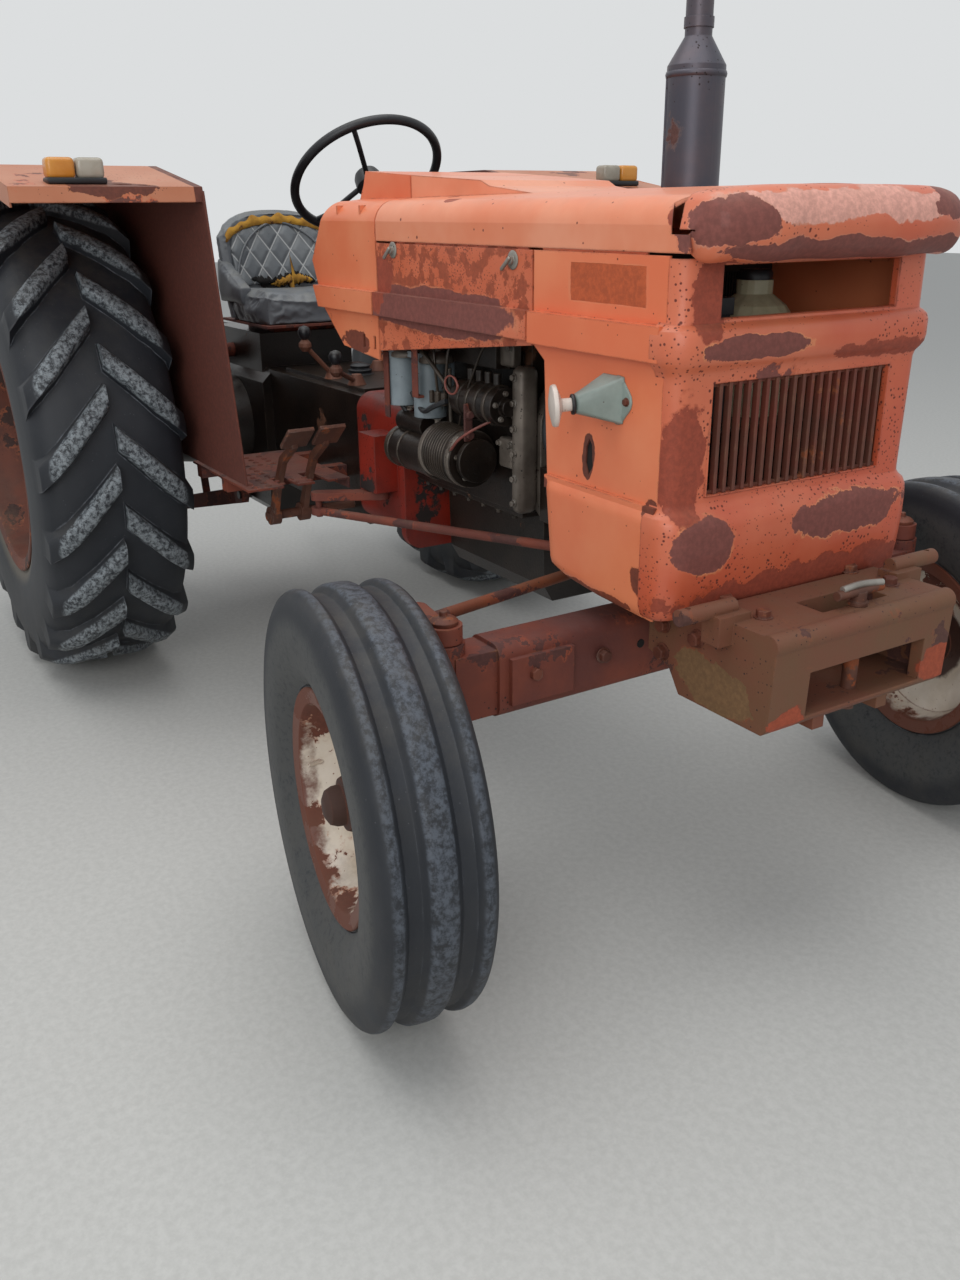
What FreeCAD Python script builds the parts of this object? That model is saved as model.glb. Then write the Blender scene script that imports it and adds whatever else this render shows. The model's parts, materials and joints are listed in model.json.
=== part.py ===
import FreeCAD, Part
import math
import os

# Farm tractor, two-wheel drive, with open platform and three-point hitch.
# Millimetres. +X points forward, +Y to the left-hand side and +Z up.
# X is worked out from the rear axle and Z from the ground.
# The last step shifts every piece so that the origin is the middle of the footprint.

Vector = FreeCAD.Vector

# Wheels and stance
REAR_HALF_TRACK = 791.5
SPINDLE_REACH = 160.0
KINGPIN_X = 2160.0
KINGPIN_Y = 617.0
STEER_REST_DEG = -8.6

FRONT_TYRE_R = 403.0
FRONT_TYRE_W = 205.0
FRONT_SIDES = 28
FRONT_RIB_H = 14.0
FRONT_TYRE_WALL = 14.0
FRONT_BEAD_R = 205.0
FRONT_RIM_W = 156.0
FRONT_FLANGE_R = 222.0

REAR_TYRE_R = 729.0
REAR_TYRE_W = 417.0
REAR_SIDES = 32
REAR_LUGS = 20
REAR_LUG_H = 34.0
REAR_LUG_TOP_W = 34.0
REAR_LUG_FOOT_W = 54.0
REAR_LUG_SLANT_DEG = 49.0
REAR_TYRE_WALL = 22.0
REAR_BEAD_R = 382.0
REAR_RIM_W = 392.0
REAR_FLANGE_R = 405.0

RIM_WALL = 6.0
SEAT_GAP = 0.3
RUNNING_GAP = 0.06
CUT_PAST = 10.0

# Front axle and steering
BEAM_DEPTH = 100.0
BEAM_TOP_Z = 675.0
BEAM_LOW_Z = 530.0
SLEEVE_HALF = 530.0
INNER_BEAM_INSET = 9.0
SLEEVE_CORNER_R = 26.0
SLEEVE_PLATE = (70.0, 92.0, 12.0)
KINGPIN_HOUSING_R = 38.0
KINGPIN_R = 20.0
ARM_T = 22.0
ARM_Z = 690.0
ARM_LENGTH = 140.0
ARM_HALF_W = 20.0
TIE_ROD_R = 12.0
EYE_R = 21.0
EYE_T = 20.0
EYE_GAP = 4.0
PIN_R = 9.0
SPINDLE_R = 24.0
RELAY_BACK = 130.0
RELAY_X = KINGPIN_X - RELAY_BACK
RELAY_HUB_R = 30.0
DRAG_ARM_X = -60.0
DRAG_ARM_Y = -160.0
DRAG_ROD_R = 11.0
PITMAN_ARM_Z = 682.0
PITMAN_EYE_GAP = 20.0
PITMAN_BACK = 110.0
PITMAN_Y = -211.0

# Front support, the cast frame that carries the axle, the radiator and the nose
RAIL_IN_Y = 125.0
RAIL_T = 26.0
RAIL_LOW_Z = 760.0
RAIL_TOP_Z = 880.0
RAIL_FRONT_X = KINGPIN_X + 102.0
PIVOT_BOSS_T = 30.0
AXLE_PIVOT_R = 24.0
AXLE_PIVOT_Z = 600.0
TRAY_Z = 1040.0

# Ballast and towing frame at the front
TOW_HALF_W = 230.0
TOW_REAR_X = RAIL_FRONT_X + 6.0
TOW_FRONT_X = KINGPIN_X + 430.0
TOW_TOP_Z = 745.0
TOW_LOW_Z = 565.0
TOW_WALL = 26.0
TOW_WINDOW = (-140.0, 160.0, 585.0, 668.0)
TOW_SLOT = (-124.0, -60.0, -60.0, 110.0)
TOW_BAR_R = 21.0
TOW_PIN_X = TOW_FRONT_X - 55.0
TOW_PIN_Y = 24.0
PEG_X = TOW_FRONT_X - 135.0
PEG_Z = 765.0
PEG_OUT_Y = 330.0
PEG_R = 15.0
PEG_HOLE_R = 5.0
TOW_PIN_R = 14.0

# Engine, clutch housing and transmission
ENGINE_LENGTH = 499.0
ENGINE_FRONT_X = KINGPIN_X - 418.0
ENGINE_REAR_X = ENGINE_FRONT_X - ENGINE_LENGTH
CRANKCASE_HALF = 165.0
CRANKCASE_LOW_Z = 765.0
CRANKCASE_TOP_Z = 1030.0
SUMP_HALF = 90.0
SUMP_LOW_Z = 530.0
HEAD_HALF = 135.0
HEAD_TOP_Z = 1150.0
COVER_HALF = 95.0
COVER_TOP_Z = 1240.0
CYLINDERS = 4
PORT_R = 23.0
INTAKE_REAR = 240.0
MANIFOLD_LOW_Z = 1075.0
MANIFOLD_TOP_Z = 1130.0
MANIFOLD_OUT_Y = 190.0
TIMING_T = 48.0
TIMING_HALF = 150.0
TIMING_LOW_Z = 737.0
TIMING_TOP_Z = 1084.0
FAN_Z = 1020.0
FAN_R = 190.0
FAN_BLADES = 6
CRANK_Z = 800.0
CRANK_PULLEY_R = 84.0
CLUTCH_SHARE = 0.7627
CLUTCH_REAR_X = CLUTCH_SHARE * ENGINE_REAR_X
CLUTCH_HALF = 185.0
CLUTCH_TOP_Z = 940.0
CLUTCH_LOW_Z = 587.0
CLUTCH_CORNER_R = 46.0
FLANGE_PROUD = 14.0
FLANGE_T = 24.0
GEARBOX_HALF = 160.0
GEARBOX_LOW_Z = 560.0
GEARBOX_TOP_Z = 925.0
FINAL_DRIVE_FRONT_X = 260.0
FINAL_DRIVE_REAR_X = -250.0
FINAL_DRIVE_HALF = 190.0
FINAL_DRIVE_LOW_Z = REAR_TYRE_R - 299.0
FINAL_DRIVE_TOP_Z = REAR_TYRE_R + 196.0
FINAL_DRIVE_CORNER = 40.0
LIFT_HALF = 165.0
LIFT_TOP_Z = REAR_TYRE_R + 306.0
TRUMPET_ROOT_R = 150.0
TRUMPET_END_R = 92.0
TRUMPET_END_Y = 655.0
REAR_SHAFT_R = 42.0
PTO_Z = FINAL_DRIVE_LOW_Z + 170.0
PTO_R = 17.5
PTO_LENGTH = 76.0

# Bonnet, cowl, side panels and nose
BONNET_HALF = 302.0
BONNET_SEAM_Z = 1344.0
BONNET_SHOULDER_Z = 1386.0
BONNET_TOP_Z = 1447.0
BONNET_SHOULDER_IN = 60.0
BONNET_SHOULDER_TOP_Z = 1431.0
BONNET_FRONT_X = KINGPIN_X + 240.0
BONNET_REAR_X = ENGINE_REAR_X - 135.0
TEAR = (170.0, 96.0)
SHEET = 5.0
SEAM = 4.0
HUMP_FRONT_X = ENGINE_FRONT_X + 48.0
HUMP_STEP_X = HUMP_FRONT_X - 203.0
HUMP_REAR_Z = 1508.0
HUMP_STEP_Z = 1469.0
HUMP_HALF_REAR = 205.0
HUMP_HALF_FRONT = 150.0
COWL_FRONT_X = ENGINE_REAR_X + 87.0
COWL_REAR_MID = (ENGINE_REAR_X - 274.0, 1291.0)
COWL_REAR_LOW = (ENGINE_REAR_X - 107.0, 1092.0)
COWL_LOW_Z = 1075.0
SKIRT_SLOTS = (-78.0, -22.0)
SKIRT_SLOT_Z = 1098.0
BELT_OUT = 16.0
BELT_LOW_REAR_Z = 1180.0
BELT_TOP_Z = 1232.0
PANEL_REAR_X = COWL_FRONT_X + SEAM + 1.0
NOSE_REAR_X = KINGPIN_X - 183.0
PANEL_FRONT_X = NOSE_REAR_X - SEAM - 1.0
PANEL_LOW_REAR_Z = 1097.0
PANEL_LOW_FRONT_Z = 1167.0
NOSE_FACE_X = KINGPIN_X + 225.0
NOSE_LOW_Z = 722.0
NOSE_CORNER = 30.0
BROW_FRONT_X = NOSE_FACE_X + 105.0
BROW_LOW_Z = 1332.0
BROW_WALL = 8.0
LAMP_OPENING = (-215.0, 215.0, 1240.0, 1326.0)
GRILLE_OPENING = (-220.0, 220.0, 945.0, 1138.0)
GRILLE_BARS = 19
GRILLE_BAR_W = 7.0
GRILLE_RAIL_T = 8.0

# Radiator, battery and what shows round them
RADIATOR_X = KINGPIN_X - 205.0
RADIATOR_T = 92.0
RADIATOR_HALF = 245.0
RADIATOR_TOP_Z = 1360.0
RADIATOR_TANK_H = 60.0
BATTERY_H = 222.0
COOLANT_Y = 48.0

# Exhaust stack on the left-hand side
STACK_X = ENGINE_FRONT_X - 122.0
STACK_Y = 392.0
SILENCER_R = 67.0
SILENCER_LOW_Z = 1110.0
STACK_ELBOW_Y = 62.0
STACK_ELBOW_Z = 1070.0
ELBOW_R = 32.0
SILENCER_TOP_Z = 1712.0
SILENCER_TAPER = 60.0
STACK_PIPE_R = 31.0
STACK_PIPE_WALL = 2.5
STACK_TOP_Z = 2205.0

# Fenders, platform and seat
FENDER_WALL_Y = 540.0
FENDER_OUT_Y = 1000.0
FENDER_TOP_Z = 2 * REAR_TYRE_R + 69.0
FENDER_RIDGE_X = 0.6584 * REAR_TYRE_R
FENDER_FRONT_X = REAR_TYRE_R + 116.0
FENDER_FRONT_Z = FENDER_TOP_Z - 59.0
FENDER_LIP = 46.0
FOOTPLATE_IN_Y = 235.0
FOOTPLATE_REAR_X = 530.0
FOOTPLATE_Z = REAR_TYRE_R - 13.0
FOOTPLATE_T = 6.0
FENDER_FOOT_X = REAR_TYRE_R + 266.0
FENDER_FOOT_Z = FOOTPLATE_Z + 15.0
FOOTPLATE_FRONT_X = FENDER_FOOT_X - 10.0
PEDAL_SHARE = 0.846
PEDAL_SHAFT_Z = 600.0
PEDAL_SHAFT_R = 13.0
PEDAL_Y = (-320.0, -410.0)
CLUTCH_PEDAL_Y = 330.0
PEDAL_SLOT_HALF = 20.0
PEDAL_SLOT_LONG = 160.0
SEAT_REAR_X = -60.0
SEAT_FRONT_X = 390.0
SEAT_HALF = 232.0
SEAT_PAN_Z = LIFT_TOP_Z + 37.0
SEAT_PAN_T = 8.0
SEAT_CUSHION_Z = SEAT_PAN_Z + 86.0
SEAT_BACK_TOP_Z = SEAT_PAN_Z + 362.0
SEAT_CORNER_R = 60.0

# Steering wheel and column
HAND_WHEEL_CENTRE = (ENGINE_REAR_X - 543.0, 1500.0)
HAND_WHEEL_R = 225.0
HAND_WHEEL_GRIP_R = 13.0
HAND_WHEEL_SIDES = 32
COLUMN_ANGLE_DEG = 50.0
COLUMN_R = 27.0

# Three-point hitch, lowered
LINK_PIVOT = (40.0, FINAL_DRIVE_LOW_Z + 40.0)
LINK_PIVOT_Y = 209.0
LINK_LENGTH = 860.0
LINK_END_Y = 435.0
LINK_T = 26.0
LINK_H = 58.0
LINK_STRAIGHT = 60.0
LINK_PIN_R = 14.0
LINK_BALL_BORE_R = 14.35
LINK_BALL_R = 38.0
LINK_BALL_W = 44.0
LINK_DOWN_DEG = -14.0
LIFT_PIN_AT = 300.0
ROCKSHAFT = (-60.0, LIFT_TOP_Z - 75.0)
ROCKSHAFT_R = 24.0
LIFT_ARM_IN_Y = 206.0
LIFT_ARM_T = 24.0
LIFT_ARM_ROOT_R = 40.0
LIFT_ROD_Y = 246.0
LIFT_ROD_R = 14.0
LIFT_EYE_R = 26.0
LIFT_EYE_T = 20.0
LIFT_PIN_R = 10.0
PIN_PROUD = 6.0
TOP_LINK_AT = (FINAL_DRIVE_REAR_X - 36.0, FINAL_DRIVE_TOP_Z - 35.0)
TOP_LINK_BORE_R = 12.95
TOP_LINK_EAR_T = 14.0
TOP_LINK_EAR_OUT = 34.0
DRAWBAR_Z = FINAL_DRIVE_LOW_Z - 30.0
DRAWBAR_T = 32.0
DRAWBAR_HALF = 38.0
DRAWBAR_REAR_X = -470.0
DRAWBAR_HOLE_X = DRAWBAR_REAR_X + 45.0
DRAWBAR_BORE_R = 16.5

# The frame's origin is midway between the front of the towing frame and the hitch balls
HITCH_REACH = LINK_PIVOT[0] - LINK_LENGTH * math.cos(math.radians(LINK_DOWN_DEG)) - LINK_BALL_R
ORIGIN_X = (TOW_FRONT_X + HITCH_REACH) / 2.0

parts = {}


def block(x0, x1, y0, y1, z0, z1):
    """Return a box between two corners."""
    return Part.makeBox(x1 - x0, y1 - y0, z1 - z0, Vector(x0, y0, z0))


def bar(start, end, radius):
    """Return a round bar between two points."""
    run = Vector(*end).sub(Vector(*start))
    return Part.makeCylinder(radius, run.Length, Vector(*start), run)


def across(x, z, y0, y1, radius):
    """Return a round bar that lies along Y."""
    return Part.makeCylinder(radius, abs(y1 - y0), Vector(x, min(y0, y1), z), Vector(0, 1, 0))


def upright(x, y, z0, z1, radius):
    """Return a round bar that stands along Z."""
    return Part.makeCylinder(radius, z1 - z0, Vector(x, y, z0), Vector(0, 0, 1))


def outline_face(corners):
    """Return a flat face from the corners of its outline."""
    return Part.Face(Part.makePolygon(corners + [corners[0]]))


def side_plate(corners, y0, y1):
    """Return a plate whose outline is given in X and Z, from y0 to y1."""
    face = outline_face([Vector(x, y0, z) for x, z in corners])
    return face.extrude(Vector(0, y1 - y0, 0))


def cross_plate(corners, x0, x1):
    """Return a plate whose outline is given in Y and Z, from x0 to x1."""
    face = outline_face([Vector(x0, y, z) for y, z in corners])
    return face.extrude(Vector(x1 - x0, 0, 0))


def flat_plate(corners, z0, z1):
    """Return a plate whose outline is given in X and Y, from z0 to z1."""
    face = outline_face([Vector(x, y, z0) for x, y in corners])
    return face.extrude(Vector(0, 0, z1 - z0))


def turned(profile, x, y, z):
    """Return a body turned about Y, from a profile of radius and distance along Y."""
    face = outline_face([Vector(x + radius, y + along, z) for radius, along in profile])
    return face.revolve(Vector(x, y, z), Vector(0, 1, 0), 360)


def closed_solid(faces):
    """Return the solid inside a closed set of flat faces."""
    solid = Part.Solid(Part.Shell(faces))
    if solid.Volume < 0:
        solid.reverse()
    return solid


def faceted_ring(profile, sides, x, y, z):
    """Return a ring round Y with flat facets, from a closed profile of radius and distance along Y."""
    def corner(point, index):
        turn = 2 * math.pi * index / sides
        return Vector(x + point[0] * math.cos(turn), y + point[1], z + point[0] * math.sin(turn))

    faces = []
    for a, b in zip(profile, profile[1:] + profile[:1]):
        for index in range(sides):
            faces.append(outline_face([corner(a, index), corner(b, index), corner(b, index + 1),
                                       corner(a, index + 1)]))
    return closed_solid(faces)


def lofted(sections):
    """Return a straight-sided loft through outlines that have the same number of corners."""
    wires = [Part.makePolygon(points + [points[0]]) for points in sections]
    return Part.makeLoft(wires, True, True)


def polygon_points(radius, sides, x, y, z):
    """Return the corners of a level regular polygon."""
    turns = [2 * math.pi * index / sides for index in range(sides)]
    return [Vector(x + radius * math.cos(t), y + radius * math.sin(t), z) for t in turns]


def joined(shapes):
    """Return one solid from pieces that meet."""
    return shapes[0].multiFuse(shapes[1:]).removeSplitter()


def mirrored(shape):
    """Return the other side's copy of a shape."""
    return shape.mirror(Vector(0, 0, 0), Vector(0, 1, 0))


def both_sides(shape):
    """Return a shape with its mirror image, as two solids."""
    return Part.makeCompound([shape, mirrored(shape)])


def lever(start, end, half_width, z0, z1):
    """Return a flat lever with round ends, between two points in plan."""
    length = math.dist(start, end)
    along = ((end[0] - start[0]) / length, (end[1] - start[1]) / length)
    side = (-along[1] * half_width, along[0] * half_width)
    corners = [
        (start[0] + side[0], start[1] + side[1]),
        (end[0] + side[0], end[1] + side[1]),
        (end[0] - side[0], end[1] - side[1]),
        (start[0] - side[0], start[1] - side[1]),
    ]
    ends = [upright(x, y, z0, z1, half_width) for x, y in (start, end)]
    return joined([flat_plate(corners, z0, z1)] + ends)


def steered(point, angle_deg=STEER_REST_DEG):
    """Return a plan vector turned by a steering angle."""
    turn = math.radians(angle_deg)
    x, y = point
    return (x * math.cos(turn) - y * math.sin(turn), x * math.sin(turn) + y * math.cos(turn))


# Steering points in plan, at the angle that the wheels stand at
ARM_VECTOR = steered((-ARM_LENGTH, 0.0))
DRAG_VECTOR = steered((DRAG_ARM_X, DRAG_ARM_Y))
RELAY_PIN = (RELAY_X + ARM_VECTOR[0], ARM_VECTOR[1])
DRAG_PIN = (RELAY_X + DRAG_VECTOR[0], DRAG_VECTOR[1])
PITMAN_PIVOT = (ENGINE_REAR_X - PITMAN_BACK, PITMAN_Y)
PITMAN_PIN = (PITMAN_PIVOT[0] + DRAG_VECTOR[0], PITMAN_PIVOT[1] + DRAG_VECTOR[1])
TIE_EYE_TOP_Z = ARM_Z - EYE_GAP
TIE_EYE_Z = TIE_EYE_TOP_Z - EYE_T
LOWER_EYE_Z = TIE_EYE_Z - EYE_GAP - EYE_T
DRAG_EYE_Z = ARM_Z + ARM_T + EYE_GAP
PITMAN_EYE_Z = PITMAN_ARM_Z - PITMAN_EYE_GAP - EYE_T


def axle_beam():
    """Build the front axle: sleeve, sliding extensions, bolted plates and kingpin housings."""
    half = BEAM_DEPTH / 2
    sleeve = block(KINGPIN_X - half, KINGPIN_X + half, -SLEEVE_HALF, SLEEVE_HALF, BEAM_LOW_Z, BEAM_TOP_Z)
    long_edges = [e for e in sleeve.Edges if abs(e.tangentAt(e.FirstParameter).y) > 0.9]
    sleeve = sleeve.makeFillet(SLEEVE_CORNER_R, long_edges)
    inset = INNER_BEAM_INSET
    inner = block(KINGPIN_X - half + inset, KINGPIN_X + half - inset, -KINGPIN_Y, KINGPIN_Y,
                  BEAM_LOW_Z + inset, BEAM_TOP_Z - inset)
    pieces = [sleeve, inner]
    plate_long, plate_high, plate_t = SLEEVE_PLATE
    middle = (BEAM_LOW_Z + BEAM_TOP_Z) / 2
    for side in (-1, 1):
        y0, y1 = sorted((side * (SLEEVE_HALF - 20.0), side * (SLEEVE_HALF - 20.0 - 2 * plate_long)))
        pieces.append(block(KINGPIN_X + half - 1, KINGPIN_X + half + plate_t, y0, y1,
                            middle - plate_high / 2, middle + plate_high / 2))
        pieces.append(upright(KINGPIN_X, side * KINGPIN_Y, BEAM_LOW_Z - 12, ARM_Z - 2, KINGPIN_HOUSING_R))
    beam = joined(pieces)
    for y in (-KINGPIN_Y, KINGPIN_Y):
        beam = beam.cut(upright(KINGPIN_X, y, BEAM_LOW_Z - 20, ARM_Z + 10, KINGPIN_R + RUNNING_GAP))
    pivot_hole = Part.makeCylinder(AXLE_PIVOT_R, BEAM_DEPTH + 2 * CUT_PAST,
                                   Vector(KINGPIN_X - half - CUT_PAST, 0, AXLE_PIVOT_Z), Vector(1, 0, 0))
    parts["axle_beam"] = beam.cut(pivot_hole)


def front_tyre(half, x, y, z):
    """Return a front tyre with three ribs and a hollow carcass open to the rim."""
    side = FRONT_RIM_W / 2 - RIM_WALL - SEAT_GAP
    crown = half * 0.74
    rib_in = half * 0.34
    rib_out = half * 0.16
    groove = (rib_in + rib_out) / 2
    cavity_r = FRONT_TYRE_R - FRONT_RIB_H - FRONT_TYRE_WALL
    right = [
        (FRONT_BEAD_R, side - FRONT_TYRE_WALL), (FRONT_BEAD_R, side), (FRONT_FLANGE_R + 3.0, side),
        (FRONT_TYRE_R * 0.77, half), (FRONT_TYRE_R - 6.0, crown), (FRONT_TYRE_R, rib_in),
        (FRONT_TYRE_R - FRONT_RIB_H, groove), (FRONT_TYRE_R, rib_out),
    ]
    left = [(radius, -along) for radius, along in reversed(right)]
    cavity = [(cavity_r, -half * 0.55), (cavity_r, half * 0.55)]
    return faceted_ring(right + left + cavity, FRONT_SIDES, x, y, z)


def channel(bead_r, flange_r, width):
    """Return the profile of a rim's channel as radius and distance along Y."""
    out = width / 2
    inner = out - RIM_WALL
    seat = bead_r - SEAT_GAP
    return [
        (flange_r, -out), (flange_r, -inner), (seat, -inner), (seat, inner),
        (flange_r, inner), (flange_r, out), (seat - RIM_WALL, out), (seat - RIM_WALL, -out),
    ]


def front_rim(x, y, z):
    """Return the right-hand front rim with its disc and hub, outside toward -Y."""
    bowl = FRONT_BEAD_R - SEAT_GAP - RIM_WALL
    disc = [(48, 6), (105, 6), (150, -14), (bowl + 1, -14), (bowl + 1, -22), (150, -22), (105, -2),
            (48, -2)]
    hub = [(SPINDLE_R + RUNNING_GAP, 52), (52, 52), (52, -40), (40, -58), (40, -74), (0, -74), (0, -46),
           (SPINDLE_R + RUNNING_GAP, -46)]
    rim = faceted_ring(channel(FRONT_BEAD_R, FRONT_FLANGE_R, FRONT_RIM_W), FRONT_SIDES, x, y, z)
    return joined([rim, faceted_ring(disc, FRONT_SIDES, x, y, z), turned(hub, x, y, z)])


def front_corner(side):
    """Build the knuckle, rim and tyre of one front corner; side is -1 right, 1 left."""
    wheel_y = -(KINGPIN_Y + SPINDLE_REACH)
    pivot = Vector(KINGPIN_X, -KINGPIN_Y, 0)
    turn = STEER_REST_DEG if side < 0 else -STEER_REST_DEG
    pin = upright(KINGPIN_X, -KINGPIN_Y, FRONT_TYRE_R - 30, ARM_Z + ARM_T, KINGPIN_R)
    foot = upright(KINGPIN_X, -KINGPIN_Y, FRONT_TYRE_R - 48, BEAM_LOW_Z - 14, KINGPIN_HOUSING_R)
    boss = across(KINGPIN_X, FRONT_TYRE_R, -KINGPIN_Y, wheel_y + 58, 34)
    spindle = across(KINGPIN_X, FRONT_TYRE_R, -KINGPIN_Y, wheel_y - 44, SPINDLE_R)
    arm_end = (KINGPIN_X - ARM_LENGTH, -KINGPIN_Y)
    arm = lever((KINGPIN_X, -KINGPIN_Y), arm_end, ARM_HALF_W, ARM_Z, ARM_Z + ARM_T)
    arm_hub = upright(KINGPIN_X, -KINGPIN_Y, ARM_Z, ARM_Z + ARM_T + 10, 34)
    eye_pin = upright(arm_end[0], arm_end[1], TIE_EYE_Z - 8, ARM_Z + 1, PIN_R)
    knuckle = joined([pin, foot, boss, spindle, arm, arm_hub, eye_pin])
    rim = front_rim(KINGPIN_X, wheel_y, FRONT_TYRE_R)
    tyre = front_tyre(FRONT_TYRE_W / 2, KINGPIN_X, wheel_y, FRONT_TYRE_R)
    for name, shape in (("knuckle", knuckle), ("front_rim", rim), ("front_tyre", tyre)):
        shape.rotate(pivot, Vector(0, 0, 1), turn)
        if side > 0:
            shape = mirrored(shape)
        parts[name + ("_right" if side < 0 else "_left")] = shape


def steering_linkage():
    """Build the relay lever, tie rods, drag link and drop arm in plan."""
    hub = upright(RELAY_X, 0, ARM_Z, ARM_Z + ARM_T, RELAY_HUB_R)
    stub = upright(RELAY_X, 0, ARM_Z + ARM_T, RAIL_LOW_Z + 12, KINGPIN_R)
    rear_arm = lever((RELAY_X, 0), RELAY_PIN, ARM_HALF_W, ARM_Z, ARM_Z + ARM_T)
    side_arm = lever((RELAY_X, 0), DRAG_PIN, ARM_HALF_W, ARM_Z, ARM_Z + ARM_T)
    rear_pin = upright(RELAY_PIN[0], RELAY_PIN[1], LOWER_EYE_Z - 6, ARM_Z + 1, PIN_R)
    side_pin = upright(DRAG_PIN[0], DRAG_PIN[1], ARM_Z + ARM_T - 1, DRAG_EYE_Z + EYE_T + 6, PIN_R)
    parts["relay_lever"] = joined([hub, stub, rear_arm, side_arm, rear_pin, side_pin])
    for name, side, inner_z in (("right", -1, TIE_EYE_Z), ("left", 1, LOWER_EYE_Z)):
        outer = (KINGPIN_X + ARM_VECTOR[0], side * KINGPIN_Y + ARM_VECTOR[1])
        parts["tie_rod_" + name] = rod_with_eyes(RELAY_PIN, inner_z, outer, TIE_EYE_Z, TIE_ROD_R)
    parts["drag_link"] = rod_with_eyes(DRAG_PIN, DRAG_EYE_Z, PITMAN_PIN, PITMAN_EYE_Z, DRAG_ROD_R)
    arm = lever(PITMAN_PIVOT, PITMAN_PIN, ARM_HALF_W, PITMAN_ARM_Z, PITMAN_ARM_Z + ARM_T)
    shaft = upright(PITMAN_PIVOT[0], PITMAN_PIVOT[1], PITMAN_ARM_Z, PITMAN_ARM_Z + 70, KINGPIN_R)
    pin = upright(PITMAN_PIN[0], PITMAN_PIN[1], PITMAN_EYE_Z - 6, PITMAN_ARM_Z + 1, PIN_R)
    parts["drop_arm"] = joined([arm, shaft, pin])


def rod_with_eyes(start, start_z, end, end_z, radius):
    """Return a rod between two eyes whose holes stand upright."""
    length = math.dist(start, end)
    along = ((end[0] - start[0]) / length, (end[1] - start[1]) / length)
    middle = EYE_T / 2
    inset = EYE_R - 4
    first = (start[0] + along[0] * inset, start[1] + along[1] * inset, start_z + middle)
    last = (end[0] - along[0] * inset, end[1] - along[1] * inset, end_z + middle)
    rod = joined([
        upright(start[0], start[1], start_z, start_z + EYE_T, EYE_R),
        upright(end[0], end[1], end_z, end_z + EYE_T, EYE_R),
        bar(first, last, radius),
    ])
    for (x, y), z in ((start, start_z), (end, end_z)):
        rod = rod.cut(upright(x, y, z - EYE_T, z + 2 * EYE_T, PIN_R + RUNNING_GAP))
    return rod


def front_support():
    """Build the cast frame between the engine and the front axle."""
    rail_out = RAIL_IN_Y + RAIL_T
    rail_rear = ENGINE_FRONT_X + TIMING_T
    boss_front = KINGPIN_X + BEAM_DEPTH / 2 + 8
    boss_rear = KINGPIN_X - BEAM_DEPTH / 2 - 8
    pieces = [
        block(rail_rear, RAIL_FRONT_X, RAIL_IN_Y, rail_out, RAIL_LOW_Z, RAIL_TOP_Z),
        block(rail_rear, RAIL_FRONT_X, -rail_out, -RAIL_IN_Y, RAIL_LOW_Z, RAIL_TOP_Z),
        block(RELAY_X - 60, RAIL_FRONT_X, -rail_out, rail_out, RAIL_LOW_Z, RAIL_LOW_Z + 34),
        block(RADIATOR_X - 10, RADIATOR_X + RADIATOR_T + 10, -RADIATOR_HALF, RADIATOR_HALF,
              RAIL_TOP_Z - 18, RAIL_TOP_Z),
    ]
    for x0, x1 in ((boss_front, boss_front + PIVOT_BOSS_T), (boss_rear - PIVOT_BOSS_T, boss_rear)):
        cheek = [(-44, RAIL_LOW_Z + 10), (44, RAIL_LOW_Z + 10), (36, AXLE_PIVOT_Z - 32),
                 (-36, AXLE_PIVOT_Z - 32)]
        pieces.append(cross_plate(cheek, x0, x1))
    pin = Part.makeCylinder(AXLE_PIVOT_R - 0.2, boss_front - boss_rear + 40,
                            Vector(boss_rear - 20, 0, AXLE_PIVOT_Z), Vector(1, 0, 0))
    pieces.append(pin)
    tray_rear = RADIATOR_X + RADIATOR_T + 16
    for y0 in (-rail_out, rail_out - 8):
        pieces.append(block(tray_rear, RAIL_FRONT_X, y0, y0 + 8, RAIL_TOP_Z - 1, TRAY_Z))
    tray_half = BONNET_HALF - SHEET - SEAT_GAP
    pieces.append(block(tray_rear, RAIL_FRONT_X + 50, -tray_half, tray_half, TRAY_Z - 6, TRAY_Z))
    frame = joined(pieces)
    relay_bore = upright(RELAY_X, 0, RAIL_LOW_Z - 5, RAIL_LOW_Z + 14, KINGPIN_R + RUNNING_GAP)
    parts["front_support"] = frame.cut(relay_bore)


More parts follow.
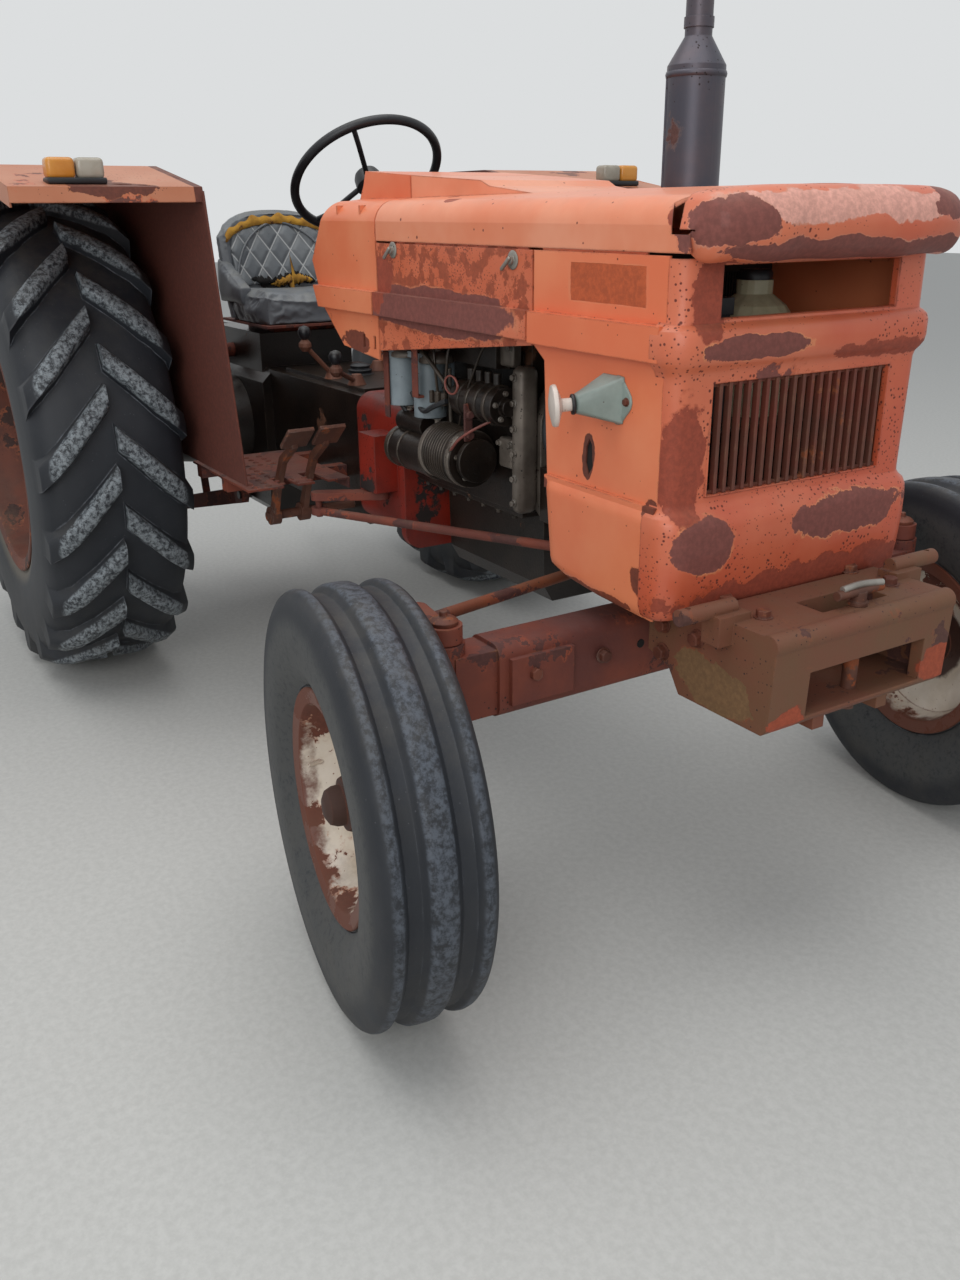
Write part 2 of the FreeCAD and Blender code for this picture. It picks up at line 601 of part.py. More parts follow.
def tow_frame():
    """Build the towing and ballast frame with its rolled top bar, window, slot and corner pegs."""
    body = side_plate([
        (TOW_REAR_X, 700), (NOSE_FACE_X + 7, NOSE_LOW_Z - 10), (NOSE_FACE_X + 14, TOW_TOP_Z),
        (TOW_FRONT_X - 26, TOW_TOP_Z), (TOW_FRONT_X - 3, TOW_TOP_Z - 24), (TOW_FRONT_X - 8, TOW_LOW_Z + 14),
        (TOW_FRONT_X - 22, TOW_LOW_Z), (TOW_REAR_X + 90, TOW_LOW_Z), (TOW_REAR_X + 60, 610),
        (TOW_REAR_X, 628),
    ], -TOW_HALF_W, TOW_HALF_W)
    inside = block(TOW_REAR_X + 50, TOW_FRONT_X - TOW_WALL - 6, TOW_WALL - TOW_HALF_W,
                   TOW_HALF_W - TOW_WALL,
                   TOW_LOW_Z + 20, TOW_TOP_Z - 40)
    y0, y1, z0, z1 = TOW_WINDOW
    window = block(TOW_FRONT_X - 80, TOW_FRONT_X + 20, y0, y1, z0, z1)
    rear, front, y0, y1 = TOW_SLOT
    slot = block(TOW_FRONT_X + rear, TOW_FRONT_X + front, y0, y1, TOW_TOP_Z - 80, TOW_TOP_Z + 20)
    pin_hole = upright(TOW_PIN_X, TOW_PIN_Y, TOW_LOW_Z - 10, TOW_TOP_Z + 10, TOW_PIN_R + RUNNING_GAP)
    frame = body.cut(inside).cut(window).cut(slot)
    pieces = [frame, across(TOW_FRONT_X - TOW_BAR_R, TOW_TOP_Z - TOW_BAR_R + 4, -TOW_HALF_W, TOW_HALF_W,
                            TOW_BAR_R)]
    for side in (-1, 1):
        lug_in, lug_out = sorted((side * (TOW_HALF_W - 40), side * (TOW_HALF_W + 32)))
        pieces.append(block(PEG_X - 14, PEG_X + 30, lug_in, lug_out, TOW_TOP_Z - 40, PEG_Z - 6))
        pieces.append(across(PEG_X, PEG_Z, side * (TOW_HALF_W - 25), side * PEG_OUT_Y, PEG_R))
        lug_in, lug_out = sorted((side * 70.0, side * 98.0))
        pieces.append(block(TOW_FRONT_X - 60, TOW_FRONT_X - 24, lug_in, lug_out, TOW_LOW_Z - 24,
                            TOW_LOW_Z + 2))
    pieces.append(block(RAIL_FRONT_X, TOW_REAR_X + 20, -RAIL_IN_Y, RAIL_IN_Y, TOW_LOW_Z + 60,
                        RAIL_LOW_Z + 30))
    tow = joined(pieces).cut(pin_hole)
    for side in (-1, 1):
        tow = tow.cut(upright(PEG_X, side * (PEG_OUT_Y - 20), PEG_Z - 30, PEG_Z + 30, PEG_HOLE_R))
    parts["front_weight_frame"] = tow
    shank = upright(TOW_PIN_X, TOW_PIN_Y, TOW_LOW_Z - 20, TOW_TOP_Z + 26, TOW_PIN_R)
    handle = across(TOW_PIN_X, TOW_TOP_Z + 26, -34, 82, 9)
    collar = upright(TOW_PIN_X, TOW_PIN_Y, TOW_TOP_Z + SEAT_GAP, TOW_TOP_Z + 8, TOW_PIN_R + 4)
    parts["tow_pin"] = joined([shank, handle, collar])


def engine():
    """Build the engine block with its head, covers, ports and manifolds, the sump and the timing case."""
    rear, front = ENGINE_REAR_X, ENGINE_FRONT_X
    pieces = [
        block(rear, front, -CRANKCASE_HALF, CRANKCASE_HALF, CRANKCASE_LOW_Z, CRANKCASE_TOP_Z),
        block(rear + 20, front - 10, -HEAD_HALF, HEAD_HALF, CRANKCASE_TOP_Z, HEAD_TOP_Z),
        cross_plate([(-COVER_HALF, HEAD_TOP_Z), (COVER_HALF, HEAD_TOP_Z), (COVER_HALF, COVER_TOP_Z - 34),
                     (COVER_HALF - 30, COVER_TOP_Z), (30 - COVER_HALF, COVER_TOP_Z),
                     (-COVER_HALF, COVER_TOP_Z - 34)],
                    rear + 45, front - 40),
        block(rear + 40, front - 60, HEAD_HALF + 22, MANIFOLD_OUT_Y, MANIFOLD_LOW_Z, MANIFOLD_TOP_Z),
        block(rear + INTAKE_REAR, front - 60, -HEAD_HALF - 62, -HEAD_HALF - 18, MANIFOLD_LOW_Z + 8,
              MANIFOLD_TOP_Z + 4),
        bar((STACK_X, HEAD_HALF - 5, STACK_ELBOW_Z), (STACK_X, STACK_Y - STACK_ELBOW_Y, STACK_ELBOW_Z),
            ELBOW_R),
    ]
    pitch = (ENGINE_LENGTH - 130) / (CYLINDERS - 1)
    middle = (MANIFOLD_LOW_Z + MANIFOLD_TOP_Z) / 2
    for index in range(CYLINDERS):
        x = rear + 65 + pitch * index
        pieces.append(across(x, middle, HEAD_HALF - 5, HEAD_HALF + 30, PORT_R))
        if x > rear + INTAKE_REAR + PORT_R:
            pieces.append(across(x, middle, -HEAD_HALF - 30, 5 - HEAD_HALF, PORT_R))
    parts["engine"] = joined(pieces)
    flange = block(rear + 10, front - 6, -CRANKCASE_HALF + 4, CRANKCASE_HALF - 4, CRANKCASE_LOW_Z - 12,
                   CRANKCASE_LOW_Z)
    pan = cross_plate([(-SUMP_HALF, CRANKCASE_LOW_Z - 12), (SUMP_HALF, CRANKCASE_LOW_Z - 12),
                       (SUMP_HALF - 6, SUMP_LOW_Z + 40), (SUMP_HALF - 30, SUMP_LOW_Z),
                       (30 - SUMP_HALF, SUMP_LOW_Z),
                       (6 - SUMP_HALF, SUMP_LOW_Z + 40)], rear + 40, front - 24)
    parts["oil_sump"] = joined([flange, pan])
    waist = TIMING_LOW_Z + 60
    case = cross_plate([(-TIMING_HALF + 45, TIMING_LOW_Z), (TIMING_HALF - 45, TIMING_LOW_Z),
                        (TIMING_HALF, waist),
                        (TIMING_HALF, 985), (TIMING_HALF - 75, TIMING_TOP_Z),
                        (75 - TIMING_HALF, TIMING_TOP_Z),
                        (-TIMING_HALF, 985), (-TIMING_HALF, waist)], front, front + TIMING_T)
    pump = Part.makeCylinder(58, 34, Vector(front + TIMING_T, 0, FAN_Z), Vector(1, 0, 0))
    parts["timing_case"] = joined([case, pump])


# Round units beside the engine: place of the rear end, length, Y, Z, radius
SIDE_UNITS = {
    "starter": (ENGINE_REAR_X + 19.0, 208.0, -215.0, 850.0, 50.0),
    "generator": (ENGINE_FRONT_X - 247.0, 145.0, -232.0, 880.0, 64.0),
    "injection_pump": (ENGINE_FRONT_X - 172.0, 172.0, -210.0, 1010.0, 42.0),
}
# Fuel filter bowls: distance from the engine's rear and height of the bottom
FILTER_BOWLS = ((49.0, 960.0), (187.0, 948.0))
FILTER_Y = -222.0
FILTER_R = 39.0
FILTER_TOP_Z = 1086.0


def engine_accessories():
    """Build the starter, generator and injection pump on their brackets, the filters and the fan."""
    solids = []
    for name, (rear_x, length, y, z, radius) in SIDE_UNITS.items():
        unit = Part.makeCylinder(radius, length, Vector(rear_x, y, z), Vector(1, 0, 0))
        nose = Part.makeCylinder(radius * 0.45, 18, Vector(rear_x + length - 1, y, z), Vector(1, 0, 0))
        foot = block(rear_x + 30, rear_x + length - 30, y, -CRANKCASE_HALF, z - 16, z + 16)
        pieces = [unit, nose, foot]
        if name == "starter":
            pieces.append(Part.makeCylinder(radius * 0.5, length * 0.6,
                                            Vector(rear_x + 20, y, z + radius + 18),
                                            Vector(1, 0, 0)))
        if name == "injection_pump":
            for index in range(CYLINDERS):
                pieces.append(upright(rear_x + 30 + 36 * index, y, z, z + radius + 26, 9))
        if name == "generator":
            pieces.append(Part.makeCylinder(radius * 0.78, 14, Vector(rear_x + length + 8, y, z),
                                            Vector(1, 0, 0)))
        solids.append(joined(pieces))
    parts["engine_accessories"] = Part.makeCompound(solids)
    bowls = []
    for offset, low in FILTER_BOWLS:
        x = ENGINE_REAR_X + offset
        head = block(x - 34, x + 34, FILTER_Y - FILTER_R - 1, -CRANKCASE_HALF, FILTER_TOP_Z,
                     FILTER_TOP_Z + 14)
        bracket = block(x - 20, x + 20, -CRANKCASE_HALF - 14, -CRANKCASE_HALF, 1000, FILTER_TOP_Z + 4)
        bead = upright(x, FILTER_Y, FILTER_TOP_Z - 12, FILTER_TOP_Z + 1, FILTER_R + 2)
        bowls.append(joined([upright(x, FILTER_Y, low, FILTER_TOP_Z + 1, FILTER_R), bead, head, bracket]))
    parts["fuel_filters"] = Part.makeCompound(bowls)
    fan_x = ENGINE_FRONT_X + TIMING_T + 34
    pulley = Part.makeCylinder(62, 26, Vector(fan_x, 0, FAN_Z), Vector(1, 0, 0))
    hub = Part.makeCylinder(32, 74, Vector(fan_x, 0, FAN_Z), Vector(1, 0, 0))
    blades = []
    for index in range(FAN_BLADES):
        blade = lofted([
            [Vector(fan_x + 44, -22, FAN_Z), Vector(fan_x + 50, -22, FAN_Z), Vector(fan_x + 64, 22, FAN_Z),
             Vector(fan_x + 58, 22, FAN_Z)],
            [Vector(fan_x + 40, -40, FAN_Z + FAN_R), Vector(fan_x + 45, -40, FAN_Z + FAN_R),
             Vector(fan_x + 66, 40, FAN_Z + FAN_R), Vector(fan_x + 61, 40, FAN_Z + FAN_R)],
        ])
        blade.rotate(Vector(fan_x, 0, FAN_Z), Vector(1, 0, 0), 360 / FAN_BLADES * index)
        blades.append(blade)
    crank = Part.makeCylinder(CRANK_PULLEY_R, 40, Vector(ENGINE_FRONT_X + TIMING_T, 0, CRANK_Z),
                              Vector(1, 0, 0))
    parts["fan_and_pulleys"] = Part.makeCompound([joined([pulley, hub] + blades), crank])


def driveline():
    """Build the clutch housing, the transmission, the axle housings and the drawbar."""
    clutch = block(CLUTCH_REAR_X, ENGINE_REAR_X, -CLUTCH_HALF, CLUTCH_HALF, CLUTCH_LOW_Z, CLUTCH_TOP_Z)
    long_edges = [e for e in clutch.Edges if abs(e.tangentAt(e.FirstParameter).x) > 0.9]
    clutch = clutch.makeFillet(CLUTCH_CORNER_R, long_edges)
    flange = clutch.common(block(ENGINE_REAR_X - FLANGE_T, ENGINE_REAR_X, -CLUTCH_HALF, CLUTCH_HALF,
                                 CLUTCH_LOW_Z, CLUTCH_TOP_Z))
    flange = flange.scaled(1.0 + FLANGE_PROUD / CLUTCH_HALF, Vector(ENGINE_REAR_X, 0, CLUTCH_TOP_Z))
    box_x, box_y = PITMAN_PIVOT
    steering_box = block(box_x - 46, box_x + 46, box_y - 40, -CLUTCH_HALF + 20, PITMAN_ARM_Z + ARM_T + 4,
                         860)
    clutch = joined([clutch, flange, steering_box])
    clutch = clutch.cut(upright(box_x, box_y, PITMAN_ARM_Z, PITMAN_ARM_Z + 72, KINGPIN_R + RUNNING_GAP))
    parts["clutch_housing"] = clutch

    gearbox = block(FINAL_DRIVE_FRONT_X - 10, CLUTCH_REAR_X, -GEARBOX_HALF, GEARBOX_HALF, GEARBOX_LOW_Z,
                    GEARBOX_TOP_Z)
    cover = block(FINAL_DRIVE_FRONT_X + 60, CLUTCH_REAR_X - 60, -GEARBOX_HALF + 30, GEARBOX_HALF - 30,
                  GEARBOX_TOP_Z - 1, GEARBOX_TOP_Z + 12)
    cut = FINAL_DRIVE_CORNER
    half = FINAL_DRIVE_HALF
    final = cross_plate([
        (cut - half, FINAL_DRIVE_LOW_Z), (half - cut, FINAL_DRIVE_LOW_Z), (half, FINAL_DRIVE_LOW_Z + cut),
        (half, FINAL_DRIVE_TOP_Z - cut), (half - cut, FINAL_DRIVE_TOP_Z), (cut - half, FINAL_DRIVE_TOP_Z),
        (-half, FINAL_DRIVE_TOP_Z - cut), (-half, FINAL_DRIVE_LOW_Z + cut),
    ], FINAL_DRIVE_REAR_X, FINAL_DRIVE_FRONT_X)
    lift = block(FINAL_DRIVE_REAR_X, FINAL_DRIVE_FRONT_X - 60, -LIFT_HALF, LIFT_HALF,
                 FINAL_DRIVE_TOP_Z - 60, LIFT_TOP_Z)
    pieces = [gearbox, cover, final, lift]
    for side in (-1, 1):
        pieces.append(across(LINK_PIVOT[0], LINK_PIVOT[1], side * (FINAL_DRIVE_HALF - 10),
                             side * (LINK_PIVOT_Y + LINK_T / 2 + PIN_PROUD), LINK_PIN_R - RUNNING_GAP))
    pto = Part.makeCylinder(PTO_R, PTO_LENGTH + 10, Vector(FINAL_DRIVE_REAR_X + 10, 0, PTO_Z),
                            Vector(-1, 0, 0))
    pieces.append(pto)
    hole_x, hole_z = TOP_LINK_AT
    for y in (-TOP_LINK_EAR_OUT, TOP_LINK_EAR_OUT - TOP_LINK_EAR_T):
        ear = side_plate([(FINAL_DRIVE_REAR_X + 5, hole_z - 40), (hole_x - 26, hole_z - 40),
                          (hole_x - 26, hole_z + 40), (FINAL_DRIVE_REAR_X + 5, hole_z + 70)], y,
                          y + TOP_LINK_EAR_T)
        pieces.append(ear)
    drive = joined(pieces)
    drive = drive.cut(across(ROCKSHAFT[0], ROCKSHAFT[1], -LIFT_HALF - CUT_PAST, LIFT_HALF + CUT_PAST,
                             ROCKSHAFT_R + RUNNING_GAP))
    drive = drive.cut(across(hole_x, hole_z, -60, 60, TOP_LINK_BORE_R))
    parts["transmission"] = drive

    run = TRUMPET_END_Y - FINAL_DRIVE_HALF
    housing = Part.makeCone(TRUMPET_ROOT_R, TRUMPET_END_R, run, Vector(0, -FINAL_DRIVE_HALF, REAR_TYRE_R),
                            Vector(0, -1, 0))
    housing = housing.cut(across(0, REAR_TYRE_R, -(TRUMPET_END_Y - 90), -(TRUMPET_END_Y + CUT_PAST),
                                 REAR_SHAFT_R + RUNNING_GAP))
    parts["axle_housings"] = both_sides(housing)

    half_t = DRAWBAR_T / 2
    tongue = block(DRAWBAR_REAR_X, 120, -DRAWBAR_HALF, DRAWBAR_HALF, DRAWBAR_Z - half_t, DRAWBAR_Z + half_t)
    hanger = block(-60, 0, -70, 70, DRAWBAR_Z + half_t, FINAL_DRIVE_LOW_Z)
    drawbar = joined([tongue, hanger])
    hole = upright(DRAWBAR_HOLE_X, 0, DRAWBAR_Z - 30, DRAWBAR_Z + 30, DRAWBAR_BORE_R)
    parts["drawbar"] = drawbar.cut(hole)


def bonnet_wire(half, seam_z, shoulder_z, shoulder_in, shoulder_top, top_z, x):
    """Return the closed outline of the bonnet's cross-section at one X."""
    left = [Vector(x, half, seam_z), Vector(x, half, shoulder_z)]
    bend = Vector(x, half - shoulder_in * 0.3, shoulder_z + (shoulder_top - shoulder_z) * 0.72)
    crown_start = Vector(x, half - shoulder_in, shoulder_top)
    flip = [Vector(p.x, -p.y, p.z) for p in (left[0], left[1], bend, crown_start)]
    edges = [
        Part.makeLine(left[0], left[1]),
        Part.Arc(left[1], bend, crown_start).toShape(),
        Part.Arc(crown_start, Vector(x, 0, top_z), flip[3]).toShape(),
        Part.Arc(flip[3], flip[2], flip[1]).toShape(),
        Part.makeLine(flip[1], flip[0]),
        Part.makeLine(flip[0], left[0]),
    ]
    return Part.Wire(edges)


def bonnet_body(x0, x1, inset, seam_z):
    """Return the solid under the bonnet's skin, smaller by an inset."""
    wire = bonnet_wire(BONNET_HALF - inset, seam_z, BONNET_SHOULDER_Z - inset * 0.4, BONNET_SHOULDER_IN,
                       BONNET_SHOULDER_TOP_Z - inset, BONNET_TOP_Z - inset, x0)
    return Part.Face(wire).extrude(Vector(x1 - x0, 0, 0))


def skin_tongue(edge_x, reach):
    """Return the joggled flange that lies under the bonnet's edge; reach is signed along X."""
    step = 1 if reach > 0 else -1
    under = SHEET + SEAT_GAP
    thickness = SHEET - 1
    low = BONNET_SEAM_Z + 4
    bodies = []
    for start, end, inset in ((edge_x - step * 30, edge_x, SHEET - 0.2),
                              (edge_x - step * 5, edge_x + reach, under)):
        x0, x1 = min(start, end), max(start, end)
        outer = bonnet_body(x0, x1, inset, low)
        bodies.append(outer.cut(bonnet_body(x0 - 5, x1 + 5, under + thickness, low - 5)))
    return bodies


def panel_hanger(x0, x1):
    """Return the strip on a side panel that hooks up behind the bonnet's skin, right-hand side."""
    face = BONNET_HALF - SHEET
    top = BONNET_SEAM_Z - SEAM
    return [block(x0, x1, -face - 0.2, 4 - face, top - 26, top - 1),
            block(x0, x1, SEAT_GAP - face, 4 - face, top - 26, top + 26)]


def hump_body(x0, x1):
    """Return the raised cover over the tank, between two stations."""
    side = [(x0, BONNET_TOP_Z - 40), (x1, BONNET_TOP_Z - 40), (x1 - 10, BONNET_TOP_Z - 9)]
    span = COWL_FRONT_X - HUMP_FRONT_X
    rise = (HUMP_REAR_Z - HUMP_STEP_Z) / (COWL_REAR_MID[0] - HUMP_STEP_X)
    if x1 > HUMP_STEP_X:
        side += [(HUMP_STEP_X + 30, HUMP_STEP_Z - 12), (HUMP_STEP_X, HUMP_STEP_Z)]
    else:
        side[-1] = (x1, HUMP_STEP_Z + rise * (x1 - HUMP_STEP_X))
    side.append((x0, HUMP_STEP_Z + rise * (x0 - HUMP_STEP_X)))
    body = side_plate(side, -HUMP_HALF_REAR, HUMP_HALF_REAR)

    def half_at(x):
        share = (x - COWL_FRONT_X) / -span
        return HUMP_HALF_REAR + (HUMP_HALF_FRONT - HUMP_HALF_REAR) * max(0.0, share)

    plan = [(x0 - 1, -half_at(x0)), (COWL_FRONT_X, -half_at(COWL_FRONT_X)), (x1 + 1, -half_at(x1)),
            (x1 + 1, half_at(x1)), (COWL_FRONT_X, half_at(COWL_FRONT_X)), (x0 - 1, half_at(x0))]
    if x1 <= COWL_FRONT_X:
        plan = [(x0 - 1, -half_at(x0)), (x1 + 1, -half_at(x1)), (x1 + 1, half_at(x1)),
                (x0 - 1, half_at(x0))]
    return body.common(flat_plate(plan, BONNET_TOP_Z - 60, HUMP_REAR_Z + 20))


def bonnet():
    """Build the bonnet top with the raised cover along its rear half and its torn front corner."""
    rear = COWL_FRONT_X + SEAM
    skin = bonnet_body(rear, BONNET_FRONT_X, 0, BONNET_SEAM_Z)
    skin = skin.cut(bonnet_body(rear - 5, BONNET_FRONT_X + 5, SHEET, BONNET_SEAM_Z - 10))
    hump = hump_body(rear, HUMP_FRONT_X)
    hump = hump.cut(bonnet_body(rear - 5, BONNET_FRONT_X, SHEET, BONNET_SEAM_Z - 10))
    reach, across_tear = TEAR
    edge = -BONNET_HALF
    tear = flat_plate([
        (BONNET_FRONT_X + 5, edge - 10), (BONNET_FRONT_X - reach * 0.2, edge - 10),
        (BONNET_FRONT_X - reach * 0.36, edge + 18),
        (BONNET_FRONT_X - reach * 0.2, edge + 40), (BONNET_FRONT_X - reach * 0.26, edge + 70),
        (BONNET_FRONT_X - reach * 0.08, edge + across_tear), (BONNET_FRONT_X + 5, edge + across_tear + 24),
    ], BONNET_SHOULDER_Z - 14, BONNET_TOP_Z + 10)
    parts["bonnet_top"] = joined([skin, hump]).cut(tear)


def rear_cowl():
    """Build the cowl that carries the dash and wraps round the tank."""
    rear = COWL_REAR_MID[0]
    outer = bonnet_body(rear - 10, COWL_FRONT_X, 0, COWL_LOW_Z)
    shell = outer.cut(bonnet_body(rear - 20, COWL_FRONT_X + 5, SHEET, COWL_LOW_Z - 20))
    belt = [block(rear, COWL_FRONT_X, BONNET_HALF, BONNET_HALF + BELT_OUT, BELT_LOW_REAR_Z, BELT_TOP_Z)]
    belt.append(mirrored(belt[0]))
    hump = hump_body(rear, COWL_FRONT_X).cut(bonnet_body(rear - 20, COWL_FRONT_X + 5, SHEET,
                                                         COWL_LOW_Z - 20))
    window = side_plate([
        (BONNET_REAR_X + 10, HUMP_REAR_Z + 30), (BONNET_REAR_X - 20, HUMP_REAR_Z - 40), COWL_REAR_MID,
        (rear + 55, BELT_LOW_REAR_Z), COWL_REAR_LOW, (COWL_FRONT_X, COWL_LOW_Z),
        (COWL_FRONT_X, HUMP_REAR_Z + 30),
    ], -BONNET_HALF - 100, BONNET_HALF + 100)
    body = joined([shell, hump] + belt).common(window)
    dash_x = BONNET_REAR_X + 12
    inner = BONNET_HALF - SHEET + 1
    dash = block(dash_x, dash_x + 6, -inner, inner, BELT_LOW_REAR_Z - 10, BONNET_SHOULDER_TOP_Z - 10)
    wall_x = ENGINE_REAR_X
    wall = block(wall_x, wall_x + 6, -inner, inner, CLUTCH_TOP_Z + 140, BONNET_SHOULDER_TOP_Z - 10)
    post = block(ENGINE_REAR_X - 28, ENGINE_REAR_X - 12, -110, 110, CLUTCH_TOP_Z, CLUTCH_TOP_Z + 150)
    shelf = block(ENGINE_REAR_X - 28, wall_x + 6, -110, 110, CLUTCH_TOP_Z + 140, CLUTCH_TOP_Z + 150)
    cowl = joined([body, dash, wall, post, shelf] + skin_tongue(COWL_FRONT_X, SEAM + 45))
    for offset in SKIRT_SLOTS:
        x = COWL_FRONT_X + offset
        cowl = cowl.cut(block(x - 6, x + 6, -BONNET_HALF - 5, BONNET_HALF + 5, SKIRT_SLOT_Z,
                              SKIRT_SLOT_Z + 30))
    parts["rear_cowl"] = cowl


def side_panels():
    """Build the engine side panels with their raised belt."""
    sheet = side_plate([
        (PANEL_REAR_X, PANEL_LOW_REAR_Z), (PANEL_FRONT_X, PANEL_LOW_FRONT_Z),
        (PANEL_FRONT_X, BONNET_SEAM_Z - SEAM), (PANEL_REAR_X, BONNET_SEAM_Z - SEAM),
    ], -BONNET_HALF, SHEET - BONNET_HALF)
    belt = side_plate([
        (PANEL_REAR_X, BELT_LOW_REAR_Z), (PANEL_FRONT_X, PANEL_LOW_FRONT_Z + 10),
        (PANEL_FRONT_X, BELT_TOP_Z), (PANEL_REAR_X, BELT_TOP_Z),
    ], -BONNET_HALF - BELT_OUT, -BONNET_HALF)
    hanger = panel_hanger(PANEL_REAR_X + 60, PANEL_FRONT_X - 20)
    parts["side_panels"] = both_sides(joined([sheet, belt] + hanger))


def brow_outline(inset):
    """Return the brow's outline in X and Z, drawn in by an inset."""
    front = BROW_FRONT_X - inset
    low = BROW_LOW_Z
    return [
        (NOSE_FACE_X - SHEET, low), (front - 30, low), (front, low + 22), (front - 4, low + 52),
        (front - 40, low + 82 - inset), (BONNET_FRONT_X + SEAM, BONNET_TOP_Z - 8 - inset),
        (BONNET_FRONT_X + SEAM, BONNET_SEAM_Z - SEAM), (NOSE_FACE_X - SHEET, BONNET_SEAM_Z - SEAM),
    ]


def nose():
    """Build the nose: mask, sides and grille."""
    corner = NOSE_CORNER
    side_front = NOSE_FACE_X - corner
    sheet = side_plate([
        (NOSE_REAR_X, BONNET_SEAM_Z - SEAM), (NOSE_REAR_X, PANEL_LOW_FRONT_Z + 3), (NOSE_REAR_X + 37, 1144),
        (NOSE_REAR_X + 52, 917), (NOSE_REAR_X + 73, 759), (NOSE_REAR_X + 133, 741),
        (NOSE_REAR_X + 226, NOSE_LOW_Z + 8),
        (side_front, NOSE_LOW_Z), (side_front, BONNET_SEAM_Z - SEAM),
    ], -BONNET_HALF, SHEET - BONNET_HALF)
    belt = block(NOSE_REAR_X, side_front, -BONNET_HALF - BELT_OUT, -BONNET_HALF, PANEL_LOW_FRONT_Z + 6,
                 BELT_TOP_Z)
    rib = block(NOSE_REAR_X + 53, side_front, -BONNET_HALF - 8, -BONNET_HALF, 905, 930)
    hanger = panel_hanger(NOSE_REAR_X + 20, side_front - 60)
    side = joined([sheet, belt, rib] + hanger)
    rusted = side
    # Rusted-through holes on the right-hand side: distance behind the face, height, half width, half height
    for back, z, wide, high in ((224, 985, 11, 34), (237, 784, 9, 22), (55, 798, 15, 17)):
        x = NOSE_FACE_X - back
        hole = side_plate([(x - wide, z - high * 0.4), (x - wide * 0.2, z - high),
                           (x + wide, z - high * 0.5),
                           (x + wide * 0.7, z + high * 0.7), (x - wide * 0.1, z + high),
                           (x - wide * 0.9, z + high * 0.5)],
                          -BONNET_HALF - 20, SHEET - BONNET_HALF + 5)
        rusted = rusted.cut(hole)
    parts["nose_sides"] = Part.makeCompound([rusted, mirrored(side)])

    half = BONNET_HALF
    apron_top = GRILLE_OPENING[2] - 9
    front = flat_plate([
        (side_front + SEAM, -half), (NOSE_FACE_X, corner - half), (NOSE_FACE_X, half - corner),
        (side_front + SEAM, half), (side_front + SEAM, half - SHEET),
        (NOSE_FACE_X - SHEET - 2, half - corner - 3),
        (NOSE_FACE_X - SHEET - 2, corner + 3 - half), (side_front + SEAM, SHEET - half),
    ], NOSE_LOW_Z, BONNET_SEAM_Z - SEAM)
    belt_bar = block(NOSE_FACE_X - SHEET, NOSE_FACE_X + 20, 10 - half, half - 10, PANEL_LOW_FRONT_Z + 6,
                     BELT_TOP_Z)
    apron = side_plate([
        (NOSE_FACE_X - SHEET, apron_top + 6), (NOSE_FACE_X, apron_top + 6),
        (NOSE_FACE_X + 26, apron_top - 22),
        (NOSE_FACE_X + 20, NOSE_LOW_Z + 46), (NOSE_FACE_X - 4, NOSE_LOW_Z + 2),
        (NOSE_FACE_X - SHEET, NOSE_LOW_Z + 2),
    ], 14 - half, half - 14)
    plan = flat_plate([
        (NOSE_FACE_X - SHEET - 5, -half), (NOSE_FACE_X - SHEET + 3, -half), (NOSE_FACE_X + 27, 50 - half),
        (NOSE_FACE_X + 27, half - 50), (NOSE_FACE_X - SHEET + 3, half), (NOSE_FACE_X - SHEET - 5, half),
    ], NOSE_LOW_Z, apron_top + 10)
    apron = apron.common(plan)
    brow = side_plate(brow_outline(0), -half, half)
    hollow = side_plate(brow_outline(BROW_WALL), BROW_WALL - half, half - BROW_WALL)
    hollow = hollow.common(block(NOSE_FACE_X + BROW_WALL, BROW_FRONT_X, -half, half, BROW_LOW_Z - 5,
                                 BONNET_TOP_Z))
    brow_plan = flat_plate([
        (NOSE_FACE_X - SHEET - 1, -half), (BONNET_FRONT_X + 20, -half), (BROW_FRONT_X - 34, 34 - half),
        (BROW_FRONT_X - 8, 96 - half), (BROW_FRONT_X + 1, 170 - half), (BROW_FRONT_X + 1, half - 170),
        (BROW_FRONT_X - 8, half - 96), (BROW_FRONT_X - 34, half - 34), (BONNET_FRONT_X + 20, half),
        (NOSE_FACE_X - SHEET - 1, half),
    ], BROW_LOW_Z - 10, BONNET_TOP_Z + 10)
    inner_plan = brow_plan.copy().scaled(0.955, Vector(NOSE_FACE_X, 0, BROW_LOW_Z))
    brow = brow.common(brow_plan).cut(hollow.common(inner_plan))
    y0, y1, z0, z1 = LAMP_OPENING
    lamp_hole = block(NOSE_FACE_X - 30, NOSE_FACE_X + 30, y0, y1, z0, z1)
    y0, y1, z0, z1 = GRILLE_OPENING
    grille_hole = block(NOSE_FACE_X - 30, NOSE_FACE_X + 30, y0, y1, z0, z1)
    edge = half - SHEET
    tongue = [block(side_front + SEAM, side_front + SEAM + 6, -edge - 0.2, 4 - edge, NOSE_LOW_Z + 10,
                    BROW_LOW_Z),
              block(side_front - 22, side_front + SEAM + 6, SEAT_GAP - edge, 4 - edge, NOSE_LOW_Z + 10,
                    BROW_LOW_Z)]
    tongue += [mirrored(piece) for piece in tongue]
    tongue += skin_tongue(BONNET_FRONT_X + SEAM, -SEAM - 30)
    mask = joined([front, belt_bar, apron, brow] + tongue).cut(lamp_hole).cut(grille_hole)
    parts["nose_mask"] = mask

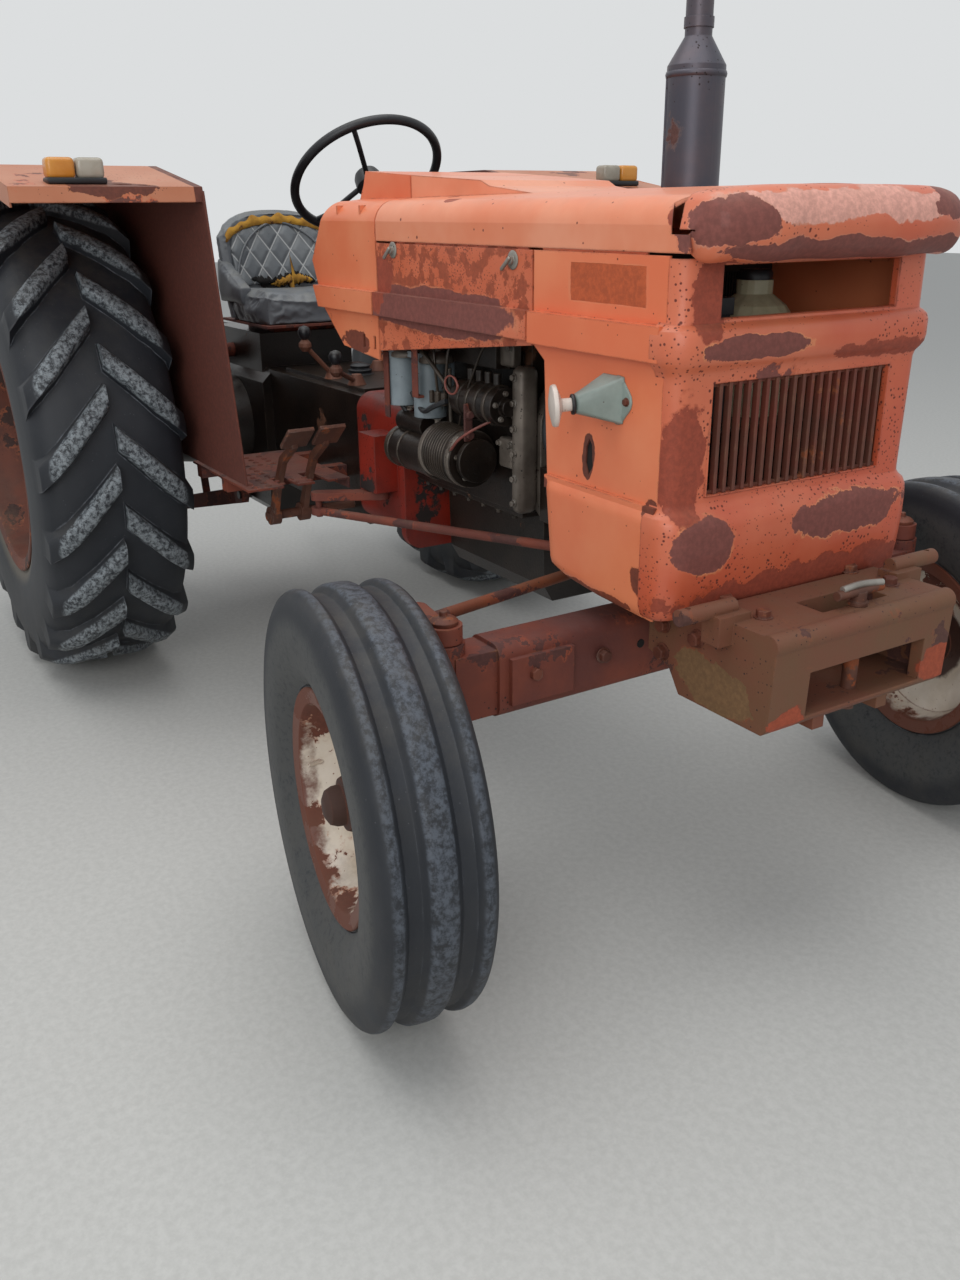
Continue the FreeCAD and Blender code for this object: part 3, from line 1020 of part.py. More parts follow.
    pitch = (y1 - y0) / (GRILLE_BARS + 1)
    face = NOSE_FACE_X - SHEET - 2 - SEAT_GAP
    rails = [block(face - GRILLE_RAIL_T, face, y0 - 12, y1 + 12, z0 - 12, z0 + 8),
             block(face - GRILLE_RAIL_T, face, y0 - 12, y1 + 12, z1 - 8, z1 + 12)]
    bars = []
    for index in range(GRILLE_BARS):
        middle = y0 + pitch * (index + 1)
        bars.append(block(face - 6, face + 6, middle - GRILLE_BAR_W / 2, middle + GRILLE_BAR_W / 2, z0 + 2,
                          z1 - 2))
    parts["grille"] = joined(rails + bars)


def cooling_pack():
    """Build the radiator, the battery and the coolant tank behind the mask."""
    front = RADIATOR_X + RADIATOR_T
    core = block(RADIATOR_X + 10, front - 10, 20 - RADIATOR_HALF, RADIATOR_HALF - 20,
                 RAIL_TOP_Z + RADIATOR_TANK_H,
                 RADIATOR_TOP_Z - 70)
    low_tank = block(RADIATOR_X, front, -RADIATOR_HALF, RADIATOR_HALF, RAIL_TOP_Z,
                     RAIL_TOP_Z + RADIATOR_TANK_H)
    top_tank = block(RADIATOR_X, front, -RADIATOR_HALF, RADIATOR_HALF, RADIATOR_TOP_Z - 70, RADIATOR_TOP_Z)
    parts["radiator"] = joined([core, low_tank, top_tank])
    case = block(front + 40, front + 215, -258, -72, TRAY_Z, TRAY_Z + BATTERY_H - 26)
    lid = block(front + 36, front + 219, -262, -68, TRAY_Z + BATTERY_H - 30, TRAY_Z + BATTERY_H)
    parts["battery"] = joined([case, lid])
    x = front + 150
    # Height above the tray and radius of each ring of the tank
    rings = ((0, 70), (150, 96), (200, 60), (220, 34), (245, 34))
    tank = lofted([polygon_points(radius, 16, x, COOLANT_Y, TRAY_Z + height) for height, radius in rings])
    parts["coolant_tank"] = tank


def exhaust():
    """Build the silencer and stack that stand outside the bonnet."""
    x, y = STACK_X, STACK_Y
    neck_z = SILENCER_TOP_Z + SILENCER_TAPER
    pieces = [
        upright(x, y, SILENCER_LOW_Z, SILENCER_TOP_Z, SILENCER_R),
        Part.makeCone(SILENCER_R, STACK_PIPE_R, SILENCER_TAPER, Vector(x, y, SILENCER_TOP_Z),
                      Vector(0, 0, 1)),
        upright(x, y, neck_z, STACK_TOP_Z, STACK_PIPE_R),
        Part.makeCone(ELBOW_R, SILENCER_R, SILENCER_LOW_Z - STACK_ELBOW_Z, Vector(x, y, STACK_ELBOW_Z),
                      Vector(0, 0, 1)),
        bar((x, y, STACK_ELBOW_Z), (x, y - STACK_ELBOW_Y, STACK_ELBOW_Z), ELBOW_R),
        Part.makeSphere(ELBOW_R, Vector(x, y, STACK_ELBOW_Z)),
    ]
    stack = joined(pieces)
    parts["exhaust_stack"] = stack.cut(upright(x, y, neck_z, STACK_TOP_Z + CUT_PAST,
                                               STACK_PIPE_R - STACK_PIPE_WALL))


def zipped(first, second):
    """Return the triangles between two rings of turned points, given as pairs of angle and point."""
    faces = []
    offset = min(range(len(second)), key=lambda index: abs(second[index][0] - first[0][0]))
    ring = [(angle, point) for angle, point in second[offset:]]
    ring += [(angle + 2 * math.pi, point) for angle, point in second[:offset]]
    near = first + [(first[0][0] + 2 * math.pi, first[0][1])]
    far = ring + [(ring[0][0] + 2 * math.pi, ring[0][1])]
    i = j = 0
    while i < len(near) - 1 or j < len(far) - 1:
        if j == len(far) - 1 or (i < len(near) - 1 and near[i + 1][0] <= far[j + 1][0]):
            faces.append(outline_face([near[i][1], near[i + 1][1], far[j][1]]))
            i += 1
        else:
            faces.append(outline_face([near[i][1], far[j + 1][1], far[j][1]]))
            j += 1
    return faces


def split_quad(a, b, c, d):
    """Return the two triangles of a four-sided patch that isn't flat."""
    return [outline_face([a, b, c]), outline_face([a, c, d])]


def tread(side, start_deg, x, y, z):
    """Return the faces of one side's lugs and its inner and outer edge rings; side is -1 or 1 along Y."""
    half = REAR_TYRE_W / 2
    carcass_r = REAR_TYRE_R - REAR_LUG_H
    slant = math.cos(math.radians(REAR_LUG_SLANT_DEG))
    # Distance from the middle, turn in degrees, radius at the tip and at the foot
    rows = [
        (4.0, 0.0, REAR_TYRE_R, carcass_r),
        (half * 0.66, -11.4, REAR_TYRE_R - 2.0, carcass_r - 2.0),
        (half * 0.97, -16.5, REAR_TYRE_R - 30.0, carcass_r - 46.0),
    ]
    corners = []
    for along, turn, tip_r, foot_r in rows:
        row = []
        for index in range(REAR_LUGS):
            middle = math.radians(start_deg + turn + index * 360.0 / REAR_LUGS)
            foot = REAR_LUG_FOOT_W / 2 / slant / foot_r
            tip = REAR_LUG_TOP_W / 2 / slant / tip_r
            lug = []
            for angle, radius in ((middle - foot, foot_r), (middle - tip, tip_r), (middle + tip, tip_r),
                                  (middle + foot, foot_r)):
                point = Vector(x + radius * math.cos(angle), y + side * along, z + radius * math.sin(angle))
                lug.append((angle, point))
            row.append(lug)
        corners.append(row)
    faces = []
    for near, far in zip(corners, corners[1:]):
        for index in range(REAR_LUGS):
            after = (index + 1) % REAR_LUGS
            a, b = near[index], far[index]
            for k in range(3):
                faces += split_quad(a[k][1], a[k + 1][1], b[k + 1][1], b[k][1])
            faces += split_quad(a[3][1], near[after][0][1], far[after][0][1], b[3][1])
    for row in (corners[0], corners[-1]):
        faces += [outline_face([corner[1] for corner in lug]) for lug in row]
    edges = []
    for row in (corners[0], corners[-1]):
        edges.append([corner for lug in row for corner in (lug[0], lug[3])])
    return faces, edges[0], edges[1]


def level_ring(radius, along, x, y, z):
    """Return the corners of the tyre's carcass at one radius as pairs of angle and point."""
    turns = [2 * math.pi * index / REAR_SIDES for index in range(REAR_SIDES)]
    return [(t, Vector(x + radius * math.cos(t), y + along, z + radius * math.sin(t))) for t in turns]


def ring_faces(near, far):
    """Return the flat faces between two rings with the same number of corners."""
    faces = []
    for index in range(len(near)):
        after = (index + 1) % len(near)
        faces.append(outline_face([near[index][1], near[after][1], far[after][1], far[index][1]]))
    return faces


def rear_tyre(x, y, z):
    """Return a rear tyre with its lugs and a carcass that is open to the rim."""
    side = REAR_RIM_W / 2 - RIM_WALL - SEAT_GAP
    half = REAR_TYRE_W / 2
    cavity_r = REAR_TYRE_R - REAR_LUG_H - REAR_TYRE_WALL
    profile = [
        (REAR_TYRE_R * 0.77, half), (REAR_FLANGE_R + 4.0, side), (REAR_BEAD_R, side),
        (REAR_BEAD_R, side - REAR_TYRE_WALL), (cavity_r, half * 0.6),
    ]
    faces = []
    inner = []
    for sign, start_deg in ((1, 180.0 / REAR_LUGS), (-1, 0.0)):
        lugs, centre_edge, shoulder_edge = tread(sign, start_deg, x, y, z)
        rings = [level_ring(radius, sign * along, x, y, z) for radius, along in profile]
        faces += lugs + zipped(shoulder_edge, rings[0])
        for near, far in zip(rings, rings[1:]):
            faces += ring_faces(near, far)
        inner.append((centre_edge, rings[-1]))
    faces += zipped(inner[0][0], inner[1][0]) + ring_faces(inner[0][1], inner[1][1])
    return closed_solid(faces)


def rear_wheels():
    """Build the rear rims with their axle flanges, and the rear tyres."""
    y = -REAR_HALF_TRACK
    bowl = REAR_BEAD_R - SEAT_GAP - RIM_WALL
    disc = [(112, 70), (150, 70), (205, 62), (300, 18), (bowl + 1, 18), (bowl + 1, 8), (298, 8), (200, 52),
            (150, 58), (112, 58)]
    flange_in = REAR_HALF_TRACK - TRUMPET_END_Y - 8
    hub = [(0, 8), (62, 8), (72, 20), (80, 58), (116, 58), (116, flange_in), (REAR_SHAFT_R, flange_in),
           (REAR_SHAFT_R, flange_in + 84), (0, flange_in + 84)]
    rim = joined([faceted_ring(channel(REAR_BEAD_R, REAR_FLANGE_R, REAR_RIM_W), REAR_SIDES, 0, y,
                               REAR_TYRE_R),
                  faceted_ring(disc, REAR_SIDES, 0, y, REAR_TYRE_R), turned(hub, 0, y, REAR_TYRE_R)])
    tyre = rear_tyre(0, y, REAR_TYRE_R)
    for name, shape in (("rear_rim", rim), ("rear_tyre", tyre)):
        parts[name + "_right"] = shape
        parts[name + "_left"] = mirrored(shape)


def fenders():
    """Build the rear fenders on the axle housings, and their lamps."""
    wall = -FENDER_WALL_Y
    out = -FENDER_OUT_Y
    r = REAR_TYRE_R
    top_z = FENDER_TOP_Z
    path = [(FENDER_FRONT_X + 8, FENDER_FRONT_Z - 36), (FENDER_FRONT_X, FENDER_FRONT_Z),
            (FENDER_RIDGE_X, top_z),
            (-0.343 * r, top_z), (-0.823 * r, 1.8244 * r), (-1.008 * r, 1.454 * r)]
    under = [(-1.0 * r, 1.4513 * r), (-0.8162 * r, 1.8176 * r), (-0.3402 * r, top_z - SHEET),
             (FENDER_RIDGE_X, top_z - SHEET), (FENDER_FRONT_X - SHEET, FENDER_FRONT_Z - SHEET),
             (FENDER_FRONT_X + 8 - SHEET, FENDER_FRONT_Z - 36)]
    top = side_plate(path + under, out, wall)
    lip_low = [(x, z - FENDER_LIP) for x, z in reversed(path[1:])]
    lip = side_plate(path[1:] + lip_low, out, out + SHEET)
    wall_plate = side_plate(path + [
        (-0.878 * r, 1.317 * r), (-0.576 * r, 1.18 * r), (-190, r + 71), (-190, r - 89), (190, r - 89),
        (250, r - 9),
        (0.713 * r, FENDER_FOOT_Z), (FENDER_FOOT_X, FENDER_FOOT_Z),
        (FENDER_FRONT_X + 12, FENDER_FRONT_Z - 10),
    ], wall, wall + SHEET)
    tab = block(-60, 60, wall + SHEET, wall + SHEET + 60, r + 100, r + 112)
    fender = joined([top, lip, wall_plate])
    slope = side_plate([(-190, r - 99), (190, r - 99), (130, r + 71), (60, r + 121), (-60, r + 121),
                        (-130, r + 71)],
                       wall - 5, wall + 8)
    fender = fender.cut(slope)
    saddle = joined([
        side_plate([(-140, r + 71), (-70, r + 119), (70, r + 119), (140, r + 71), (140, r + 51),
                    (-140, r + 51)],
                   wall, wall + SHEET),
        tab,
    ])
    run = TRUMPET_END_Y - FINAL_DRIVE_HALF
    seat_cone = Part.makeCone(TRUMPET_ROOT_R + SEAT_GAP, TRUMPET_END_R + SEAT_GAP, run,
                              Vector(0, -FINAL_DRIVE_HALF, r), Vector(0, -1, 0))
    fender = joined([fender, saddle]).cut(seat_cone)
    rusted = fender
    # Rusted-through holes near the front edge: distance behind it, Y, half length, half width
    for back, y, long, wide in ((36, -724, 9, 26), (22, -672, 6, 20)):
        x = FENDER_FRONT_X - back
        hole = flat_plate([(x - long, y - wide * 0.6), (x, y - wide), (x + long, y - wide * 0.3),
                           (x + long * 0.6, y + wide * 0.8), (x - long * 0.4, y + wide),
                           (x - long, y + wide * 0.3)],
                          FENDER_FRONT_Z - 60, top_z)
        rusted = rusted.cut(hole)
    parts["fenders"] = Part.makeCompound([rusted, mirrored(fender)])
    lamp_x = FENDER_FRONT_X - 85
    lamp = block(lamp_x, lamp_x + 55, -900, -762, FENDER_FRONT_Z + 15, FENDER_FRONT_Z + 68)
    slot = side_plate([(FENDER_FRONT_X - 145, FENDER_FRONT_Z - 30),
                       (FENDER_FRONT_X + 55, FENDER_FRONT_Z - 30),
                       (FENDER_FRONT_X, FENDER_FRONT_Z), (FENDER_RIDGE_X, top_z)], out, -700)
    foot = block(lamp_x + 10, lamp_x + 45, -860, -800, FENDER_FRONT_Z - 20, FENDER_FRONT_Z + 20).cut(slot)
    parts["fender_lamps"] = both_sides(joined([lamp, foot]).cut(slot))


def along_gearbox(share):
    """Return the X that lies at a share of the way from the final drive to the clutch housing."""
    return FINAL_DRIVE_FRONT_X + share * (CLUTCH_REAR_X - FINAL_DRIVE_FRONT_X)


# Levers on the gearbox: shares of its length at the foot and at the knob, Y of both, Z of the knob
LEVERS = (
    (0.552, 0.567, -110.0, -200.0, 1040.0),
    (0.785, 0.868, -110.0, -200.0, 990.0),
    (0.436, 0.378, 80.0, 190.0, 1060.0),
)
KNOB_R = 19.0


def pedal(x, y):
    """Return the pieces of one pedal that hangs on the shaft at x."""
    z = PEDAL_SHAFT_Z
    arm = side_plate([
        (x - 18, z), (x + 30, z + 90), (x + 90, z + 185), (x + 190, z + 246), (x + 190, z + 224),
        (x + 106, z + 168), (x + 52, z + 82), (x + 18, z),
    ], y - 8, y + 8)
    pad = side_plate([(x + 172, z + 232), (x + 236, z + 284), (x + 242, z + 276), (x + 178, z + 224)],
                     y - 36, y + 36)
    return [arm, pad, across(x, z, y - 14, y + 14, 2 * PEDAL_SHAFT_R)]


def platform():
    """Build the footplates, pedals and levers."""
    outer = FENDER_WALL_Y - SHEET
    plate = block(FOOTPLATE_REAR_X, FOOTPLATE_FRONT_X, -outer + 3, -FOOTPLATE_IN_Y,
                  FOOTPLATE_Z - FOOTPLATE_T, FOOTPLATE_Z)
    inner_edge = block(FOOTPLATE_REAR_X, FOOTPLATE_FRONT_X, -FOOTPLATE_IN_Y - SHEET, -FOOTPLATE_IN_Y,
                       FOOTPLATE_Z - 30, FOOTPLATE_Z - 1)
    free = CLUTCH_REAR_X - FOOTPLATE_REAR_X
    bracket = [block(x, x + 40, 5 - outer, -GEARBOX_HALF, FOOTPLATE_Z - 40, FOOTPLATE_Z - FOOTPLATE_T)
               for x in (FOOTPLATE_REAR_X + 0.072 * free, FOOTPLATE_REAR_X + 0.574 * free)]
    plates = joined([plate, inner_edge] + bracket)
    right = plates
    left = mirrored(plates)
    x = along_gearbox(PEDAL_SHARE)
    gap = PEDAL_SLOT_HALF
    for y in PEDAL_Y:
        right = right.cut(block(x + gap, x + PEDAL_SLOT_LONG, y - gap, y + gap, FOOTPLATE_Z - 66,
                                FOOTPLATE_Z + 10))
    left = left.cut(block(x + gap, x + PEDAL_SLOT_LONG, CLUTCH_PEDAL_Y - gap, CLUTCH_PEDAL_Y + gap,
                          FOOTPLATE_Z - 66, FOOTPLATE_Z + 10))
    parts["footplates"] = Part.makeCompound([right, left])

    z = PEDAL_SHAFT_Z
    right = joined([across(x, z, -GEARBOX_HALF, PEDAL_Y[1] - 22, PEDAL_SHAFT_R)] + pedal(x, PEDAL_Y[0])
                   + pedal(x, PEDAL_Y[1]))
    left = joined([across(x, z, GEARBOX_HALF, CLUTCH_PEDAL_Y + 22, PEDAL_SHAFT_R)] + pedal(x,
                                                                                           CLUTCH_PEDAL_Y))
    controls = [right, left]
    foot_z = GEARBOX_TOP_Z + 12
    for foot_share, knob_share, y, top_y, top_z in LEVERS:
        foot_x = along_gearbox(foot_share)
        top_x = along_gearbox(knob_share)
        stick = bar((foot_x, y, foot_z + 8), (top_x, top_y, top_z), 7)
        knob = lofted([polygon_points(KNOB_R * share, 10, top_x, top_y, top_z + KNOB_R * height)
                       for share, height in ((0.5, -0.9), (1.0, -0.2), (0.95, 0.35), (0.5, 0.9))])
        boot = Part.makeCone(28, 14, 30, Vector(foot_x, y, foot_z), Vector(0, 0, 1))
        controls.append(joined([boot, stick, knob]))
    parts["pedals_and_levers"] = Part.makeCompound(controls)


def seat():
    """Build the seat frame and its padded bucket."""
    stand = side_plate([(-40, LIFT_TOP_Z), (190, LIFT_TOP_Z), (210, SEAT_PAN_Z - SEAT_PAN_T),
                        (-50, SEAT_PAN_Z - SEAT_PAN_T)],
                       -110, 110)
    pan = block(SEAT_REAR_X + 30, SEAT_FRONT_X - 20, 30 - SEAT_HALF, SEAT_HALF - 30,
                SEAT_PAN_Z - SEAT_PAN_T, SEAT_PAN_Z)
    parts["seat_frame"] = joined([stand, pan])
    cushion = block(SEAT_REAR_X + 40, SEAT_FRONT_X, -SEAT_HALF, SEAT_HALF, SEAT_PAN_Z, SEAT_CUSHION_Z)
    front_edges = [e for e in cushion.Edges if abs(e.tangentAt(e.FirstParameter).z) > 0.9
                   and e.CenterOfMass.x > SEAT_FRONT_X - 1]
    cushion = cushion.makeFillet(SEAT_CORNER_R, front_edges)
    back = side_plate([(SEAT_REAR_X + 40, SEAT_PAN_Z), (SEAT_REAR_X + 130, SEAT_PAN_Z),
                       (SEAT_REAR_X + 60, SEAT_BACK_TOP_Z), (SEAT_REAR_X - 20, SEAT_BACK_TOP_Z)],
                      -SEAT_HALF, SEAT_HALF)
    rise = SEAT_BACK_TOP_Z - SEAT_PAN_Z
    arch = cross_plate([
        (-SEAT_HALF, SEAT_PAN_Z), (SEAT_HALF, SEAT_PAN_Z), (SEAT_HALF, SEAT_PAN_Z + rise * 0.62),
        (SEAT_HALF * 0.86, SEAT_PAN_Z + rise * 0.84), (SEAT_HALF * 0.5, SEAT_PAN_Z + rise * 0.97),
        (0, SEAT_BACK_TOP_Z),
        (-SEAT_HALF * 0.5, SEAT_PAN_Z + rise * 0.97), (-SEAT_HALF * 0.86, SEAT_PAN_Z + rise * 0.84),
        (-SEAT_HALF, SEAT_PAN_Z + rise * 0.62),
    ], SEAT_REAR_X - 40, SEAT_REAR_X + 140)
    wing = side_plate([(SEAT_REAR_X + 60, SEAT_CUSHION_Z - 10), (SEAT_REAR_X + 260, SEAT_CUSHION_Z - 10),
                       (SEAT_REAR_X + 230, SEAT_CUSHION_Z + 40), (SEAT_REAR_X + 120, SEAT_CUSHION_Z + 96),
                       (SEAT_REAR_X + 40, SEAT_CUSHION_Z + 150)],
                      -SEAT_HALF, 52 - SEAT_HALF)
    parts["seat_cushion"] = joined([cushion, back.common(arch), wing, mirrored(wing)])


def steering_column():
    """Build the column and the steering wheel on its end."""
    x, z = HAND_WHEEL_CENTRE
    rise = math.radians(COLUMN_ANGLE_DEG)
    axis = Vector(math.cos(rise), 0, -math.sin(rise))
    centre = Vector(x, 0, z)

    def at(distance):
        return centre.add(Vector(axis.x * distance, 0, axis.z * distance))

    low = (z - CLUTCH_TOP_Z) / math.sin(rise)
    tube = Part.makeCylinder(COLUMN_R, low - 98, at(70), axis)
    foot = block(x + low * axis.x - 70, x + low * axis.x + 20, -45, 45, CLUTCH_TOP_Z, CLUTCH_TOP_Z + 40)
    column = joined([tube, foot])
    bore = Part.makeCylinder(9 + RUNNING_GAP, 60, at(60), axis)
    parts["steering_column"] = column.cut(bore)

    grip = HAND_WHEEL_GRIP_R
    middle = HAND_WHEEL_R - grip
    section = [(middle + grip * math.cos(math.radians(turn)), grip * math.sin(math.radians(turn)))
               for turn in range(0, 360, 45)]
    rim = faceted_ring(section, HAND_WHEEL_SIDES, 0, 0, 0)
    rim.rotate(Vector(0, 0, 0), Vector(1, 0, 0), 90)
    rim.rotate(Vector(0, 0, 0), Vector(0, 1, 0), COLUMN_ANGLE_DEG - 90)
    rim.translate(centre)
    hub = Part.makeCylinder(38, 34, at(6), axis)
    shaft = Part.makeCylinder(9, 90, at(24), axis)
    pieces = [rim, hub, shaft]
    side = Vector(0, 1, 0)
    for turn in (90.0, 210.0, 330.0):
        spoke = Part.makeCylinder(8, middle, at(12), side)
        spoke.rotate(at(12), axis, turn)
        pieces.append(spoke)
    parts["steering_wheel"] = joined(pieces)


def side_lamps():
    """Build the small lamps that stand out on brackets beside the nose."""
    x = NOSE_FACE_X - 144
    arm = bar((x, -BONNET_HALF - 5, 1099), (x - 45, -378, 1090), 9)
    arm = arm.common(block(x - 150, x + 60, -500, -BONNET_HALF, 1000, 1200))
    foot = flat_plate([(x - 40, -BONNET_HALF), (x + 34, -BONNET_HALF), (x - 20, -BONNET_HALF - 66),
                       (x - 44, -BONNET_HALF - 62)], 1060, 1142)
    foot = foot.common(cross_plate([(-BONNET_HALF, 1060), (-BONNET_HALF, 1142), (-BONNET_HALF - 66, 1106),
                                    (-BONNET_HALF - 66, 1074)], x - 50, x + 40))
    disc = bar((x - 41, -380, 1090), (x - 81, -392, 1086), 34)
    parts["side_lamps"] = both_sides(joined([arm, foot, disc]))


def hitch():
    """Build the lowered three-point hitch."""
    x, z = LINK_PIVOT
    pivot = Vector(x, 0, z)
    half = LINK_H / 2
    end_x = x - LINK_LENGTH
    straight = LINK_STRAIGHT
    inner = LINK_PIVOT_Y - LINK_T / 2
    slant_end = end_x + LINK_STRAIGHT
    outline = [
        (x + half, inner), (x + half, inner + LINK_T), (x - straight, inner + LINK_T),
        (slant_end, LINK_END_Y + LINK_T / 2), (end_x, LINK_END_Y + LINK_T / 2),
        (end_x, LINK_END_Y - LINK_T / 2), (slant_end, LINK_END_Y - LINK_T / 2), (x - straight, inner),
    ]
    bar_plate = flat_plate(outline, z - half, z + half)
    profile = side_plate([(x - 5, z - half), (x + 5, z - half), (x + 30, z), (x + 5, z + half),
                          (x - 5, z + half),
                          (slant_end, z + half * 0.72), (end_x, z + half * 0.72), (end_x, z - half * 0.72),
                          (slant_end, z - half * 0.72)], 0, LINK_END_Y + 60)
    bar_plate = bar_plate.common(profile)
    ball = across(end_x, z, LINK_END_Y - LINK_BALL_W / 2, LINK_END_Y + LINK_BALL_W / 2, LINK_BALL_R)
    share = (LIFT_PIN_AT - straight) / (x - straight - slant_end)
    pin_y = LINK_PIVOT_Y + share * (LINK_END_Y - LINK_PIVOT_Y)
    pin = across(x - LIFT_PIN_AT, z, LIFT_ROD_Y - LIFT_EYE_T / 2 - PIN_PROUD, pin_y, LIFT_PIN_R)
    link = joined([bar_plate, ball, pin])
    link = link.cut(across(x, z, LINK_PIVOT_Y - 40, LINK_PIVOT_Y + 40, LINK_PIN_R))
    link = link.cut(across(end_x, z, LINK_END_Y - 60, LINK_END_Y + 60, LINK_BALL_BORE_R))
    link.rotate(pivot, Vector(0, 1, 0), LINK_DOWN_DEG)
    parts["lower_link_left"] = link
    parts["lower_link_right"] = mirrored(link)

    down = math.radians(LINK_DOWN_DEG)
    offset = (-LIFT_PIN_AT * math.cos(down), LIFT_PIN_AT * math.sin(down))
    low = (x + offset[0], z + offset[1])
    high = (ROCKSHAFT[0] + offset[0], ROCKSHAFT[1] + offset[1])
    y0 = LIFT_ROD_Y - LIFT_EYE_T / 2
    y1 = LIFT_ROD_Y + LIFT_EYE_T / 2
    rod = joined([across(low[0], low[1], y0, y1, LIFT_EYE_R), across(high[0], high[1], y0, y1, LIFT_EYE_R),
                  bar((low[0], LIFT_ROD_Y, low[1]), (high[0], LIFT_ROD_Y, high[1]), LIFT_ROD_R)])
    for px, pz in (low, high):
        rod = rod.cut(across(px, pz, y0 - 10, y1 + 10, LIFT_PIN_R + RUNNING_GAP))
    parts["lift_rod_left"] = rod
    parts["lift_rod_right"] = mirrored(rod)

    shaft = across(ROCKSHAFT[0], ROCKSHAFT[1], -LIFT_ARM_IN_Y - LIFT_ARM_T, LIFT_ARM_IN_Y + LIFT_ARM_T,
                   ROCKSHAFT_R)
    pieces = [shaft]
    ux, uz = offset[0] / LIFT_PIN_AT, offset[1] / LIFT_PIN_AT
    for side in (-1, 1):
        inner_y, outer_y = sorted((side * LIFT_ARM_IN_Y, side * (LIFT_ARM_IN_Y + LIFT_ARM_T)))
        root = ROCKSHAFT
        web = side_plate([
            (root[0] - uz * 34, root[1] + ux * 34), (high[0] - uz * 22, high[1] + ux * 22),
            (high[0] + uz * 22, high[1] - ux * 22), (root[0] + uz * 34, root[1] - ux * 34),
        ], inner_y, outer_y)
        pieces.extend([web, across(root[0], root[1], inner_y, outer_y, LIFT_ARM_ROOT_R),
                       across(high[0], high[1], inner_y, outer_y, LIFT_EYE_R)])
        pieces.append(across(high[0], high[1], side * LIFT_ARM_IN_Y, side * (y1 + PIN_PROUD), LIFT_PIN_R))
    parts["lift_arms"] = joined(pieces)


axle_beam()
front_corner(-1)
front_corner(1)
steering_linkage()
front_support()
tow_frame()
engine()
engine_accessories()
driveline()
bonnet()
rear_cowl()
side_panels()
nose()
cooling_pack()
exhaust()
rear_wheels()
fenders()
platform()
seat()
steering_column()
side_lamps()
hitch()

os.makedirs("parts", exist_ok=True)
for name, shape in parts.items():
    shape.translate(Vector(-ORIGIN_X, 0, 0))
    shape.exportStep("parts/" + name + ".step")
    print(name, len(shape.Solids), shape.isValid(), round(shape.Volume / 1e6, 2))
print("pieces", len(parts), "origin", ORIGIN_X)
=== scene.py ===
import json
import logging
import random
from collections.abc import Callable
from dataclasses import dataclass, field, replace
from enum import Enum
from math import atan2, cos, exp, pi, radians, sin, sqrt, tau

import bpy
from mathutils import Matrix, Vector
from mathutils.bvhtree import BVHTree

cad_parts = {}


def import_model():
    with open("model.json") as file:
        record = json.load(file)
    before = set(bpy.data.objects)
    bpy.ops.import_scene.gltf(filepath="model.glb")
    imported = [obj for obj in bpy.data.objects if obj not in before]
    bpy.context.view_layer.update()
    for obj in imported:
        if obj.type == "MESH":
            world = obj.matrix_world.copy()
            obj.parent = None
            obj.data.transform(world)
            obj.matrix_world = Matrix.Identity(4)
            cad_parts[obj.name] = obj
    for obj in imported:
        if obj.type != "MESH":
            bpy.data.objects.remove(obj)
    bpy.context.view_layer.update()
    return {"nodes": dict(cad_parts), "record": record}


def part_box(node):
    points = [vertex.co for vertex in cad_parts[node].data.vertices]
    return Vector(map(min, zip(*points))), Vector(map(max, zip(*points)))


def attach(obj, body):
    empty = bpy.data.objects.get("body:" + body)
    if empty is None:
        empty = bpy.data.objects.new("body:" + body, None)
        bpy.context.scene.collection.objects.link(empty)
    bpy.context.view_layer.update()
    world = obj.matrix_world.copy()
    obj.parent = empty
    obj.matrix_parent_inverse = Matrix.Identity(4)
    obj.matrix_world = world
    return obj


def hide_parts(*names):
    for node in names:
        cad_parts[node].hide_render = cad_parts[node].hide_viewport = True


log = logging.getLogger("farm_tractor")
Piece = bpy.types.Object
Socket = bpy.types.NodeSocket
Pair = tuple[float, float]
Triple = tuple[float, float, float]
MERGE = 0.00002
SIDES = (("right", -1.0), ("left", 1.0))
UP = Vector((0.0, 0.0, 1.0))
AHEAD = Vector((1.0, 0.0, 0.0))
REAR_AXLE_X = -0.8787728
REAR_RADIUS = 0.729
REAR_HALF_TRACK = 0.7915


def tone(code: str) -> tuple[float, float, float, float]:
    """Turn a six-digit colour as a screen shows it into the linear colour that a shader takes.

    Args:
        code: Red, green and blue as hexadecimal digits.
    Returns:
        The linear colour with alpha 1.
    """
    channels = [int(code[start:start + 2], 16) / 255.0 for start in (0, 2, 4)]
    linear = [c / 12.92 if c <= 0.04045 else ((c + 0.055) / 1.055) ** 2.4 for c in channels]
    return (linear[0], linear[1], linear[2], 1.0)


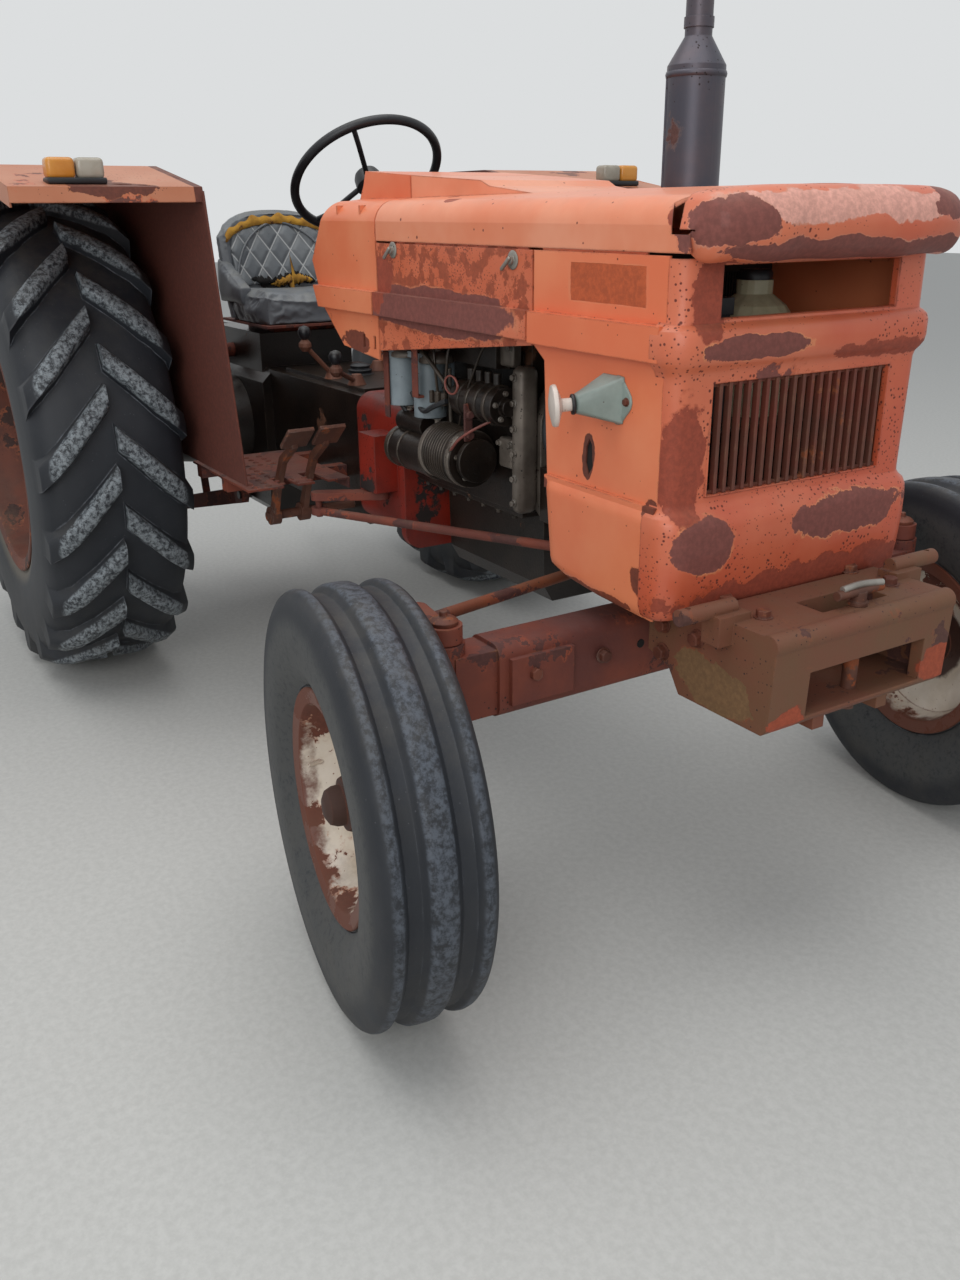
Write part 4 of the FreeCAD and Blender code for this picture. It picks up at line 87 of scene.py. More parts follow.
class Wiring:
    """Adds nodes to one node tree and joins them."""

    def __init__(self, tree: bpy.types.NodeTree) -> None:
        """Keep the tree that the nodes go into."""
        self.tree = tree

    def add(self, kind: str, values: dict | None = None, **settings: object) -> bpy.types.Node:
        """Add a node.

        Args:
            kind: The node's type name.
            values: What each input gets, by its name or number: a socket or a constant.
            settings: The node's own properties.
        Returns:
            The new node.
        """
        node = self.tree.nodes.new(kind)
        for name, value in settings.items():
            setattr(node, name, value)
        for key, value in (values or {}).items():
            self.feed(node.inputs[key], value)
        return node

    def feed(self, socket: Socket, value: object) -> None:
        """Give an input a constant or join it to an output."""
        if isinstance(value, bpy.types.NodeSocket):
            self.tree.links.new(value, socket)
        else:
            socket.default_value = value

    def sum_of(self, operation: str, first: object, second: object, clamp: bool = False) -> Socket:
        """Work out one sum and return its output."""
        return self.add("ShaderNodeMath", {0: first, 1: second}, operation=operation,
                        use_clamp=clamp).outputs[0]

    def plus(self, first: object, second: object) -> Socket:
        """Add two values."""
        return self.sum_of("ADD", first, second)

    def minus(self, first: object, second: object, clamp: bool = False) -> Socket:
        """Take the second value from the first."""
        return self.sum_of("SUBTRACT", first, second, clamp)

    def times(self, first: object, second: object, clamp: bool = False) -> Socket:
        """Multiply two values."""
        return self.sum_of("MULTIPLY", first, second, clamp)

    def most(self, first: object, second: object, clamp: bool = False) -> Socket:
        """Return the greater of two values."""
        return self.sum_of("MAXIMUM", first, second, clamp)

    def vector(self, operation: str, *values: object, output: str = "Vector") -> Socket:
        """Work out one sum of vectors and return its output."""
        return self.add("ShaderNodeVectorMath", dict(enumerate(values)), operation=operation).outputs[output]

    def point(self) -> Socket:
        """Return the shaded point's place on its piece."""
        return self.add("ShaderNodeTexCoord").outputs["Object"]

    def axes(self, vector: object) -> bpy.types.NodeOutputs:
        """Split a vector and return the outputs for its three axes."""
        return self.add("ShaderNodeSeparateXYZ", {0: vector}).outputs

    def span(self, value: object, low: object, high: object, to_low: float = 0.0,
             to_high: float = 1.0) -> Socket:
        """Map a value smoothly from one span to another, held at the ends."""
        return self.add("ShaderNodeMapRange", {0: value, 1: low, 2: high, 3: to_low, 4: to_high},
                        interpolation_type="SMOOTHSTEP").outputs[0]

    def noise(self, vector: object, scale: object, detail: float, rough: float) -> Socket:
        """Add a noise texture and return its strength."""
        return self.add("ShaderNodeTexNoise", {"Vector": vector, "Scale": scale, "Detail": detail,
                                               "Roughness": rough}).outputs["Fac"]

    def blend(self, share: object, first: object, second: object) -> Socket:
        """Mix two colours."""
        return self.add("ShaderNodeMix", {0: share, 6: first, 7: second}, data_type="RGBA").outputs[2]


class Effect(Enum):
    """The shared effects that finishes are put together from."""

    CLOUD = "cloud"
    PATCH = "rust_patch"
    SPECK = "fine_speck"
    EDGE = "worn_edge"
    DIRT = "settled_dirt"
    PLACED = "placed_patch"
    STREAK = "run_down"
    ROUND = "round_axis"
    QUILT = "quilt_lines"


EFFECT_INPUTS: dict[Effect, dict[str, float | Triple]] = {
    Effect.CLOUD: {"Scale": 3.0},
    Effect.PATCH: {"Scale": 4.0, "Cover": 0.2},
    Effect.SPECK: {"Scale": 90.0, "Cover": 0.2},
    Effect.EDGE: {"Amount": 0.5, "Width": 0.006},
    Effect.DIRT: {"Amount": 0.4},
    Effect.PLACED: {"Wobble": 0.5, "Square": 0.0, "Centre": (0.0, 0.0, 0.0), "Size": (0.1, 0.1, 0.1)},
    Effect.STREAK: {"Amount": 0.3},
    Effect.ROUND: {"Low": 0.1, "High": 0.2, "Wobble": 0.0, "Fleck": 0.0, "Centre": (0.0, 0.0, 0.0),
                   "Axis": (0.0, 1.0, 0.0)},
    Effect.QUILT: {"Pitch": 0.06, "Width": 0.08},
}


class Effects:
    """Builds each shared effect once, as a node group with a mask and, for patches, their rim."""

    def __init__(self) -> None:
        """Start with no group built."""
        self.built: dict[Effect, bpy.types.NodeTree] = {}

    def group(self, effect: Effect) -> bpy.types.NodeTree:
        """Return the node group of an effect and build it if it is new.

        Args:
            effect: The effect that is wanted.
        Returns:
            The node group.
        """
        if effect in self.built:
            return self.built[effect]
        tree = bpy.data.node_groups.new(effect.value, "ShaderNodeTree")
        for label, value in {**EFFECT_INPUTS[effect], "Seed": 0.0}.items():
            kind = "NodeSocketVector" if isinstance(value, tuple) else "NodeSocketFloat"
            tree.interface.new_socket(name=label, in_out="INPUT", socket_type=kind).default_value = value
        for label in ("Mask", "Rim"):
            tree.interface.new_socket(name=label, in_out="OUTPUT", socket_type="NodeSocketFloat")
        w = Wiring(tree)
        given = w.add("NodeGroupInput").outputs
        sink = w.add("NodeGroupOutput")
        seed = given["Seed"]
        place = w.vector("ADD", w.point(), w.add("ShaderNodeCombineXYZ",
                                                 {0: seed, 1: seed, 2: seed}).outputs[0])
        for label, value in getattr(self, "_" + effect.value)(w, given, place).items():
            w.feed(sink.inputs[label], value)
        self.built[effect] = tree
        return tree

    def _cloud(self, w: Wiring, given: dict, place: Socket) -> dict[str, Socket]:
        """Slow change over a piece, such as bleaching."""
        return {"Mask": w.span(w.noise(place, given["Scale"], 5.0, 0.6), 0.32, 0.68)}

    def _rust_patch(self, w: Wiring, given: dict, place: Socket) -> dict[str, Socket]:
        """Patches where the paint has come off, with a rim."""
        wide = w.noise(place, given["Scale"], 3.0, 0.5)
        ragged = w.noise(place, w.times(given["Scale"], 9.0), 5.0, 0.65)
        both = w.plus(w.times(wide, 0.78), w.times(ragged, 0.22))
        gate = w.minus(0.76, w.times(given["Cover"], 0.5))
        past = w.plus(gate, 0.012)
        outer = w.span(both, w.minus(gate, 0.03), gate)
        inner = w.span(both, past, w.plus(gate, 0.05))
        return {"Mask": w.span(both, gate, past), "Rim": w.minus(outer, inner, True)}

    def _fine_speck(self, w: Wiring, given: dict, place: Socket) -> dict[str, Socket]:
        """Small dark pits where rust comes through."""
        cells = w.add("ShaderNodeTexVoronoi", {"Vector": place, "Scale": given["Scale"],
                                               "Randomness": 1.0}).outputs
        size = w.add("ShaderNodeSeparateColor", {0: cells["Color"]}).outputs[0]
        chance = w.times(w.span(w.noise(place, 5.0, 3.0, 0.6), 0.3, 0.7), w.times(given["Cover"], 2.0))
        radius = w.plus(0.12, w.times(size, 0.35))
        dot = w.span(cells["Distance"], radius, w.times(radius, 0.55))
        return {"Mask": w.times(dot, w.sum_of("LESS_THAN", size, chance), True)}

    def _worn_edge(self, w: Wiring, given: dict, place: Socket) -> dict[str, Socket]:
        """Edges and corners that rub bare."""
        rounded = w.add("ShaderNodeBevel", {"Radius": given["Width"]}, samples=4).outputs[0]
        flat = w.add("ShaderNodeNewGeometry").outputs["Normal"]
        sharp = w.span(w.minus(1.0, w.vector("DOT_PRODUCT", rounded, flat, output="Value")), 0.02, 0.16)
        broken = w.span(w.noise(place, 26.0, 5.0, 0.7), w.minus(0.78, given["Amount"]), 0.8)
        return {"Mask": w.times(sharp, broken, True)}

    def _settled_dirt(self, w: Wiring, given: dict, place: Socket) -> dict[str, Socket]:
        """Dust on what faces up and mud low down."""
        facing = w.span(w.axes(w.add("ShaderNodeNewGeometry").outputs["Normal"])[2], 0.1, 1.0)
        low = w.span(w.axes(w.point())[2], 0.55, 0.0, 0.0, 0.7)
        broken = w.span(w.noise(place, 14.0, 6.0, 0.7), 0.35, 0.7)
        return {"Mask": w.times(w.times(w.most(facing, low), broken), given["Amount"], True)}

    def _placed_patch(self, w: Wiring, given: dict, place: Socket) -> dict[str, Socket]:
        """A patch at a known place, with a wavy outline, between round and square."""
        scaled = w.vector("DIVIDE", w.vector("SUBTRACT", w.point(), given["Centre"]), given["Size"])
        sides = w.axes(w.vector("ABSOLUTE", scaled))
        square = w.most(w.most(sides[0], sides[1]), sides[2])
        far = w.add("ShaderNodeMix", {0: given["Square"], 2: w.vector("LENGTH", scaled, output="Value"),
                                      3: square}).outputs[0]
        wave = w.minus(w.noise(place, 9.0, 6.0, 0.62), 0.5)
        reach = w.plus(far, w.times(wave, w.times(given["Wobble"], 6.0)))
        rim = w.minus(w.span(reach, 1.09, 1.0), w.span(reach, 0.97, 0.9), True)
        return {"Mask": w.span(reach, 1.0, 0.97), "Rim": rim}

    def _run_down(self, w: Wiring, given: dict, place: Socket) -> dict[str, Socket]:
        """Stains that run down an upright face."""
        lines = w.noise(w.vector("MULTIPLY", place, (34.0, 34.0, 2.2)), 1.0, 4.0, 0.6)
        gate = w.minus(0.78, w.times(given["Amount"], 0.4))
        return {"Mask": w.span(lines, gate, w.plus(gate, 0.16))}

    def _round_axis(self, w: Wiring, given: dict, place: Socket) -> dict[str, Socket]:
        """Wear by the distance from an axle, such as worn tread or a rusted rim edge."""
        turned = w.vector("CROSS_PRODUCT", w.vector("SUBTRACT", w.point(), given["Centre"]), given["Axis"])
        wave = w.minus(w.noise(place, 16.0, 6.0, 0.65), 0.5)
        reach = w.plus(w.vector("LENGTH", turned, output="Value"), w.times(wave, given["Wobble"]))
        kept = w.span(w.noise(place, 75.0, 8.0, 0.78), w.minus(given["Fleck"], 0.1),
                      w.plus(given["Fleck"], 0.1))
        return {"Mask": w.times(w.span(reach, given["Low"], given["High"]), kept, True)}

    def _quilt_lines(self, w: Wiring, given: dict, place: Socket) -> dict[str, Socket]:
        """Stitched lines that cross in diamonds."""
        sides = w.axes(w.point())
        tall = w.times(sides[2], 0.72)
        lines = []
        for kind in ("ADD", "SUBTRACT"):
            slant = w.sum_of("DIVIDE", w.sum_of(kind, tall, sides[1]), given["Pitch"])
            near = w.sum_of("PINGPONG", slant, 0.5)
            lines.append(w.span(near, given["Width"], w.times(given["Width"], 0.4)))
        return {"Mask": w.most(lines[0], lines[1], True)}


EFFECTS = Effects()


@dataclass(frozen=True)
class Patch:
    """A patch at a known place on a piece, in metres: mostly worn paint, but painted shade on the fenders'
    inner walls and a painted highlight along the top of the nose's brow.
    """

    centre: Triple
    size: Triple
    colour: str = "55302a"
    wobble: float = 0.5
    rim: str = "d98a63"
    square: float = 0.0


@dataclass(frozen=True)
class Ring:
    """Wear round an axle, from one distance to another, in metres."""

    centre: Triple
    axis: Triple
    low: float
    high: float
    colour: str
    wobble: float = 0.0
    fleck: float = 0.0


MIXED: dict["Finish", bpy.types.Material] = {}


@dataclass(frozen=True)
class Finish:
    """One surface finish and its wear."""

    name: str
    base: str
    aged: str
    cloud_scale: float = 2.5
    patch: str = "4a2a22"
    patch_cover: float = 0.0
    patch_scale: float = 5.0
    rim: str = "a85a34"
    speck: str = "3a2019"
    speck_cover: float = 0.0
    speck_scale: float = 110.0
    edge: str = "5a3426"
    edge_amount: float = 0.0
    dirt: str = "8a7f6c"
    dirt_amount: float = 0.0
    streak: str = "5a3022"
    streak_amount: float = 0.0
    roughness: float = 0.5
    bare_roughness: float = 0.8
    metallic: float = 0.0
    coat: float = 0.0
    grain_scale: float = 160.0
    grain_depth: float = 0.15
    soften: float = 0.003
    placed: tuple[Patch, ...] = ()
    rings: tuple[Ring, ...] = ()
    quilt: str = ""
    seed: float = 0.0
    slot: str = ""

    def material(self) -> bpy.types.Material:
        """Return the finish as a material, built from the shared effects.

        Returns:
            The material with its nodes.
        """
        if self in MIXED:
            return MIXED[self]
        made = bpy.data.materials.new("finish_" + self.name)
        MIXED[self] = made
        made.use_nodes = True
        made.node_tree.nodes.clear()
        w = Wiring(made.node_tree)
        cloud = self._effect(w, Effect.CLOUD, {"Scale": self.cloud_scale, "Seed": self.seed})["Mask"]
        colour = w.blend(cloud, tone(self.base), tone(self.aged))
        worn: object = 0.0
        if self.streak_amount > 0:
            mask = self._effect(w, Effect.STREAK, {"Amount": self.streak_amount,
                                                   "Seed": self.seed + 3.1})["Mask"]
            colour = w.blend(mask, colour, tone(self.streak))
        if self.speck_cover > 0:
            mask = self._effect(w, Effect.SPECK, {"Scale": self.speck_scale, "Cover": self.speck_cover,
                                                  "Seed": self.seed + 1.7})["Mask"]
            colour = w.blend(mask, colour, tone(self.speck))
            worn = mask
        if self.patch_cover > 0:
            masks = self._effect(w, Effect.PATCH, {"Scale": self.patch_scale, "Cover": self.patch_cover,
                                                   "Seed": self.seed + 5.3})
            colour = self._lay_patch(w, masks, colour, self.patch, self.rim)
            worn = w.most(worn, masks["Mask"])
        # Placed patches: mostly worn paint, plus painted shade on the fenders' inner walls and a painted
        # highlight on the brow's top.
        for index, patch in enumerate(self.placed):
            masks = self._effect(w, Effect.PLACED, {"Wobble": patch.wobble, "Seed": self.seed + index * 2.3,
                                                    "Centre": patch.centre, "Size": patch.size,
                                                    "Square": patch.square})
            colour = self._lay_patch(w, masks, colour, patch.colour, patch.rim)
            worn = w.most(worn, masks["Mask"])
        for index, ring in enumerate(self.rings):
            mask = self._effect(w, Effect.ROUND, {"Low": ring.low, "High": ring.high, "Wobble": ring.wobble,
                                                  "Fleck": ring.fleck, "Centre": ring.centre,
                                                  "Axis": ring.axis,
                                                  "Seed": self.seed + index * 1.9})["Mask"]
            colour = w.blend(mask, colour, tone(ring.colour))
        if self.quilt:
            mask = self._effect(w, Effect.QUILT, {"Pitch": 0.074, "Width": 0.045})["Mask"]
            colour = w.blend(mask, colour, tone(self.quilt))
        if self.edge_amount > 0:
            mask = self._effect(w, Effect.EDGE, {"Amount": self.edge_amount, "Seed": self.seed})["Mask"]
            colour = w.blend(mask, colour, tone(self.edge))
            worn = w.most(worn, mask)
        if self.dirt_amount > 0:
            mask = self._effect(w, Effect.DIRT, {"Amount": self.dirt_amount, "Seed": self.seed + 9.0})["Mask"]
            colour = w.blend(mask, colour, tone(self.dirt))
        place = w.point()
        grain = w.noise(place, self.grain_scale, 4.0, 0.6)
        rough = w.span(w.plus(worn, w.times(w.minus(grain, 0.5), 0.5)),
                       0.0, 1.0, self.roughness, self.bare_roughness)
        height = w.minus(w.times(grain, self.grain_depth), w.times(worn, 0.35))
        rounded = w.add("ShaderNodeBevel", {"Radius": self.soften}, samples=4).outputs[0]
        bump = w.add("ShaderNodeBump", {"Strength": 0.55, "Distance": 0.0015, "Height": height,
                                        "Normal": rounded})
        shader = w.add("ShaderNodeBsdfPrincipled", {"Base Color": colour, "Roughness": rough,
                                                    "Metallic": self.metallic, "Coat Weight": self.coat,
                                                    "Normal": bump.outputs[0]})
        w.feed(w.add("ShaderNodeOutputMaterial").inputs["Surface"], shader.outputs[0])
        return made

    def _effect(self, w: Wiring, effect: Effect, values: dict) -> dict:
        """Place a shared effect with this finish's values and return its outputs."""
        node = w.add("ShaderNodeGroup", node_tree=EFFECTS.group(effect))
        for label, value in values.items():
            w.feed(node.inputs[label], value)
        return node.outputs

    def _lay_patch(self, w: Wiring, masks: dict, under: object, bare: str, rim: str) -> Socket:
        """Lay a patch with its rim over a colour: mostly bare metal, but also the painted shade and painted
        highlight of some placed patches.
        """
        place = w.point()
        mottle = w.span(w.noise(place, 95.0, 6.0, 0.7), 0.35, 0.7)
        inside = w.blend(mottle, tone(bare), tuple(min(1.0, c * 1.4) for c in tone(bare)[:3]) + (1.0,))
        broken = w.span(w.noise(place, 16.0, 3.0, 0.6), 0.42, 0.62, 0.1, 0.8)
        rimmed = w.blend(w.times(masks["Rim"], broken), under, tone(rim))
        return w.blend(masks["Mask"], rimmed, inside)


def variant(finish: Finish, name: str, **changes: object) -> Finish:
    """Make a finish from another one whose material slot it shares."""
    return replace(finish, name=name, slot=finish.name, **changes)


def spot(x: float, y: float, z: float, size: Triple, colour: str = "553029", wobble: float = 0.5,
         rim: str = "cf7a50", square: float = 0.0) -> Patch:
    """Make a placed patch at a place measured from the rear axle, in metres: mostly worn paint, a few of them
    painted shade and painted highlight.
    """
    return Patch((x + REAR_AXLE_X, y, z), size, colour, wobble, rim, square)


PAINT = Finish("orange_paint", "d56a42", "e0845c", cloud_scale=2.2, patch="5a332a", patch_cover=0.16,
               patch_scale=6.0, rim="b5532c", speck_cover=0.16, speck_scale=150, edge="6b3a2a",
               edge_amount=0.45, dirt="b3856a", dirt_amount=0.2, streak="b4552f", streak_amount=0.14,
               roughness=0.42, coat=0.1, seed=1.0)
RUSTED = Finish("rusted_red_paint", "7c3b28", "5a2d26", cloud_scale=4.0, patch="4b2a25", patch_cover=0.45,
                patch_scale=9.0, rim="94462a", speck_cover=0.3, speck="2e1b18", edge="8f5a3a",
                edge_amount=0.3, dirt="6e5242", dirt_amount=0.5, streak="8c4526", streak_amount=0.3,
                roughness=0.72, grain_depth=0.6, seed=2.0)
OILY = Finish("oily_iron", "17120f", "2a201a", cloud_scale=7.0, patch="5d3d2a", patch_cover=0.2,
              patch_scale=9.0, rim="3d2a1e", speck_cover=0.25, speck="080706", edge="5d544b",
              edge_amount=0.4, dirt="3e3228", dirt_amount=0.55, roughness=0.32, bare_roughness=0.75,
              metallic=0.15, grain_depth=0.7, seed=3.0)
RED_CAST = Finish("red_casting", "8f2515", "6a2016", cloud_scale=6.0, patch="201513", patch_cover=0.35,
                  patch_scale=8.0, rim="552018", speck_cover=0.3, speck="150d0c", edge="4d352b",
                  edge_amount=0.4, dirt="35261d", dirt_amount=0.65, roughness=0.45, grain_depth=0.7,
                  seed=4.0)
STEEL = Finish("bare_steel", "6f4635", "56362b", cloud_scale=9.0, patch="84472a", patch_cover=0.3,
               patch_scale=14.0, rim="8f5a3c", speck_cover=0.2, edge="84746a", edge_amount=0.35,
               dirt="5f4a3c", dirt_amount=0.3, roughness=0.6, metallic=0.25, grain_depth=0.5, seed=5.0)
ALLOY = Finish("light_alloy", "7b7167", "554c44", cloud_scale=9.0, patch="35291f", patch_cover=0.35,
               patch_scale=12.0, rim="5f5348", speck_cover=0.3, speck="1d1815", edge="a9a49b",
               edge_amount=0.4, dirt="2c241d", dirt_amount=0.6, roughness=0.42, metallic=0.35,
               grain_depth=0.4, seed=6.0)
FAN = Finish("fan_steel", "191513", "2b2420", patch="553524", patch_cover=0.2, speck_cover=0.2, edge="6a6058",
             edge_amount=0.3, dirt="3d3228", dirt_amount=0.4, roughness=0.45, metallic=0.2, seed=7.0)
FILTER = Finish("filter_paint", "8c979c", "6c7579", cloud_scale=8.0, patch="3e342b", patch_cover=0.25,
                patch_scale=12.0, rim="7a7066", speck_cover=0.25, edge="4a4540", edge_amount=0.3,
                dirt="4a4035", dirt_amount=0.45, streak="3f352c", streak_amount=0.35, roughness=0.4,
                seed=8.0)
RADIATOR = Finish("radiator_metal", "171413", "28221f", patch="4d3628", patch_cover=0.2, dirt="4d3f32",
                  dirt_amount=0.5, roughness=0.6, metallic=0.2, seed=9.0)
BLACK = Finish("black_plastic", "111216", "1e2024", cloud_scale=7.0, edge="4a4b4d", edge_amount=0.3,
               dirt="4c473e", dirt_amount=0.3, speck_cover=0.1, speck="56524b", roughness=0.42, seed=10.0)
COLUMN = Finish("column_paint", "211a17", "3a2a21", patch="5a3424", patch_cover=0.25, edge="6d5a4c",
                edge_amount=0.3, dirt="453729", dirt_amount=0.3, roughness=0.5, seed=11.0)
CREAM = Finish("cream_plastic", "c9c3a2", "aaa486", cloud_scale=8.0, dirt="756c56", dirt_amount=0.5,
               speck_cover=0.1, speck="5d5646", roughness=0.35, grain_depth=0.06, seed=12.0)
EXHAUST = Finish("exhaust_steel", "484a54", "5b5257", cloud_scale=5.0, patch="5b4440", patch_cover=0.28,
                 patch_scale=6.0, rim="6f5f5c", speck_cover=0.3, speck="332b2b", edge="8c8a88",
                 edge_amount=0.3, streak="60463e", streak_amount=0.3, roughness=0.42, metallic=0.5,
                 seed=13.0)
FRONT_RIM = Finish("front_rim_paint", "ddd3c6", "c9bba7", cloud_scale=6.0, patch="5b3023", patch_cover=0.46,
                   patch_scale=8.0, rim="a5603a", speck_cover=0.25, speck="7a4a30", edge="6b3724",
                   edge_amount=0.7, dirt="5d4433", dirt_amount=0.35, streak="8b4d30", streak_amount=0.25,
                   roughness=0.5, seed=14.0)
REAR_RIM = Finish("rear_rim_paint", "6b3522", "4d2a20", cloud_scale=5.0, patch="38241f", patch_cover=0.4,
                  patch_scale=6.0, rim="9a5432", speck_cover=0.3, edge="8a5a3c", edge_amount=0.4,
                  dirt="6c5645", dirt_amount=0.35, roughness=0.7, grain_depth=0.5, seed=15.0)
RUBBER = Finish("tyre_rubber", "171b22", "22252b", cloud_scale=6.0, speck_cover=0.14, speck="45464a",
                edge="70757c", edge_amount=0.4, dirt="544f46", dirt_amount=0.35, roughness=0.6,
                grain_scale=240.0, grain_depth=0.35, seed=16.0)
VINYL = Finish("seat_vinyl", "55595e", "6b6f73", cloud_scale=6.0, speck_cover=0.1, speck="2c2e30",
               edge="96999a", edge_amount=0.35, dirt="8a8574", dirt_amount=0.3, roughness=0.46,
               grain_scale=320.0, grain_depth=0.3, seed=17.0)
LAMP = Finish("lamp_plastic", "c07a28", "cd8c3a", cloud_scale=12.0, dirt="6e5a40", dirt_amount=0.35,
              edge="5d4428", edge_amount=0.3, roughness=0.22, grain_depth=0.05, seed=18.0)
LAMP_GREY = replace(FILTER, name="lamp_grey", slot="lamp_plastic", base="8f9b93", aged="77837c",
                    patch_cover=0.08, patch="6b5a4c", streak="6c6558", streak_amount=0.16, dirt="6f6a60",
                    seed=20.0)
LAMP_WHITE = replace(CREAM, name="lamp_white", slot="lamp_plastic", base="e3d9cf", aged="d0c2b6", seed=21.0)
LAMP_CLEAR = replace(CREAM, name="lamp_clear", slot="lamp_plastic", base="a9a294", aged="8a8172",
                     roughness=0.18, seed=22.0)
RUST_BOLT = variant(STEEL, "rust_bolt", base="7a4330", aged="552d22", seed=23.0)
BRIGHT = replace(ALLOY, name="bright_steel", slot="bare_steel", base="aaa69e", aged="857f76", metallic=0.6,
                 patch_cover=0.12, dirt_amount=0.2, seed=24.0)
OILY_STEEL = variant(OILY, "oily_steel", base="4a4037", aged="201a16", metallic=0.35, seed=25.0)
# Near-black painted shade for the inside of holes and gaps.
HOLE_SHADE = Finish("painted_hole_shade", "0d0a09", "15100e", roughness=0.9, seed=26.0, slot="rusted_red_paint")
WIRE_RED = variant(RED_CAST, "wire_red", base="8a4a40", aged="6c342c", patch_cover=0.1, seed=27.0)
QUILTED = variant(VINYL, "quilted_vinyl", base="5d6266", aged="777b7d", quilt="b0b2b0", seed=28.0)
FOAM = Finish("torn_foam", "b98a2e", "8f6426", cloud_scale=20.0, patch="5c3a1c", patch_cover=0.3,
              patch_scale=30.0, rim="a5762c", roughness=0.95, grain_scale=120.0, grain_depth=1.0, seed=29.0,
              slot="seat_vinyl")

FINISHES: dict[str, Finish] = {finish.name: finish for finish in (PAINT, RUSTED, OILY, RED_CAST, STEEL,
                                                                  ALLOY, FAN, FILTER, RADIATOR, BLACK,
                                                                  COLUMN, CREAM, EXHAUST, FRONT_RIM,
                                                                  REAR_RIM, RUBBER, VINYL, LAMP)}

